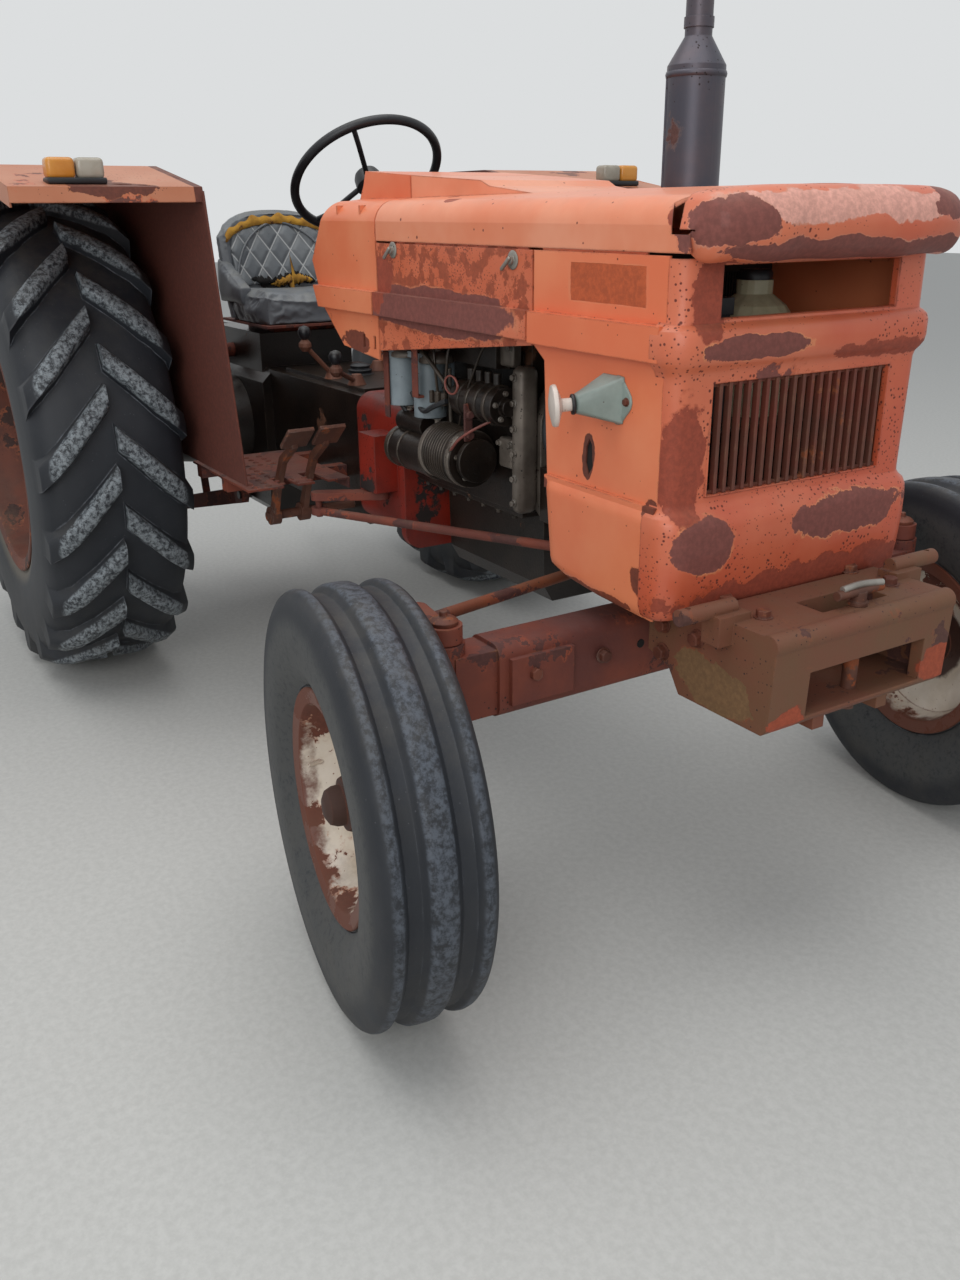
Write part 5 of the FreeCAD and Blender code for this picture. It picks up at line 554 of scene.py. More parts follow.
PURPLE = "713e36"
BROWN = "8a3d29"
SPECIAL: dict[str, Finish] = {
    "nose_mask": variant(
        PAINT, "nose_paint_and_brow_highlight", base="c4583a", aged="d27350", speck_cover=0.75, speck="6a2c1e",
        speck_scale=130, patch=PURPLE, patch_cover=0.22, seed=31.0, placed=(
            # The first patch, pale pink along the top of the rolled brow, is a painted highlight.
            spot(2.46, 0.02, 1.415, (0.09, 0.30, 0.026), "c58f80", 0.4, "c98b74"),
            spot(2.385, -0.27, 1.02, (0.06, 0.045, 0.12), BROWN, 0.45, "a84a2c"),
            spot(2.405, 0.05, 0.755, (0.08, 0.33, 0.035), BROWN, 0.5, "a84a2c"),
            spot(2.40, -0.235, 0.864, (0.09, 0.078, 0.058), PURPLE, 0.22, "d98a5c"),
            spot(2.40, 0.13, 0.872, (0.09, 0.165, 0.045), PURPLE, 0.34, "d98a5c"),
            spot(2.40, -0.14, 1.195, (0.06, 0.11, 0.022), PURPLE, 0.3, "d98a5c"),
            spot(2.39, 0.2, 1.17, (0.06, 0.16, 0.02), BROWN, 0.5, "a84a2c"),
            spot(2.39, -0.24, 1.28, (0.06, 0.04, 0.07), BROWN, 0.4, "a84a2c"),
            spot(2.46, 0.0, 1.345, (0.07, 0.31, 0.022), PURPLE, 0.35, "c78a72"),
            spot(2.46, -0.26, 1.39, (0.08, 0.07, 0.035), PURPLE, 0.4, "c78a72"),
            spot(2.44, 0.24, 1.42, (0.08, 0.06, 0.03), PURPLE, 0.4, "c78a72"))),
    "bonnet_top": variant(
        PAINT, "bonnet_paint", base="da7a52", aged="e59876", patch_cover=0.1, seed=32.0,
        speck="6a3527", speck_cover=0.22, speck_scale=55, edge_amount=0.6, placed=(
            spot(2.42, -0.29, 1.40, (0.07, 0.05, 0.06), PURPLE, 0.4, "b4563a"),
            spot(2.40, 0.29, 1.42, (0.06, 0.05, 0.04), PURPLE, 0.4, "b4563a"),
            spot(2.36, -0.30, 1.40, (0.02, 0.03, 0.012), BROWN, 0.5, "b85a38"),
            spot(1.62, -0.26, 1.43, (0.02, 0.012, 0.01), BROWN, 0.5, "b85a38"),
            spot(1.52, -0.20, 1.44, (0.014, 0.012, 0.01), BROWN, 0.5, "b85a38"))),
    "side_panels": variant(
        PAINT, "panel_paint", base="c35c37", aged="d27350", speck_cover=1.0, speck="5a271c",
        speck_scale=190, patch="8f4329", patch_cover=0.5, patch_scale=24.0, seed=33.0, placed=(
            spot(1.60, -0.31, 1.205, (0.33, 0.05, 0.05), PURPLE, 0.12, "d0805c", 0.35),
            spot(1.60, 0.31, 1.205, (0.30, 0.05, 0.045), PURPLE, 0.15, "d0805c", 0.3),
            spot(1.36, -0.31, 1.25, (0.05, 0.05, 0.06), BROWN, 0.5, "b85a38"))),
    "nose_sides": variant(
        PAINT, "nose_side_paint", base="dd6f45", aged="e6875c", patch_cover=0.05,
        speck="6a3322", speck_cover=0.16, speck_scale=70, seed=34.0, placed=(
            spot(2.197, -0.305, 1.290, (0.105, 0.03, 0.033), "a64c27", 0.03, "d98058", 1.0),
            spot(2.157, -0.305, 0.985, (0.017, 0.03, 0.04), "5a2c1e", 0.3, "8f4326"),
            spot(2.325, -0.305, 0.795, (0.025, 0.03, 0.03), "6a3322", 0.4, "b0532e"),
            spot(2.02, -0.305, 0.905, (0.03, 0.03, 0.02), "6a3322", 0.5, "b0532e"),
            spot(2.34, -0.305, 0.925, (0.02, 0.03, 0.02), "6a3322", 0.5, "b0532e"),
            spot(2.16, -0.305, 0.735, (0.2, 0.03, 0.014), "7a3a24", 0.5, "b85a34"),
            spot(2.157, 0.305, 0.985, (0.02, 0.03, 0.045), "5a2c1e", 0.3, "8f4326"))),
    "rear_cowl": variant(
        PAINT, "cowl_paint", base="db6f46", aged="e58c63", patch_cover=0.1, seed=35.0,
        speck="6a3527", speck_cover=0.18, speck_scale=60, placed=(
            spot(1.20, -0.31, 1.11, (0.09, 0.05, 0.028), "6a3322", 0.5, "b85a34"),
            spot(1.06, 0.0, 1.15, (0.05, 0.30, 0.03), "6a3322", 0.5, "b85a34"))),
    "fenders": variant(
        PAINT, "fender_paint_and_wall_shade", base="ae6b4a", aged="bd8466", patch_cover=0.35, patch_scale=5.0,
        speck_cover=0.35, streak_amount=0.3, roughness=0.6, seed=36.0, placed=(
            # The two large square patches on the inner walls are rusty red-brown with painted shade on top of
            # it.
            spot(0.2, -0.53, 1.0, (1.3, 0.028, 0.6), "54281d", 0.05, "7a3c28", 1.0),
            spot(0.2, 0.53, 1.0, (1.3, 0.028, 0.6), "54281d", 0.05, "7a3c28", 1.0),
            spot(0.84, -0.75, 1.468, (0.05, 0.11, 0.02), "5a2d20", 0.5, "b0683c"),
            spot(0.84, 0.75, 1.468, (0.05, 0.11, 0.02), "5a2d20", 0.5, "b0683c"))),
    "front_weight_frame": variant(
        RUSTED, "weight_frame_rust", base="74422f", aged="6b4a32", patch="4e3029",
        patch_cover=0.3, rim="7d4a30", dirt_amount=0.3, seed=37.0, placed=(
            spot(2.44, -0.235, 0.61, (0.09, 0.02, 0.05), "6c5034", 0.5, "8a4a2c"),
            spot(2.59, -0.19, 0.585, (0.03, 0.045, 0.03), "8f4128", 0.5, "7a3c28"),
            spot(2.59, 0.2, 0.6, (0.03, 0.045, 0.04), "8f4128", 0.5, "7a3c28"))),
    "axle_beam": variant(RUSTED, "axle_rust", patch_cover=0.35, dirt="5b403c", seed=38.0),
    "tie_rod_right": variant(RUSTED, "tie_rod_rust", base="8a4a2c", aged="6e3e2c", seed=39.0),
    "relay_lever": variant(RUSTED, "lever_rust", base="7a4433", seed=40.0),
    "grille": variant(STEEL, "grille_steel", base="71372a", aged="5f3a2e", edge="8f6a50",
                      patch_cover=0.25, seed=41.0),
}


def at(x: float, y: float, z: float) -> Vector:
    """Turn a place measured from the rear axle into the frame, in metres."""
    return Vector((x + REAR_AXLE_X, y, z))


class Workshop:
    """Makes and shapes meshes with the operators that a modeller uses by hand."""

    def clear(self) -> None:
        """Leave edit mode with nothing selected."""
        if bpy.context.object is not None and bpy.context.object.mode != "OBJECT":
            bpy.ops.object.mode_set(mode="OBJECT")
        bpy.ops.object.select_all(action="DESELECT")

    def pick(self, piece: Piece) -> None:
        """Select one piece and make it the active one."""
        self.clear()
        piece.select_set(True)
        bpy.context.view_layer.objects.active = piece

    def edit(self) -> None:
        """Enter edit mode with everything selected."""
        bpy.ops.object.mode_set(mode="EDIT")
        bpy.ops.mesh.select_all(action="SELECT")

    def fix(self) -> None:
        """Write the selected piece's place, turn and size into its mesh."""
        bpy.ops.object.transform_apply(location=True, rotation=True, scale=True)

    def named(self, name: str) -> Piece:
        """Name the piece that an operator has just made and return it."""
        piece = bpy.context.active_object
        piece.name = name
        return piece

    def settle(self, piece: Piece, smooth_deg: float = 35.0) -> Piece:
        """Merge doubles, turn the faces outward and shade the piece.

        Args:
            piece: The mesh to finish.
            smooth_deg: Edges flatter than this look smooth.
        Returns:
            The same piece.
        """
        self.pick(piece)
        self.edit()
        bpy.ops.mesh.remove_doubles(threshold=MERGE)
        bpy.ops.mesh.normals_make_consistent(inside=False)
        bpy.ops.object.mode_set(mode="OBJECT")
        self.fix()
        bpy.ops.object.shade_smooth_by_angle(angle=radians(smooth_deg))
        return piece

    def modify(self, piece: Piece, kind: str, **settings: object) -> None:
        """Add a modifier with its settings and apply it."""
        self.pick(piece)
        modifier = piece.modifiers.new(kind.lower(), kind)
        for name, value in settings.items():
            setattr(modifier, name, value)
        bpy.ops.object.modifier_apply(modifier=modifier.name)

    def box(self, name: str, low: Vector, high: Vector, round_by: float = 0.002, segments: int = 2) -> Piece:
        """Make a block between two corners with rounded edges.

        Args:
            name: The piece's name.
            low: Lowest corner.
            high: Highest corner.
            round_by: Radius of its edges.
            segments: Steps round each edge.
        Returns:
            The block.
        """
        self.clear()
        bpy.ops.mesh.primitive_cube_add(size=1.0, location=(low + high) / 2)
        piece = self.named(name)
        piece.scale = high - low
        self.fix()
        if round_by > 0:
            self.edit()
            bpy.ops.mesh.bevel(offset=round_by, segments=segments, affect="EDGES")
        return self.settle(piece)

    def aim(self, piece: Piece, start: Vector, direction: Vector) -> None:
        """Turn a piece whose length runs along Z to a direction and put its origin at a start."""
        self.pick(piece)
        turn = direction.normalized().to_track_quat("Z", "Y").to_matrix().to_4x4()
        piece.matrix_world = Matrix.Translation(start) @ turn
        self.fix()

    def turned(self, name: str, profile: list[tuple[float, float]], start: Vector, direction: Vector,
               steps: int = 48, smooth_deg: float = 35.0) -> Piece:
        """Spin a closed profile round an axis.

        Args:
            name: The piece's name.
            profile: Radius and distance along the axis of each corner.
            start: Where the axis starts.
            direction: Where the axis points.
            steps: Steps round the axis.
            smooth_deg: Edges flatter than this look smooth.
        Returns:
            The turned piece.
        """
        self.clear()
        bpy.ops.mesh.primitive_circle_add(vertices=len(profile), radius=0.1)
        piece = self.named(name)
        for vertex, (radius, along) in zip(piece.data.vertices, profile):
            vertex.co = (radius, 0.0, along)
        self.edit()
        bpy.ops.mesh.spin(steps=steps, angle=2.0 * pi, center=(0.0, 0.0, 0.0), axis=(0.0, 0.0, 1.0))
        bpy.ops.mesh.select_all(action="SELECT")
        bpy.ops.mesh.remove_doubles(threshold=MERGE)
        bpy.ops.mesh.delete_loose()
        self.aim(self.out(piece), start, direction)
        return self.settle(piece, smooth_deg)

    def out(self, piece: Piece) -> Piece:
        """Leave edit mode and return the piece."""
        bpy.ops.object.mode_set(mode="OBJECT")
        return piece

    def rod(self, name: str, start: Vector, end: Vector, radius: float, sides: int = 20,
            end_radius: float | None = None) -> Piece:
        """Make a round bar or cone between two points with eased ends."""
        long = (end - start).length
        last = radius if end_radius is None else end_radius
        ease = min(radius, last, long) * 0.18
        profile = [(0.0, 0.0), (radius - ease, 0.0), (radius, ease), (last, long - ease),
                   (last - ease, long), (0.0, long)]
        return self.turned(name, profile, start, end - start, sides)

    def bolt(self, name: str, place: Vector, direction: Vector, across: float = 0.017,
             height: float = 0.009) -> Piece:
        """Make a six-sided bolt head on a round washer."""
        washer = self.turned(name, [(0.0, 0.0), (across * 0.72, 0.0), (across * 0.72, 0.0022),
                                    (0.0, 0.0022)], place, direction, 18)
        self.clear()
        bpy.ops.mesh.primitive_cylinder_add(vertices=6, radius=across / sqrt(3), depth=height,
                                            location=(0.0, 0.0, height / 2 + 0.002))
        head = bpy.context.active_object
        self.fix()
        self.edit()
        bpy.ops.mesh.bevel(offset=across * 0.05, segments=1, affect="EDGES")
        self.aim(self.out(head), place, direction)
        return self.joined(name, [washer, head])

    def joined(self, name: str, pieces: list[Piece]) -> Piece:
        """Join pieces into one and name it."""
        self.clear()
        for piece in pieces:
            piece.select_set(True)
        bpy.context.view_layer.objects.active = pieces[0]
        if len(pieces) > 1:
            bpy.ops.object.join()
        pieces[0].name = name
        return pieces[0]

    def pipe(self, name: str, points: list[Vector], radius: float, sides: int = 3) -> Piece:
        """Make a round pipe along a smooth line through points.

        Args:
            name: The piece's name.
            points: The line's control points.
            radius: The pipe's radius.
            sides: Steps round each quarter of the pipe.
        Returns:
            The pipe as a mesh.
        """
        self.clear()
        bpy.ops.curve.primitive_nurbs_path_add()
        piece = self.named(name)
        curve = piece.data
        curve.splines.clear()
        spline = curve.splines.new("NURBS")
        spline.points.add(len(points) - 1)
        for knot, point in zip(spline.points, points):
            knot.co = (point.x, point.y, point.z, 1.0)
        spline.order_u = 3
        spline.use_endpoint_u = True
        spline.resolution_u = 8
        curve.dimensions = "3D"
        curve.bevel_depth = radius
        curve.bevel_resolution = sides
        curve.use_fill_caps = True
        piece.location = (0.0, 0.0, 0.0)
        self.pick(piece)
        bpy.ops.object.convert(target="MESH")
        made = bpy.context.active_object
        made.name = name
        return self.settle(made, 60.0)

    def sheet(self, name: str, across: int, along: int, shape: Callable[[float, float], Vector],
              thickness: float = 0.0, smooth_deg: float = 50.0) -> Piece:
        """Make a curved sheet from a grid.

        Args:
            name: The piece's name.
            across: Squares one way.
            along: Squares the other way.
            shape: Gives the place of a point from its two shares, 0 to 1.
            thickness: The sheet's thickness, 0 for a bare surface.
            smooth_deg: Edges flatter than this look smooth.
        Returns:
            The sheet.
        """
        self.clear()
        bpy.ops.mesh.primitive_grid_add(x_subdivisions=across, y_subdivisions=along, size=2.0)
        piece = self.named(name)
        for vertex in piece.data.vertices:
            vertex.co = shape((vertex.co.x + 1.0) / 2.0, (vertex.co.y + 1.0) / 2.0)
        if thickness > 0:
            self.modify(piece, "SOLIDIFY", thickness=thickness, offset=0.0, use_even_offset=True)
        return self.settle(piece, smooth_deg)

    def solid(self, name: str, cuts: int, shape: Callable[[Vector], Vector],
              smooth_deg: float = 50.0) -> Piece:
        """Make a closed form from a cube that is cut up and pulled into shape.

        Args:
            name: The piece's name.
            cuts: Cuts along each edge.
            shape: Gives the new place of a point of the cube, whose corners are at -1 and 1.
            smooth_deg: Edges flatter than this look smooth.
        Returns:
            The solid.
        """
        self.clear()
        bpy.ops.mesh.primitive_cube_add(size=2.0)
        piece = self.named(name)
        self.edit()
        bpy.ops.mesh.subdivide(number_cuts=cuts)
        bpy.ops.object.mode_set(mode="OBJECT")
        for vertex in piece.data.vertices:
            vertex.co = shape(vertex.co.copy())
        return self.settle(piece, smooth_deg)

    def copy_of(self, piece: Piece, move: Matrix) -> Piece:
        """Return a copy of a piece with its own mesh, moved."""
        twin = piece.copy()
        twin.data = piece.data.copy()
        bpy.context.scene.collection.objects.link(twin)
        twin.data.transform(move)
        if move.determinant() < 0:
            twin.data.flip_normals()
        return twin

    def fit(self, name: str, pieces: list[Piece], finish: Finish, body: str = "tractor",
            replaced: tuple[str, ...] = ()) -> Piece:
        """Join pieces into one, then give it its finish and the body that it rides on."""
        return self.place(self.joined(name, pieces), finish, body, replaced)

    def place(self, piece: Piece, finish: Finish, body: str = "tractor",
              replaced: tuple[str, ...] = ()) -> Piece:
        """Give a finished piece its finish and the body that it rides on.

        Args:
            piece: The piece.
            finish: Its finish.
            body: The body that it rides on.
            replaced: The solids that it stands for.
        Returns:
            The same piece.
        """
        piece.data.materials.clear()
        piece.data.materials.append(finish.material())
        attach(piece, body)
        if replaced:
            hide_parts(*replaced)
        log.info("made %s in %s on %s", piece.name, finish.name, body)
        return piece


SHOP = Workshop()
MIRROR_Y = Matrix.Diagonal((1.0, -1.0, 1.0, 1.0))


@dataclass
class RearTyres:
    """The two lugged rear tyres."""

    radius: float = REAR_RADIUS
    width: float = 0.417
    lug_height: float = 0.034
    bead: float = 0.382
    flange: float = 0.409
    half_track: float = REAR_HALF_TRACK
    lugs: int = 20
    top_width: float = 0.036
    foot_width: float = 0.056

    def build(self) -> None:
        """Make both tyres from one carcass and one lug."""
        half = self.width / 2
        crown = self.radius - self.lug_height
        outer = [(self.bead, 0.186), (self.bead + 0.012, 0.1925), (self.flange, 0.188),
                 (self.flange + 0.012, 0.196), (self.flange + 0.05, half * 0.985),
                 (self.radius * 0.72, half), (self.radius * 0.80, half * 0.995),
                 (crown - 0.062, half * 0.965), (crown - 0.034, half * 0.9), (crown - 0.012, half * 0.72),
                 (crown - 0.003, half * 0.4)]
        inner = [(crown - 0.03, -half * 0.5), (crown - 0.03, half * 0.5), (crown - 0.07, half * 0.86),
                 (self.flange + 0.02, half * 0.86)]
        profile = outer + [(radius, -along) for radius, along in reversed(outer)]
        profile += [(self.flange + 0.02, -half * 0.86), (crown - 0.07, -half * 0.86)] + inner
        hub = Vector((REAR_AXLE_X, 0.0, self.radius))
        carcass = SHOP.turned("rear_tyre_right_tread", profile, hub, Vector((0.0, 1.0, 0.0)), 120, 50.0)
        lug = SHOP.solid("lug", 4, self._lug_point, 62.0)
        pieces = [carcass]
        pitch = 2.0 * pi / self.lugs
        for index in range(self.lugs):
            for side in (-1.0, 1.0):
                turn = index * pitch + (pitch / 2 if side > 0 else 0.0)
                move = Matrix.Translation(hub) @ Matrix.Rotation(-turn, 4,
                                                                 "Y") @ Matrix.Diagonal((1.0, side, 1.0,
                                                                                         1.0))
                pieces.append(SHOP.copy_of(lug, move))
        bpy.data.objects.remove(lug)
        right = SHOP.joined("rear_tyre_right_tread", pieces)
        right.data.transform(Matrix.Translation((0.0, -self.half_track, 0.0)))
        left = SHOP.copy_of(right, MIRROR_Y)
        left.name = "rear_tyre_left_tread"
        SHOP.place(right, self._finish("right", -1.0), "rear_wheel_right", ("rear_tyre_right",))
        SHOP.place(left, self._finish("left", 1.0), "rear_wheel_left", ("rear_tyre_left",))

    def _finish(self, word: str, side: float) -> Finish:
        """Return the rubber of one tyre, with its lugs' tops worn pale."""
        hub = (REAR_AXLE_X, side * self.half_track, self.radius)
        axle = (0.0, 1.0, 0.0)
        crown = self.radius - self.lug_height
        tops = Ring(hub, axle, crown + 0.006, crown + 0.014, "838a8e", 0.004, 0.5)
        shoulder = Ring(hub, axle, self.flange + 0.05, self.flange, "5b5449", 0.02, 0.3)
        return variant(RUBBER, "rear_rubber_" + word, rings=(shoulder, tops))

    def _lug_point(self, corner: Vector) -> Vector:
        """Give the place on one lug of a point of the cube; x runs across, y along and z out."""
        half = self.width / 2
        share = (corner.y + 1.0) / 2.0
        along = 0.004 + share * (half * 0.975 - 0.004)
        angle = -radians(11.5 * min(share / 0.66, 1.0) + 5.2 * max(0.0, (share - 0.66) / 0.34))
        drop = 0.0 if share < 0.5 else 0.038 * ((share - 0.5) / 0.5) ** 2.2
        foot = self.radius - self.lug_height - 0.012 - 2.1 * drop
        tip = self.radius - drop
        height = (corner.z + 1.0) / 2.0
        rounded = 1.0 - 0.06 * max(0.0, corner.z) * corner.x * corner.x
        radius = foot + (tip - foot) * height * rounded
        width = self.foot_width + (self.top_width - self.foot_width) * height
        width *= 1.0 + 0.16 * share
        spread = corner.x * width / 2 / cos(radians(49.0)) / radius
        return Vector((radius * cos(angle + spread), along, radius * sin(angle + spread)))


@dataclass
class FrontTyres:
    """The two ribbed front tyres, which stand steered a little to the right."""

    radius: float = 0.403
    half: float = 0.1025
    bead: float = 0.205
    flange: float = 0.225
    steer_deg: float = -8.6
    kingpin_x: float = 2.160
    kingpin_y: float = 0.617
    reach: float = 0.160

    def hub(self, side: float) -> tuple[Vector, Vector]:
        """Return the middle of the wheel and its axle's direction, outward, for a side of -1 or 1."""
        turn = Matrix.Rotation(radians(self.steer_deg), 3, "Z")
        out = turn @ Vector((0.0, side, 0.0))
        return at(self.kingpin_x, side * self.kingpin_y, self.radius) + out * self.reach, out

    def build(self) -> None:
        """Make both tyres, the near one with plain ribs and the far one with shoulder blocks."""
        r, half = self.radius, self.half
        side = [(self.bead, 0.0705), (self.bead + 0.01, 0.0722), (self.flange, 0.0722),
                (self.flange + 0.008, 0.078), (r * 0.66, half * 0.965), (r * 0.76, half), (r * 0.84, half),
                (r * 0.855, half * 0.985), (r - 0.038, half * 0.975), (r - 0.020, half * 0.93),
                (r - 0.009, half * 0.865), (r - 0.0045, half * 0.80), (r - 0.003, half * 0.73),
                (r - 0.004, half * 0.665), (r - 0.0085, half * 0.61), (r - 0.0150, half * 0.56),
                (r - 0.0165, half * 0.50), (r - 0.0170, half * 0.42), (r - 0.0160, half * 0.33),
                (r - 0.0105, half * 0.265), (r - 0.0035, half * 0.215), (r - 0.0008, half * 0.17),
                (r, half * 0.09), (r, 0.0)]
        wall = [(r - 0.032, -half * 0.6), (r - 0.032, half * 0.6), (r * 0.76, half * 0.86),
                (self.flange + 0.02, half * 0.72)]
        profile = side + [(radius, -along) for radius, along in reversed(side[:-1])]
        profile += [(self.flange + 0.02, -half * 0.72), (r * 0.76, -half * 0.86)] + wall
        for word, sign in SIDES:
            hub, out = self.hub(sign)
            name = "front_tyre_" + word
            tyre = SHOP.turned(name + "_tread", profile, hub, out, 120, 28.0)
            if sign > 0:
                block = SHOP.solid("block", 2, self._block_point, 40.0)
                blocks = [tyre]
                aim = Matrix.Translation(hub) @ out.to_track_quat("Y", "Z").to_matrix().to_4x4()
                for index in range(44):
                    for flip in (-1.0, 1.0):
                        turn = Matrix.Rotation(2 * pi * (index + (0.5 if flip > 0 else 0.0)) / 44, 4, "Y")
                        blocks.append(SHOP.copy_of(block, aim @ turn @ Matrix.Diagonal((1.0, flip, 1.0,
                                                                                        1.0))))
                bpy.data.objects.remove(block)
                tyre = SHOP.joined(name + "_tread", blocks)
            tops = Ring(tuple(hub), tuple(out), r - 0.0085, r - 0.0025, "4c525b", 0.004, 0.5)
            wall = Ring(tuple(hub), tuple(out), r * 0.9, r * 0.8, "3e3f3f", 0.03, 0.42)
            finish = variant(RUBBER, "front_rubber_" + word, seed=19.0, rings=(wall, tops))
            SHOP.place(tyre, finish, "front_wheel_" + word, (name,))

    def _block_point(self, corner: Vector) -> Vector:
        """Give the place on one shoulder block of a point of the cube."""
        half, r = self.half, self.radius
        share = (corner.y + 1.0) / 2.0
        along = half * (0.66 + 0.25 * share)
        drop = 0.004 + 0.018 * share * share
        radius = r - drop - (0.014 if corner.z < 0 else 0.0)
        angle = corner.x * 0.0135 / r
        return Vector((radius * cos(angle), along, radius * sin(angle)))


@dataclass
class FrontRims:
    """The dished front rims with their rolled flanges, nuts and hub caps."""

    bead: float = 0.2045
    flange: float = 0.222
    width: float = 0.156

    def build(self) -> None:
        """Make both rims."""
        tyres = FrontTyres()
        out = self.width / 2
        seat = self.bead - 0.0005
        half = [(self.flange, out - 0.006), (self.flange + 0.0005, out - 0.002),
                (self.flange - 0.002, out + 0.0005), (self.flange - 0.008, out),
                (seat - 0.012, out - 0.004), (seat - 0.016, out - 0.012), (seat - 0.018, out - 0.03),
                (seat - 0.026, out - 0.05), (seat - 0.03, 0.0)]
        back = [(seat - 0.024, 0.0), (seat - 0.02, out - 0.046), (seat, out - 0.03), (seat, out - 0.008)]
        ring = half + [(r, -a) for r, a in reversed(half[:-1])]
        ring += [(r, -a) for r, a in reversed(back[1:])] + back
        dish = [(0.046, 0.004), (0.088, 0.006), (0.1, 0.004), (0.118, -0.008), (0.148, -0.016),
                (seat - 0.0245, -0.018), (seat - 0.0245, -0.023), (0.146, -0.021), (0.114, -0.013),
                (0.098, -0.001), (0.088, 0.001), (0.046, -0.001)]
        cap = [(0.0, 0.08), (0.02, 0.079), (0.032, 0.072), (0.037, 0.06), (0.038, 0.046), (0.049, 0.043),
               (0.052, 0.036), (0.052, -0.05), (0.0245, -0.05), (0.0245, 0.046), (0.0, 0.046)]
        for word, sign in SIDES:
            hub, axis = tyres.hub(sign)
            name = "front_rim_" + word
            pieces = [SHOP.turned(name + "_wheel", ring, hub, axis, 96),
                      SHOP.turned("dish", dish, hub, axis, 72), SHOP.turned("cap", cap, hub, axis, 36)]
            across = axis.cross(UP).normalized()
            for index in range(6):
                turn = index * pi / 3 + 0.3
                nut = hub + 0.078 * (cos(turn) * across + sin(turn) * UP) + axis * 0.0055
                pieces.append(SHOP.bolt("nut", nut, axis, 0.021, 0.014))
            stem = hub + across * (seat - 0.022) + axis * 0.03
            pieces.append(SHOP.rod("stem", stem, stem + axis * 0.03 - across * 0.008, 0.004, 12))
            edge = Ring(tuple(hub), tuple(axis), 0.183, 0.192, "623525", 0.03, 0.0)
            middle = Ring(tuple(hub), tuple(axis), 0.1, 0.086, "3f2820", 0.05, 0.0)
            finish = variant(FRONT_RIM, "front_rim_" + word, rings=(edge, middle))
            SHOP.fit(name + "_wheel", pieces, finish, "front_wheel_" + word, (name,))


@dataclass
class RearRims:
    """The deep rear rims with bolted dishes and hubs."""

    bead: float = 0.3815
    flange: float = 0.405
    width: float = 0.392
    half_track: float = REAR_HALF_TRACK

    def build(self) -> None:
        """Make both rims."""
        out = self.width / 2
        seat = self.bead - 0.0005
        half = [(self.flange, out - 0.006), (self.flange + 0.001, out - 0.002),
                (self.flange - 0.003, out + 0.0005), (self.flange - 0.012, out),
                (seat - 0.014, out - 0.006), (seat - 0.018, out - 0.02), (seat - 0.02, out - 0.07),
                (seat - 0.034, out - 0.09), (seat - 0.036, 0.0)]
        back = [(seat - 0.028, 0.0), (seat - 0.026, out - 0.085), (seat, out - 0.06), (seat, out - 0.008)]
        ring = half + [(r, -a) for r, a in reversed(half[:-1])]
        ring += [(r, -a) for r, a in reversed(back[1:])] + back
        dish = [(0.112, 0.066), (0.15, 0.068), (0.17, 0.062), (0.24, 0.036), (0.3, 0.016),
                (seat - 0.034, 0.014), (seat - 0.034, 0.006), (0.298, 0.008), (0.238, 0.027),
                (0.168, 0.053), (0.15, 0.059), (0.112, 0.058)]
        hub_cap = [(0.0, 0.012), (0.055, 0.01), (0.066, 0.014), (0.074, 0.026), (0.08, 0.056), (0.116, 0.058),
                   (0.118, 0.064), (0.118, 0.12), (0.06, 0.124), (0.046, 0.2), (0.0, 0.2)]
        centre = Vector((REAR_AXLE_X, -self.half_track, REAR_RADIUS))
        inward = Vector((0.0, 1.0, 0.0))
        pieces = [SHOP.turned("rear_rim_right_wheel", ring, centre, inward, 112),
                  SHOP.turned("dish", dish, centre, inward, 80), SHOP.turned("hub", hub_cap, centre, inward,
                                                                             40)]
        for index in range(8):
            turn = index * pi / 4
            nut = centre + Vector((0.133 * cos(turn), 0.058, 0.133 * sin(turn)))
            pieces.append(SHOP.bolt("nut", nut, -inward, 0.03, 0.02))
            foot = centre + Vector((0.335 * cos(turn + 0.2), 0.009, 0.335 * sin(turn + 0.2)))
            lug = SHOP.box("lug", Vector((-0.035, -0.006, -0.02)), Vector((0.035, 0.02, 0.02)), 0.004)
            lug.data.transform(Matrix.Translation(foot) @ Matrix.Rotation(-(turn + 0.2) + pi / 2, 4, "Y"))
            pieces.append(lug)
            pieces.append(SHOP.bolt("nut", foot + Vector((0.0, -0.006, 0.0)), -inward, 0.024, 0.014))
        right = SHOP.joined("rear_rim_right_wheel", pieces)
        left = SHOP.copy_of(right, MIRROR_Y)
        left.name = "rear_rim_left_wheel"
        SHOP.place(right, REAR_RIM, "rear_wheel_right", ("rear_rim_right",))
        SHOP.place(left, REAR_RIM, "rear_wheel_left", ("rear_rim_left",))


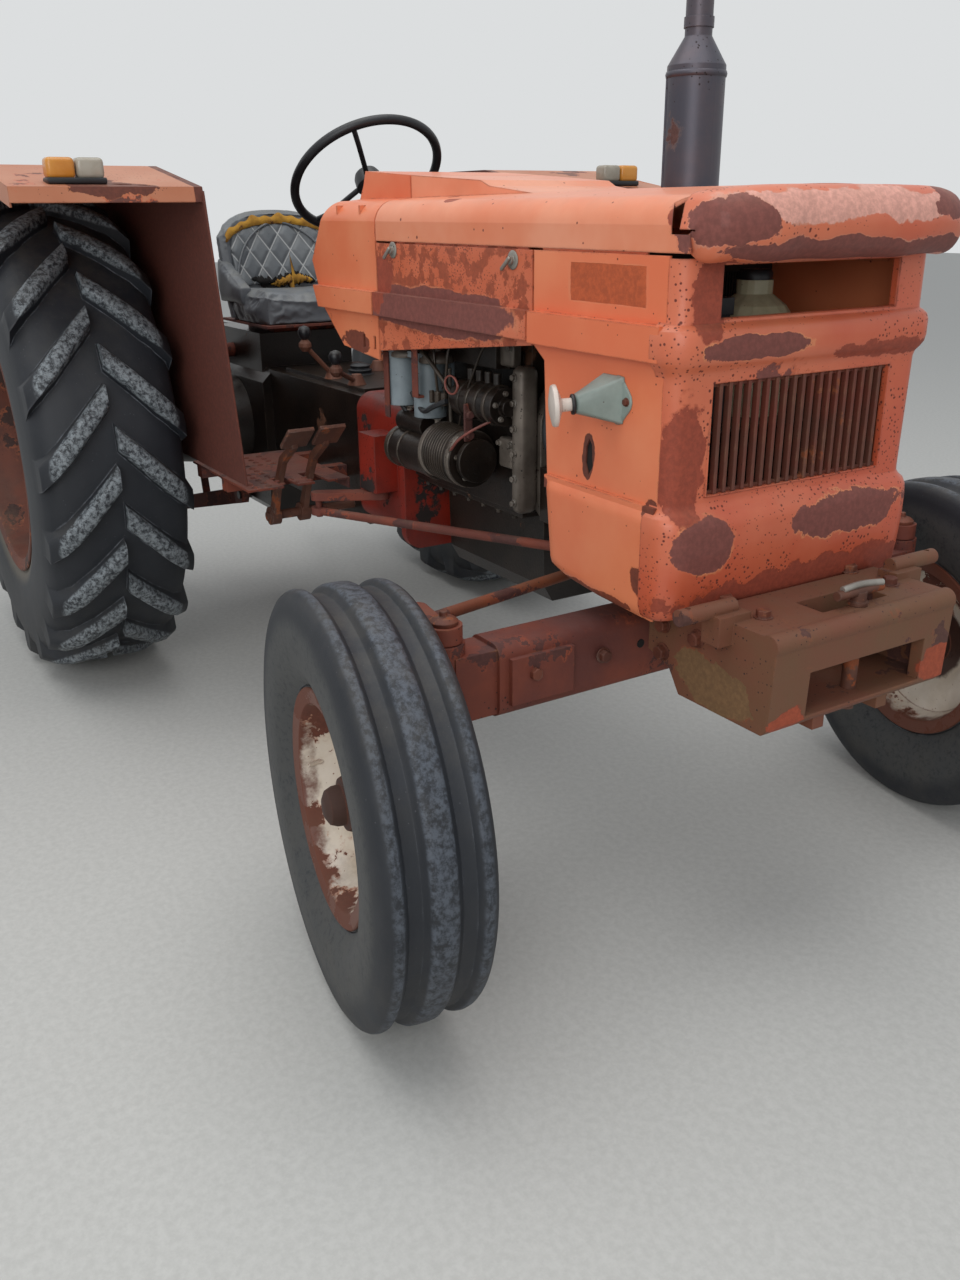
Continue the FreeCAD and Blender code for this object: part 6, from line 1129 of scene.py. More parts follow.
@dataclass
class HandWheel:
    """The steering wheel with its moulded rim, hub cap and three spokes."""

    centre: Vector = field(default_factory=lambda: at(0.70, 0.0, 1.50))
    radius: float = 0.2120
    grip: float = 0.0128
    rake_deg: float = 50.0

    def build(self) -> None:
        """Make the wheel."""
        rake = radians(self.rake_deg)
        down = Vector((cos(rake), 0.0, -sin(rake)))
        side = Vector((0.0, 1.0, 0.0))
        front = side.cross(down)
        ring = [(self.radius + self.grip * cos(t), self.grip * sin(t))
                for t in (2 * pi * k / 14 for k in range(14))]
        pieces = [SHOP.turned("hand_wheel", ring, self.centre, down, 110, 60.0)]
        cap = [(0.0, -0.014), (0.02, -0.013), (0.033, -0.007), (0.038, 0.004), (0.04, 0.034), (0.026, 0.042),
               (0.012, 0.052), (0.0095, 0.11), (0.0, 0.11)]
        pieces.append(SHOP.turned("cap", cap, self.centre, down, 40))
        for turn in (90.0, 210.0, 330.0):
            angle = radians(turn)
            reach = cos(angle) * front + sin(angle) * side
            start = self.centre + reach * 0.02 + down * 0.018
            end = self.centre + reach * (self.radius - 0.004)
            middle = self.centre + reach * 0.12 + down * 0.016
            pieces.append(SHOP.pipe("spoke", [start, middle, middle + reach * 0.04, end], 0.0075))
        SHOP.fit("hand_wheel", pieces, BLACK, "steering_wheel", ("steering_wheel",))


@dataclass
class SideLamps:
    """The grey brackets beside the nose, with their black rings and white lamps."""

    side_y: float = 0.302
    tip: Triple = (2.196, 0.368, 1.092)
    lamp_axis: Triple = (-0.45, 0.89, -0.06)
    lamp_radius: float = 0.0365

    def build(self) -> None:
        """Make a lamp on each side."""
        for word, sign in SIDES:
            tip = at(self.tip[0], sign * self.tip[1], self.tip[2])
            axis = Vector((self.lamp_axis[0], sign * self.lamp_axis[1], self.lamp_axis[2])).normalized()
            side = self.side_y

            def arm(corner: Vector, sign: float = sign, tip: Vector = tip, side: float = side) -> Vector:
                """Give a point of the arm, square at the nose and round at the lamp."""
                share = (corner.z + 1.0) / 2.0
                root = at(2.226 + corner.x * 0.031, sign * side, 1.100 + corner.y * 0.042)
                flat = Vector((corner.x, corner.y))
                ring = flat.normalized() * 0.0155 * max(abs(corner.x),
                                                        abs(corner.y)) if flat.length > 0 else flat
                end = tip + Vector((ring.x, 0.0, ring.y))
                return root.lerp(end, share ** 0.92)

            bracket = SHOP.solid("side_lamp_bracket", 3, arm, 24.0)
            SHOP.modify(bracket, "BEVEL", width=0.003, segments=2, limit_method="ANGLE")
            foot_start = at(2.240, sign * (side - 0.001), 1.099)
            foot = SHOP.turned("foot", [(0.0, 0.0), (0.0345, 0.0), (0.0355, 0.002), (0.0335, 0.0045),
                                        (0.0, 0.0055)], foot_start, Vector((0.0, sign, 0.0)), 26, 30.0)
            for vertex in foot.data.vertices:
                away = vertex.co - foot_start
                wave = 1.0 + 0.09 * cos(4.0 * atan2(away.z, away.x))
                vertex.co = foot_start + Vector((away.x * wave, away.y, away.z * wave * 1.12))
            SHOP.fit("side_lamp_bracket_" + word, [bracket, foot], LAMP_GREY)
            ring = SHOP.turned("side_lamp_ring_" + word, [(0.009, -0.003), (0.0175, -0.003), (0.0185, 0.0),
                                                          (0.0175, 0.003), (0.009, 0.003)], tip, axis, 28)
            SHOP.place(ring, BLACK)
            r = self.lamp_radius
            lamp = SHOP.turned("side_lamp_" + word, [(0.0, 0.0), (0.0115, 0.0), (0.0118, 0.02),
                                                     (r * 0.62, 0.024), (r, 0.029), (r + 0.0006, 0.033),
                                                     (r * 0.97, 0.037), (r * 0.5, 0.041), (0.0, 0.042)],
                               tip, axis, 40, 40.0)
            SHOP.place(lamp, LAMP_WHITE, "tractor", ("side_lamps",) if sign < 0 else ())
            bolt = SHOP.bolt("side_lamp_bolt_" + word, at(2.2655, sign * (side + 0.002), 1.099),
                             Vector((0.0, sign, 0.0)), 0.011, 0.005)
            SHOP.place(bolt, RUST_BOLT)


@dataclass
class FenderLamps:
    """The two-coloured marker lamps on the fenders."""

    x: float = 0.788
    z: float = 1.474

    def build(self) -> None:
        """Make a lamp on each fender, amber outside and clear inside."""
        for word, sign in SIDES:
            pieces = []
            for name, near, far, finish in (("amber", 0.832, 0.899, LAMP),
                                            ("clear", 0.763, 0.829, LAMP_CLEAR)):
                low_y, high_y = sorted((sign * near, sign * far))
                lens = SHOP.box(f"fender_lamp_{name}_{word}", at(self.x - 0.024, low_y, self.z + 0.012),
                                at(self.x + 0.026, high_y, self.z + 0.06), 0.011, 4)
                pieces.append(SHOP.place(lens, finish, "tractor", ("fender_lamps",) if sign < 0 else ()))
            low_y, high_y = sorted((sign * 0.76, sign * 0.90))
            base = SHOP.box("base", at(self.x - 0.029, low_y, self.z),
                            at(self.x + 0.029, high_y, self.z + 0.015), 0.004)
            foot = SHOP.box("foot", at(self.x - 0.02, low_y + 0.03, self.z - 0.03),
                            at(self.x + 0.02, high_y - 0.03, self.z + 0.004), 0.004)
            SHOP.fit("fender_lamp_base_" + word, [base, foot], BLACK)


@dataclass
class Latches:
    """The wing latches that hold the side panels and the small plug in the nose."""

    places: tuple[tuple[float, float], ...] = ((1.418, 1.326), (1.907, 1.320))
    side_y: float = 0.3025

    def build(self) -> None:
        """Make the latches on both sides."""
        pieces = []
        for sign in (-1.0, 1.0):
            out = Vector((0.0, sign, 0.0))
            for x, z in self.places:
                root = at(x, sign * self.side_y, z)
                pieces.append(SHOP.turned("cup", [(0.0, -0.001), (0.017, -0.001), (0.018, 0.001),
                                                  (0.014, 0.003), (0.0085, 0.003), (0.008, 0.009),
                                                  (0.0, 0.01)], root, out, 28))
                wing = SHOP.box("wing", Vector((-0.004, -0.0035, -0.030)), Vector((0.004, 0.0035, 0.009)),
                                0.003, 3)
                turn = Matrix.Rotation(radians(52.0), 4, "Y")
                wing.data.transform(Matrix.Translation(root + out * 0.012) @ turn)
                pieces.append(wing)
        SHOP.fit("panel_latches", pieces, BRIGHT)
        plug = SHOP.turned("nose_plug", [(0.0, 0.0), (0.015, 0.0), (0.0155, 0.003), (0.012, 0.0065),
                                         (0.0, 0.008)], at(2.3855, -0.14, 1.2), AHEAD, 28)
        SHOP.place(plug, PAINT)


@dataclass
class TowFrameFittings:
    """Bolts and the grey handle of the pin on the front weight frame."""

    top_z: float = 0.745
    front_x: float = 2.590

    def build(self) -> None:
        """Make the fittings."""
        rust = []
        for x, y in ((2.395, -0.165), (2.395, 0.165), (2.49, -0.165), (2.49, 0.165)):
            rust.append(SHOP.bolt("bolt", at(x, y, self.top_z), UP, 0.024, 0.013))
        for sign in (-1.0, 1.0):
            out = Vector((0.0, sign, 0.0))
            for x, z in ((2.31, 0.69), (2.31, 0.635), (2.40, 0.69)):
                rust.append(SHOP.bolt("bolt", at(x, sign * 0.230, z), out, 0.024, 0.013))
        SHOP.fit("weight_frame_bolts", rust, RUST_BOLT)
        pin_top = at(2.535, 0.024, self.top_z + 0.028)
        handle = [SHOP.pipe("handle", [pin_top + Vector((0.0, -0.045, 0.008)),
                                       pin_top + Vector((0.0, -0.015, 0.011)),
                                       pin_top + Vector((0.0, 0.02, 0.01)),
                                       pin_top + Vector((0.004, 0.055, 0.006))], 0.0065)]
        SHOP.fit("pin_handle", handle, BRIGHT)


@dataclass
class AxleFittings:
    """Bolts of the front axle's sleeve, painted shade in its grease holes and the kingpins' caps."""

    half: float = 0.53
    z: float = 0.612

    def build(self) -> None:
        """Make the fittings on both sides of the axle."""
        rust = []
        dark = []
        for sign in (-1.0, 1.0):
            for y in (0.30, 0.46):
                rust.append(SHOP.bolt("bolt", at(2.2185, sign * y, self.z), AHEAD, 0.022, 0.012))
            # A flat disc of painted shade where each grease hole is.
            dark.append(SHOP.turned("grease_hole", [(0.0, 0.0), (0.009, 0.0), (0.009, 0.0015), (0.0, 0.0015)],
                                    at(2.2095, sign * 0.20, self.z), AHEAD, 18))
            pin = at(2.160, sign * 0.617, 0.0)
            rust.append(SHOP.turned("cap", [(0.0, 0.0), (0.026, 0.0), (0.027, 0.008), (0.02, 0.014),
                                            (0.008, 0.016), (0.007, 0.026), (0.0, 0.027)],
                                    Vector((pin.x, pin.y, 0.721)), UP, 26))
        SHOP.fit("axle_bolts", rust, RUST_BOLT)
        SHOP.fit("axle_grease_hole_shade", dark, HOLE_SHADE)


@dataclass
class Exhaust:
    """The rolled seams, the lock seam and the clamp of the exhaust."""

    x: float = 1.620
    y: float = 0.392
    radius: float = 0.067

    def build(self) -> None:
        """Make the seams and the clamp."""
        pieces = []
        for z in (1.122, 1.694):
            ring = [(self.radius - 0.002, -0.008), (self.radius + 0.002, -0.006), (self.radius + 0.0035, 0.0),
                    (self.radius + 0.002, 0.006), (self.radius - 0.002, 0.008)]
            pieces.append(SHOP.turned("bead", ring, at(self.x, self.y, z), UP, 56, 60.0))
        angle = radians(-118.0)
        out = Vector((cos(angle), sin(angle), 0.0))
        line = at(self.x, self.y, 0.0) + out * self.radius
        pieces.append(SHOP.pipe("lock_seam", [line + UP * z for z in (1.13, 1.3, 1.5, 1.688)], 0.003))
        pieces.append(SHOP.turned("clamp", [(0.0308, -0.011), (0.034, -0.011), (0.034, 0.011),
                                            (0.0308, 0.011)], at(self.x, self.y, 1.80), UP, 40))
        SHOP.fit("exhaust_seams", pieces, EXHAUST)


@dataclass
class FrontBay:
    """What shows behind the empty lamp opening: tank cap, battery lids and radiator fins."""

    def build(self) -> None:
        """Make the fittings."""
        cap = SHOP.turned("tank_cap", [(0.0, 0.0), (0.03, 0.0), (0.032, 0.004), (0.032, 0.02),
                                       (0.028, 0.026), (0.0, 0.028)], at(2.197, 0.048, 1.277), UP, 32)
        SHOP.place(cap, BLACK)
        lids = []
        low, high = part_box("battery")
        for index in range(6):
            x = low[0] + 0.022 + index * (high[0] - low[0] - 0.044) / 5
            lids.append(SHOP.turned("lid", [(0.0, 0.0), (0.011, 0.0), (0.0115, 0.004), (0.009, 0.007),
                                            (0.0, 0.008)], Vector((x, (low[1] + high[1]) / 2, high[2])), UP,
                                    20))
        for y in (low[1] + 0.03, high[1] - 0.03):
            lids.append(SHOP.rod("post", Vector((low[0] + 0.03, y, high[2] - 0.002)),
                                 Vector((low[0] + 0.03, y, high[2] + 0.016)), 0.008))
        SHOP.fit("battery_lids", lids, BRIGHT)
        lead = [Vector((low[0] + 0.03, high[1] - 0.03, high[2] + 0.012)),
                Vector((low[0] + 0.01, high[1] - 0.02, high[2] + 0.03)),
                Vector((low[0] - 0.015, high[1] - 0.01, high[2] + 0.0)),
                Vector((low[0] - 0.02, high[1] + 0.01, high[2] - 0.12))]
        SHOP.place(SHOP.pipe("battery_lead", lead, 0.0055), BLACK)
        low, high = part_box("radiator")
        fins = []
        wide = (high[1] - low[1] - 0.05) / 60
        for index in range(60):
            y = low[1] + 0.025 + (index + 0.5) * wide
            fins.append(SHOP.box("fin", Vector((high[0] - 0.012, y - wide * 0.16, low[2] + 0.062)),
                                 Vector((high[0] - 0.0065, y + wide * 0.16, high[2] - 0.062)), 0.0))
        SHOP.fit("radiator_fins", fins, RADIATOR)


@dataclass
class EngineFittings:
    """Filter heads, injectors, pipes, hoses, bolts and loose wires, one to the starter."""

    def build(self) -> None:
        """Make the fittings of the engine's right side and top."""
        self._filters()
        self._pump_and_pipes()
        self._bolts()
        self._wires()

    def _filters(self) -> None:
        """Make the heads, rims and clamps of the two filters."""
        heads = []
        for along, low_z in ((0.049, 0.960), (0.187, 0.948)):
            centre = at(1.243 + along + 0.034, -0.222, 0.0)
            rim = Vector((centre.x, centre.y, 1.078))
            heads.append(SHOP.turned("head", [(0.0, 0.0), (0.041, 0.0), (0.0425, 0.004), (0.041, 0.012),
                                              (0.034, 0.02), (0.014, 0.026), (0.012, 0.036), (0.0, 0.037)],
                                     rim, UP, 36))
            heads.append(SHOP.turned("drain", [(0.0, 0.0), (0.007, 0.0), (0.0075, 0.008), (0.012, 0.010),
                                               (0.0, 0.012)], Vector((centre.x, centre.y, low_z - 0.012)),
                                     UP, 20))
        SHOP.fit("filter_heads", heads, ALLOY)
        strap = SHOP.box("filter_strap", at(1.243 + 0.049 - 0.012, -0.268, 0.93),
                         at(1.243 + 0.049 + 0.012, -0.2625, 1.09), 0.002)
        SHOP.place(strap, RUSTED)

    def _pump_and_pipes(self) -> None:
        """Make the injectors, the unions and pipes of the injection pump, the fuel pipes and the coolant
        hoses.
        """
        steel = []
        for index in range(3):
            x = 1.36 + index * 0.13
            top = at(x, -0.12, 1.205)
            steel.append(SHOP.rod("injector", top, top + Vector((0.0, -0.008, 0.05)), 0.0115))
            start = at(1.46 + index * 0.03, -0.235, 0.985)
            steel.append(SHOP.rod("union", start, start + Vector((0.0, 0.0, 0.03)), 0.0085, 14))
            bend = [start + Vector((0.0, 0.0, 0.028)), at(1.46 + index * 0.05, -0.252, 1.06),
                    at(1.42 + index * 0.07, -0.245, 1.14), at(x, -0.17, 1.2),
                    top + Vector((0.0, -0.01, 0.045))]
            steel.append(SHOP.pipe("pipe", bend, 0.0034, 2))
        fuel = [at(1.36, -0.245, 1.10), at(1.40, -0.27, 1.13), at(1.50, -0.265, 1.10), at(1.56, -0.24, 1.02)]
        steel.append(SHOP.pipe("pipe", fuel, 0.005))
        link = [at(1.29, -0.24, 1.112), at(1.33, -0.262, 1.14), at(1.40, -0.25, 1.125),
                at(1.43, -0.235, 1.11)]
        steel.append(SHOP.pipe("pipe", link, 0.005))
        SHOP.fit("fuel_pipes", steel, OILY_STEEL)
        hose = [at(1.93, 0.02, 1.29), at(1.86, 0.01, 1.31), at(1.80, 0.0, 1.26), at(1.765, 0.0, 1.19)]
        low = [at(1.93, 0.14, 0.93), at(1.86, 0.15, 0.92), at(1.80, 0.16, 0.95), at(1.76, 0.13, 1.0)]
        pieces = [SHOP.pipe("hose", hose, 0.022, 5), SHOP.pipe("hose", low, 0.02, 5)]
        SHOP.fit("coolant_hoses", pieces, BLACK)

    def _bolts(self) -> None:
        """Make the rows of bolts on the sump, the covers and the clutch housing."""
        greasy = []
        for index in range(7):
            x = 1.29 + index * 0.067
            for sign in (-1.0, 1.0):
                greasy.append(SHOP.bolt("bolt", at(x, sign * 0.152, 0.753), Vector((0.0, 0.0, -1.0)), 0.014,
                                        0.008))
        for z, y in ((0.78, -0.135), (0.86, -0.14), (0.95, -0.14), (1.03, -0.12), (0.78, 0.135),
                     (0.95, 0.14), (1.03, 0.12)):
            greasy.append(SHOP.bolt("bolt", at(1.824, y, z), AHEAD, 0.014, 0.008))
        for index in range(4):
            greasy.append(SHOP.bolt("bolt", at(1.33 + index * 0.11, 0.0, 1.2405), UP, 0.016, 0.01))
        SHOP.fit("engine_bolts", greasy, OILY_STEEL)

    def _wires(self) -> None:
        """Make the loose wires over the engine."""
        grey = SHOP.pipe("engine_wire", [at(1.74, -0.2, 1.19), at(1.70, -0.235, 1.15), at(1.66, -0.24, 1.08),
                                         at(1.60, -0.235, 1.0), at(1.56, -0.22, 0.94)], 0.0028, 2)
        SHOP.place(grey, OILY_STEEL)
        red = SHOP.pipe("starter_wire", [at(1.72, -0.23, 0.98), at(1.68, -0.285, 0.95), at(1.63, -0.29, 0.90),
                                         at(1.58, -0.28, 0.87), at(1.50, -0.27, 0.88)], 0.0032, 2)
        SHOP.place(red, WIRE_RED)


@dataclass
class Controls:
    """Lever knobs and the lever's boot."""

    def build(self) -> None:
        """Make the knobs and the boot."""
        knobs = []
        for x, y, z in ((0.65, -0.20, 1.055), (0.857, -0.20, 1.005)):
            knobs.append(SHOP.turned("knob", [(0.0, 0.0), (0.008, 0.0), (0.013, 0.007), (0.0185, 0.018),
                                              (0.019, 0.026), (0.014, 0.037), (0.0, 0.042)], at(x, y, z),
                                     UP, 26, 60.0))
        SHOP.fit("lever_knobs", knobs, BLACK)
        gaiter = [(0.0, 0.0), (0.042, 0.0), (0.044, 0.008), (0.034, 0.012), (0.038, 0.02), (0.029, 0.025),
                  (0.032, 0.033), (0.022, 0.038), (0.0, 0.04)]
        boot = SHOP.turned("lever_boot", gaiter, at(0.60, 0.0, 0.93), UP, 30, 40.0)
        SHOP.place(boot, BLACK)


@dataclass
class Seat:
    """The bucket seat with its stuffed pads, quilted face, torn top and open seam."""

    rear_x: float = -0.060
    front_x: float = 0.390
    half: float = 0.232
    pan_z: float = 1.072
    pad_z: float = 1.158
    top_z: float = 1.434
    voxel: float = 0.006
    quilt_pitch: float = 0.074

    def build(self) -> None:
        """Make the seat's pads and their tears."""
        pad = SHOP.solid("seat_pad", 13, self._pad_point, 70.0)
        back = SHOP.solid("seat_backrest", 13, self._back_point, 70.0)
        wings = [SHOP.solid("seat_wing_" + word, 7, lambda c, s=sign: self._wing_point(c, s), 70.0)
                 for word, sign in SIDES]
        for piece, cap in ((pad, 0.016), (back, 0.010), (wings[0], 0.008), (wings[1], 0.008)):
            self._stuff(piece, cap, piece is back)
        face = SHOP.solid("seat_quilted_face", 31, self._face_point, 80.0)
        self._sew(face)
        SHOP.place(pad, VINYL, "tractor", ("seat_cushion",))
        SHOP.place(back, VINYL)
        for wing in wings:
            SHOP.place(wing, VINYL)
        SHOP.place(face, QUILTED)
        self._tears([pad, back, face])
        self._piping()

    def _arch(self, across: float) -> float:
        """Return the backrest's height at a share of its half width."""
        rise = self.top_z - 0.012 - self.pan_z
        return self.pan_z + rise * (0.60 + 0.40 * sqrt(max(0.0, 1.0 - abs(across) ** 2.6)))

    def _height(self, share: float, across: float) -> float:
        """Return the height of a share of the way up the backrest."""
        low = self.pan_z + 0.006
        return low + (self._arch(across) - low) * share

    def _lean(self, share: float, across: float) -> float:
        """Return how far forward the backrest's middle is, by its height and side."""
        return self.rear_x + 0.095 - 0.085 * share + 0.075 * abs(across) ** 2.6

    def _back_point(self, corner: Vector) -> Vector:
        """Give a point of the backrest."""
        share = (corner.z + 1.0) / 2.0
        edge = max(abs(corner.x), share ** 3)
        thick = 0.030 * sqrt(max(0.0, 1.0 - edge ** 5)) + 0.010
        across = corner.x * (0.94 + 0.03 * sin(pi * share))
        return at(self._lean(share, across) - corner.y * thick, across * self.half,
                  self._height(share, across))

    def _face_point(self, corner: Vector) -> Vector:
        """Give a point of the quilted face that is set into the backrest."""
        share = 0.30 + 0.56 * (corner.z + 1.0) / 2.0
        across = corner.x * 0.78 * sqrt(1.0 - 0.30 * max(0.0, corner.z) ** 4)
        edge = max(abs(corner.x), abs(corner.z))
        bulge = 0.009 * sqrt(max(0.0, 1.0 - edge ** 6))
        depth = 0.036 + (bulge if corner.y < 0 else -0.017)
        return at(self._lean(share, across) + depth, across * self.half, self._height(share, across))

    def _pad_point(self, corner: Vector) -> Vector:
        """Give a point of the seat pad."""
        a, b = corner.x, corner.y
        round_a = a * sqrt(1.0 - 0.22 * b * b)
        round_b = b * sqrt(1.0 - 0.22 * a * a)
        middle = (self.rear_x + 0.05 + self.front_x) / 2
        reach = (self.front_x - self.rear_x - 0.05) / 2 - 0.012
        crown = 0.012 * (1.0 - a * a) * (1.0 - b * b) - 0.012 * max(0.0, a - 0.55)
        high = self.pad_z - 0.018 + crown + 0.02 * b * b
        z = self.pan_z + 0.002 + (high - self.pan_z) * (corner.z + 1.0) / 2.0
        pull = 1.0 - 0.03 * (1.0 - corner.z * corner.z)
        return at(middle + round_a * reach * pull, round_b * (self.half - 0.012) * pull, z)

    def _wing_point(self, corner: Vector, side: float) -> Vector:
        """Give a point of one side wing, which falls towards the front."""
        share = (corner.x + 1.0) / 2.0
        slim = 1.0 - 0.25 * corner.z * corner.z
        x = self.rear_x + 0.075 + 0.20 * share
        y = side * (self.half - 0.028 + corner.y * 0.021 * slim)
        low = self.pad_z - 0.03
        high = self.pad_z + 0.105 - 0.085 * share ** 1.3
        return at(x, y, low + (high - low) * (corner.z + 1.0) / 2.0)

    def _stuff(self, piece: Piece, cap: float, sewn: bool) -> None:
        """Blow a pad up with cloth, held flat on the pan, and smooth it.

        Args:
            piece: The pad.
            cap: How far a point may move, in metres.
            sewn: Whether the quilted face is sewn onto its front.
        """
        SHOP.pick(piece)
        piece.data.remesh_voxel_size = self.voxel
        bpy.ops.object.voxel_remesh()
        start = [vertex.co.copy() for vertex in piece.data.vertices]
        cloth = piece.modifiers.new("cloth", "CLOTH")
        cloth.settings.use_pressure = True
        cloth.settings.uniform_pressure_force = 4.0
        cloth.settings.effector_weights.gravity = 0.0
        for step in range(1, 21):
            bpy.context.scene.frame_set(step)
        SHOP.pick(piece)
        bpy.ops.object.modifier_apply(modifier=cloth.name)
        bpy.context.scene.frame_set(1)
        for vertex, first in zip(piece.data.vertices, start):
            move = vertex.co - first
            if move.length > cap:
                vertex.co = first + move.normalized() * cap
            vertex.co.z = max(vertex.co.z, min(first.z, self.pan_z + 0.002))
            if sewn:
                self._hold(vertex.co)
        SHOP.modify(piece, "SUBSURF", levels=1)
        SHOP.settle(piece, 80.0)

    def _hold(self, point: Vector) -> None:
        """Keep the backrest's front down where the quilted face and the torn strip are sewn on."""
        across = point.y / self.half
        low = self.pan_z + 0.006
        share = (point.z - low) / (self._arch(across) - low)
        if abs(across) < 0.85 and 0.24 < share < 0.93:
            point.x = min(point.x, at(self._lean(share, across) + 0.024, 0.0, 0.0).x)

    def _sew(self, piece: Piece) -> None:
        """Press the crossing seams of the quilting into the face."""
        SHOP.modify(piece, "SUBSURF", levels=1)
        for vertex in piece.data.vertices:
            near = 1.0
            for slant in (vertex.co.z * 0.72 + vertex.co.y, vertex.co.z * 0.72 - vertex.co.y):
                share = slant / self.quilt_pitch
                near = min(near, abs(share - round(share)) * 2.0)
            vertex.co.x -= 0.0065 * (1.0 - min(1.0, near / 0.5)) ** 1.6
        SHOP.settle(piece, 80.0)

    def _tears(self, pads: list[Piece]) -> None:
        """Make the strip of foam under the torn top edge and the foam in the open seam, laid on the pads over
        a wider near-black sheet of painted shade in the seam's gap.
        """
        strip = SHOP.sheet("seat_torn_foam", 60, 4, self._strip_point, 0.006)
        SHOP.place(strip, FOAM)
        skins = [BVHTree.FromPolygons([v.co.copy() for v in pad.data.vertices],
                                      [tuple(p.vertices) for p in pad.data.polygons]) for pad in pads]
        dice = random.Random(7)
        edges = [(dice.uniform(-1.0, 1.0), dice.uniform(-1.0, 1.0)) for _ in range(49)]
        # The gap is a near-black sheet of painted shade; the foam of the open seam lies over it.
        for name, finish, start, end, wide, lift in (("seat_seam_gap_shade", HOLE_SHADE, -0.125, 0.11, 0.021,
                                                      0.0012), ("seat_open_seam", FOAM, -0.05, 0.095, 0.013,
                                                                0.004)):
            def point(along: float, up: float) -> Vector:
                """Give a point of the tear, draped over the pads."""
                y = start + (end - start) * along
                low, high = edges[round(along * 48)]
                half = wide * (sin(pi * along) ** 0.6 + 0.02)
                side = (up - 0.5) * 2.0
                z = 1.196 + 0.007 * sin(y * 38.0) + side * half * (1.0 + 0.45 * (high if side > 0 else low))
                return self._drape(skins, y, z, lift * (1.0 + 1.5 * (1.0 - side * side)))
            SHOP.place(SHOP.sheet(name, 48, 6, point, 0.0015), finish)

    def _drape(self, skins: list[BVHTree], y: float, z: float, lift: float) -> Vector:
        """Lay a point on the pad or the quilted face, from in front and a little above."""
        begin = at(0.45, y, z + 0.12)
        way = Vector((-1.0, 0.0, -0.32)).normalized()
        hits = [hit for hit in (skin.ray_cast(begin, way) for skin in skins) if hit[0] is not None]
        if not hits:
            return at(0.06, y, z)
        place, facing = min(hits, key=lambda hit: hit[3])[:2]
        return place + facing * lift

    def _strip_point(self, along: float, up: float) -> Vector:
        """Give a point of the torn strip, whose edges run unevenly."""
        across = -0.86 + 1.66 * along
        ragged = 0.05 * sin(along * 37.0) * sin(along * 13.0 + 1.0)
        share = 0.85 + (0.070 + ragged * 0.5) * up - 0.02 * abs(across)
        x = self._lean(share, across) + 0.041 + 0.006 * sin(pi * up) + 0.002 * sin(along * 61.0)
        return at(x, across * self.half, self._height(share, across))

    def _piping(self) -> None:
        """Make the welt round the quilted face."""
        points = []
        for index in range(25):
            turn = pi * index / 24
            corner = Vector((-cos(turn), -1.0, max(-1.0, min(1.0, sin(turn) * 2.0 - 1.0))))
            edge = self._face_point(corner)
            points.append(edge + Vector((0.002, 0.0, 0.0)))
        SHOP.place(SHOP.pipe("seat_piping", points, 0.0042), VINYL)


@dataclass
class Footplates:
    """Raised studs on the footplates."""

    z: float = 0.716
    rows: int = 11
    columns: int = 5

    def build(self) -> None:
        """Make the studs on both plates."""
        stud = SHOP.turned("stud", [(0.0035, -0.001), (0.009, -0.001), (0.0085, 0.0012), (0.007, 0.0026),
                                    (0.005, 0.0026), (0.0035, 0.0012)], Vector((0.0, 0.0, 0.0)), UP, 12)
        studs = []
        for sign in (-1.0, 1.0):
            for row in range(self.rows):
                for column in range(self.columns):
                    x = 0.585 + row * 0.0375
                    y = sign * (0.345 + column * 0.040)
                    if 0.70 < x < 0.90 and column in (0, 1):
                        continue
                    studs.append(SHOP.copy_of(stud, Matrix.Translation(at(x, y, self.z))))
        bpy.data.objects.remove(stud)
        SHOP.fit("footplate_studs", studs, RUSTED)


@dataclass
class BodySeams:
    """Rolled lips on the fenders."""

    side_y: float = 0.302

    def build(self) -> None:
        """Make the lips of the fenders."""
        lips = []
        for sign in (-1.0, 1.0):
            for y in (0.548, 0.992):
                path = [at(0.845, sign * y, 1.434), at(0.842, sign * y, 1.462), at(0.66, sign * y, 1.497),
                        at(0.48, sign * y, 1.520)]
                lips.append(SHOP.pipe("lip", path, 0.0045))
            front = [at(0.846, sign * 0.55, 1.436), at(0.847, sign * 0.77, 1.436),
                     at(0.846, sign * 0.99, 1.436)]
            lips.append(SHOP.pipe("lip", front, 0.005))
        SHOP.fit("fender_lips", lips, SPECIAL["fenders"])


@dataclass
class RearFittings:
    """Bolts, an oil filler and hoses at the back."""

    def build(self) -> None:
        """Make the fittings."""
        back = Vector((-1.0, 0.0, 0.0))
        low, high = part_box("transmission")
        greasy = []
        for sign in (-1.0, 1.0):
            for z in (0.60, 0.70, 0.80):
                greasy.append(SHOP.bolt("bolt", at(-0.2005, sign * 0.15, z), back, 0.02, 0.011))
            for index in range(6):
                turn = index * pi / 3
                place = at(0.118 * cos(turn), sign * 0.655 - sign * 0.012, REAR_RADIUS + 0.118 * sin(turn))
                greasy.append(SHOP.bolt("bolt", place, Vector((0.0, sign, 0.0)), 0.02, 0.01))
        greasy.append(SHOP.turned("filler", [(0.0, 0.0), (0.028, 0.0), (0.03, 0.006), (0.03, 0.018),
                                             (0.02, 0.022), (0.0, 0.024)],
                                  Vector((low[0] + 0.16, 0.11, 1.034)), UP, 30))
        SHOP.fit("rear_bolts", greasy, OILY_STEEL)
        hoses = []
        for sign in (-1.0, 1.0):
            path = [at(-0.16, sign * 0.10, 1.0), at(-0.24, sign * 0.13, 1.05), at(-0.28, sign * 0.16, 0.98),
                    at(-0.25, sign * 0.17, 0.90)]
            hoses.append(SHOP.pipe("hose", path, 0.009))
        SHOP.fit("rear_hoses", hoses, BLACK)


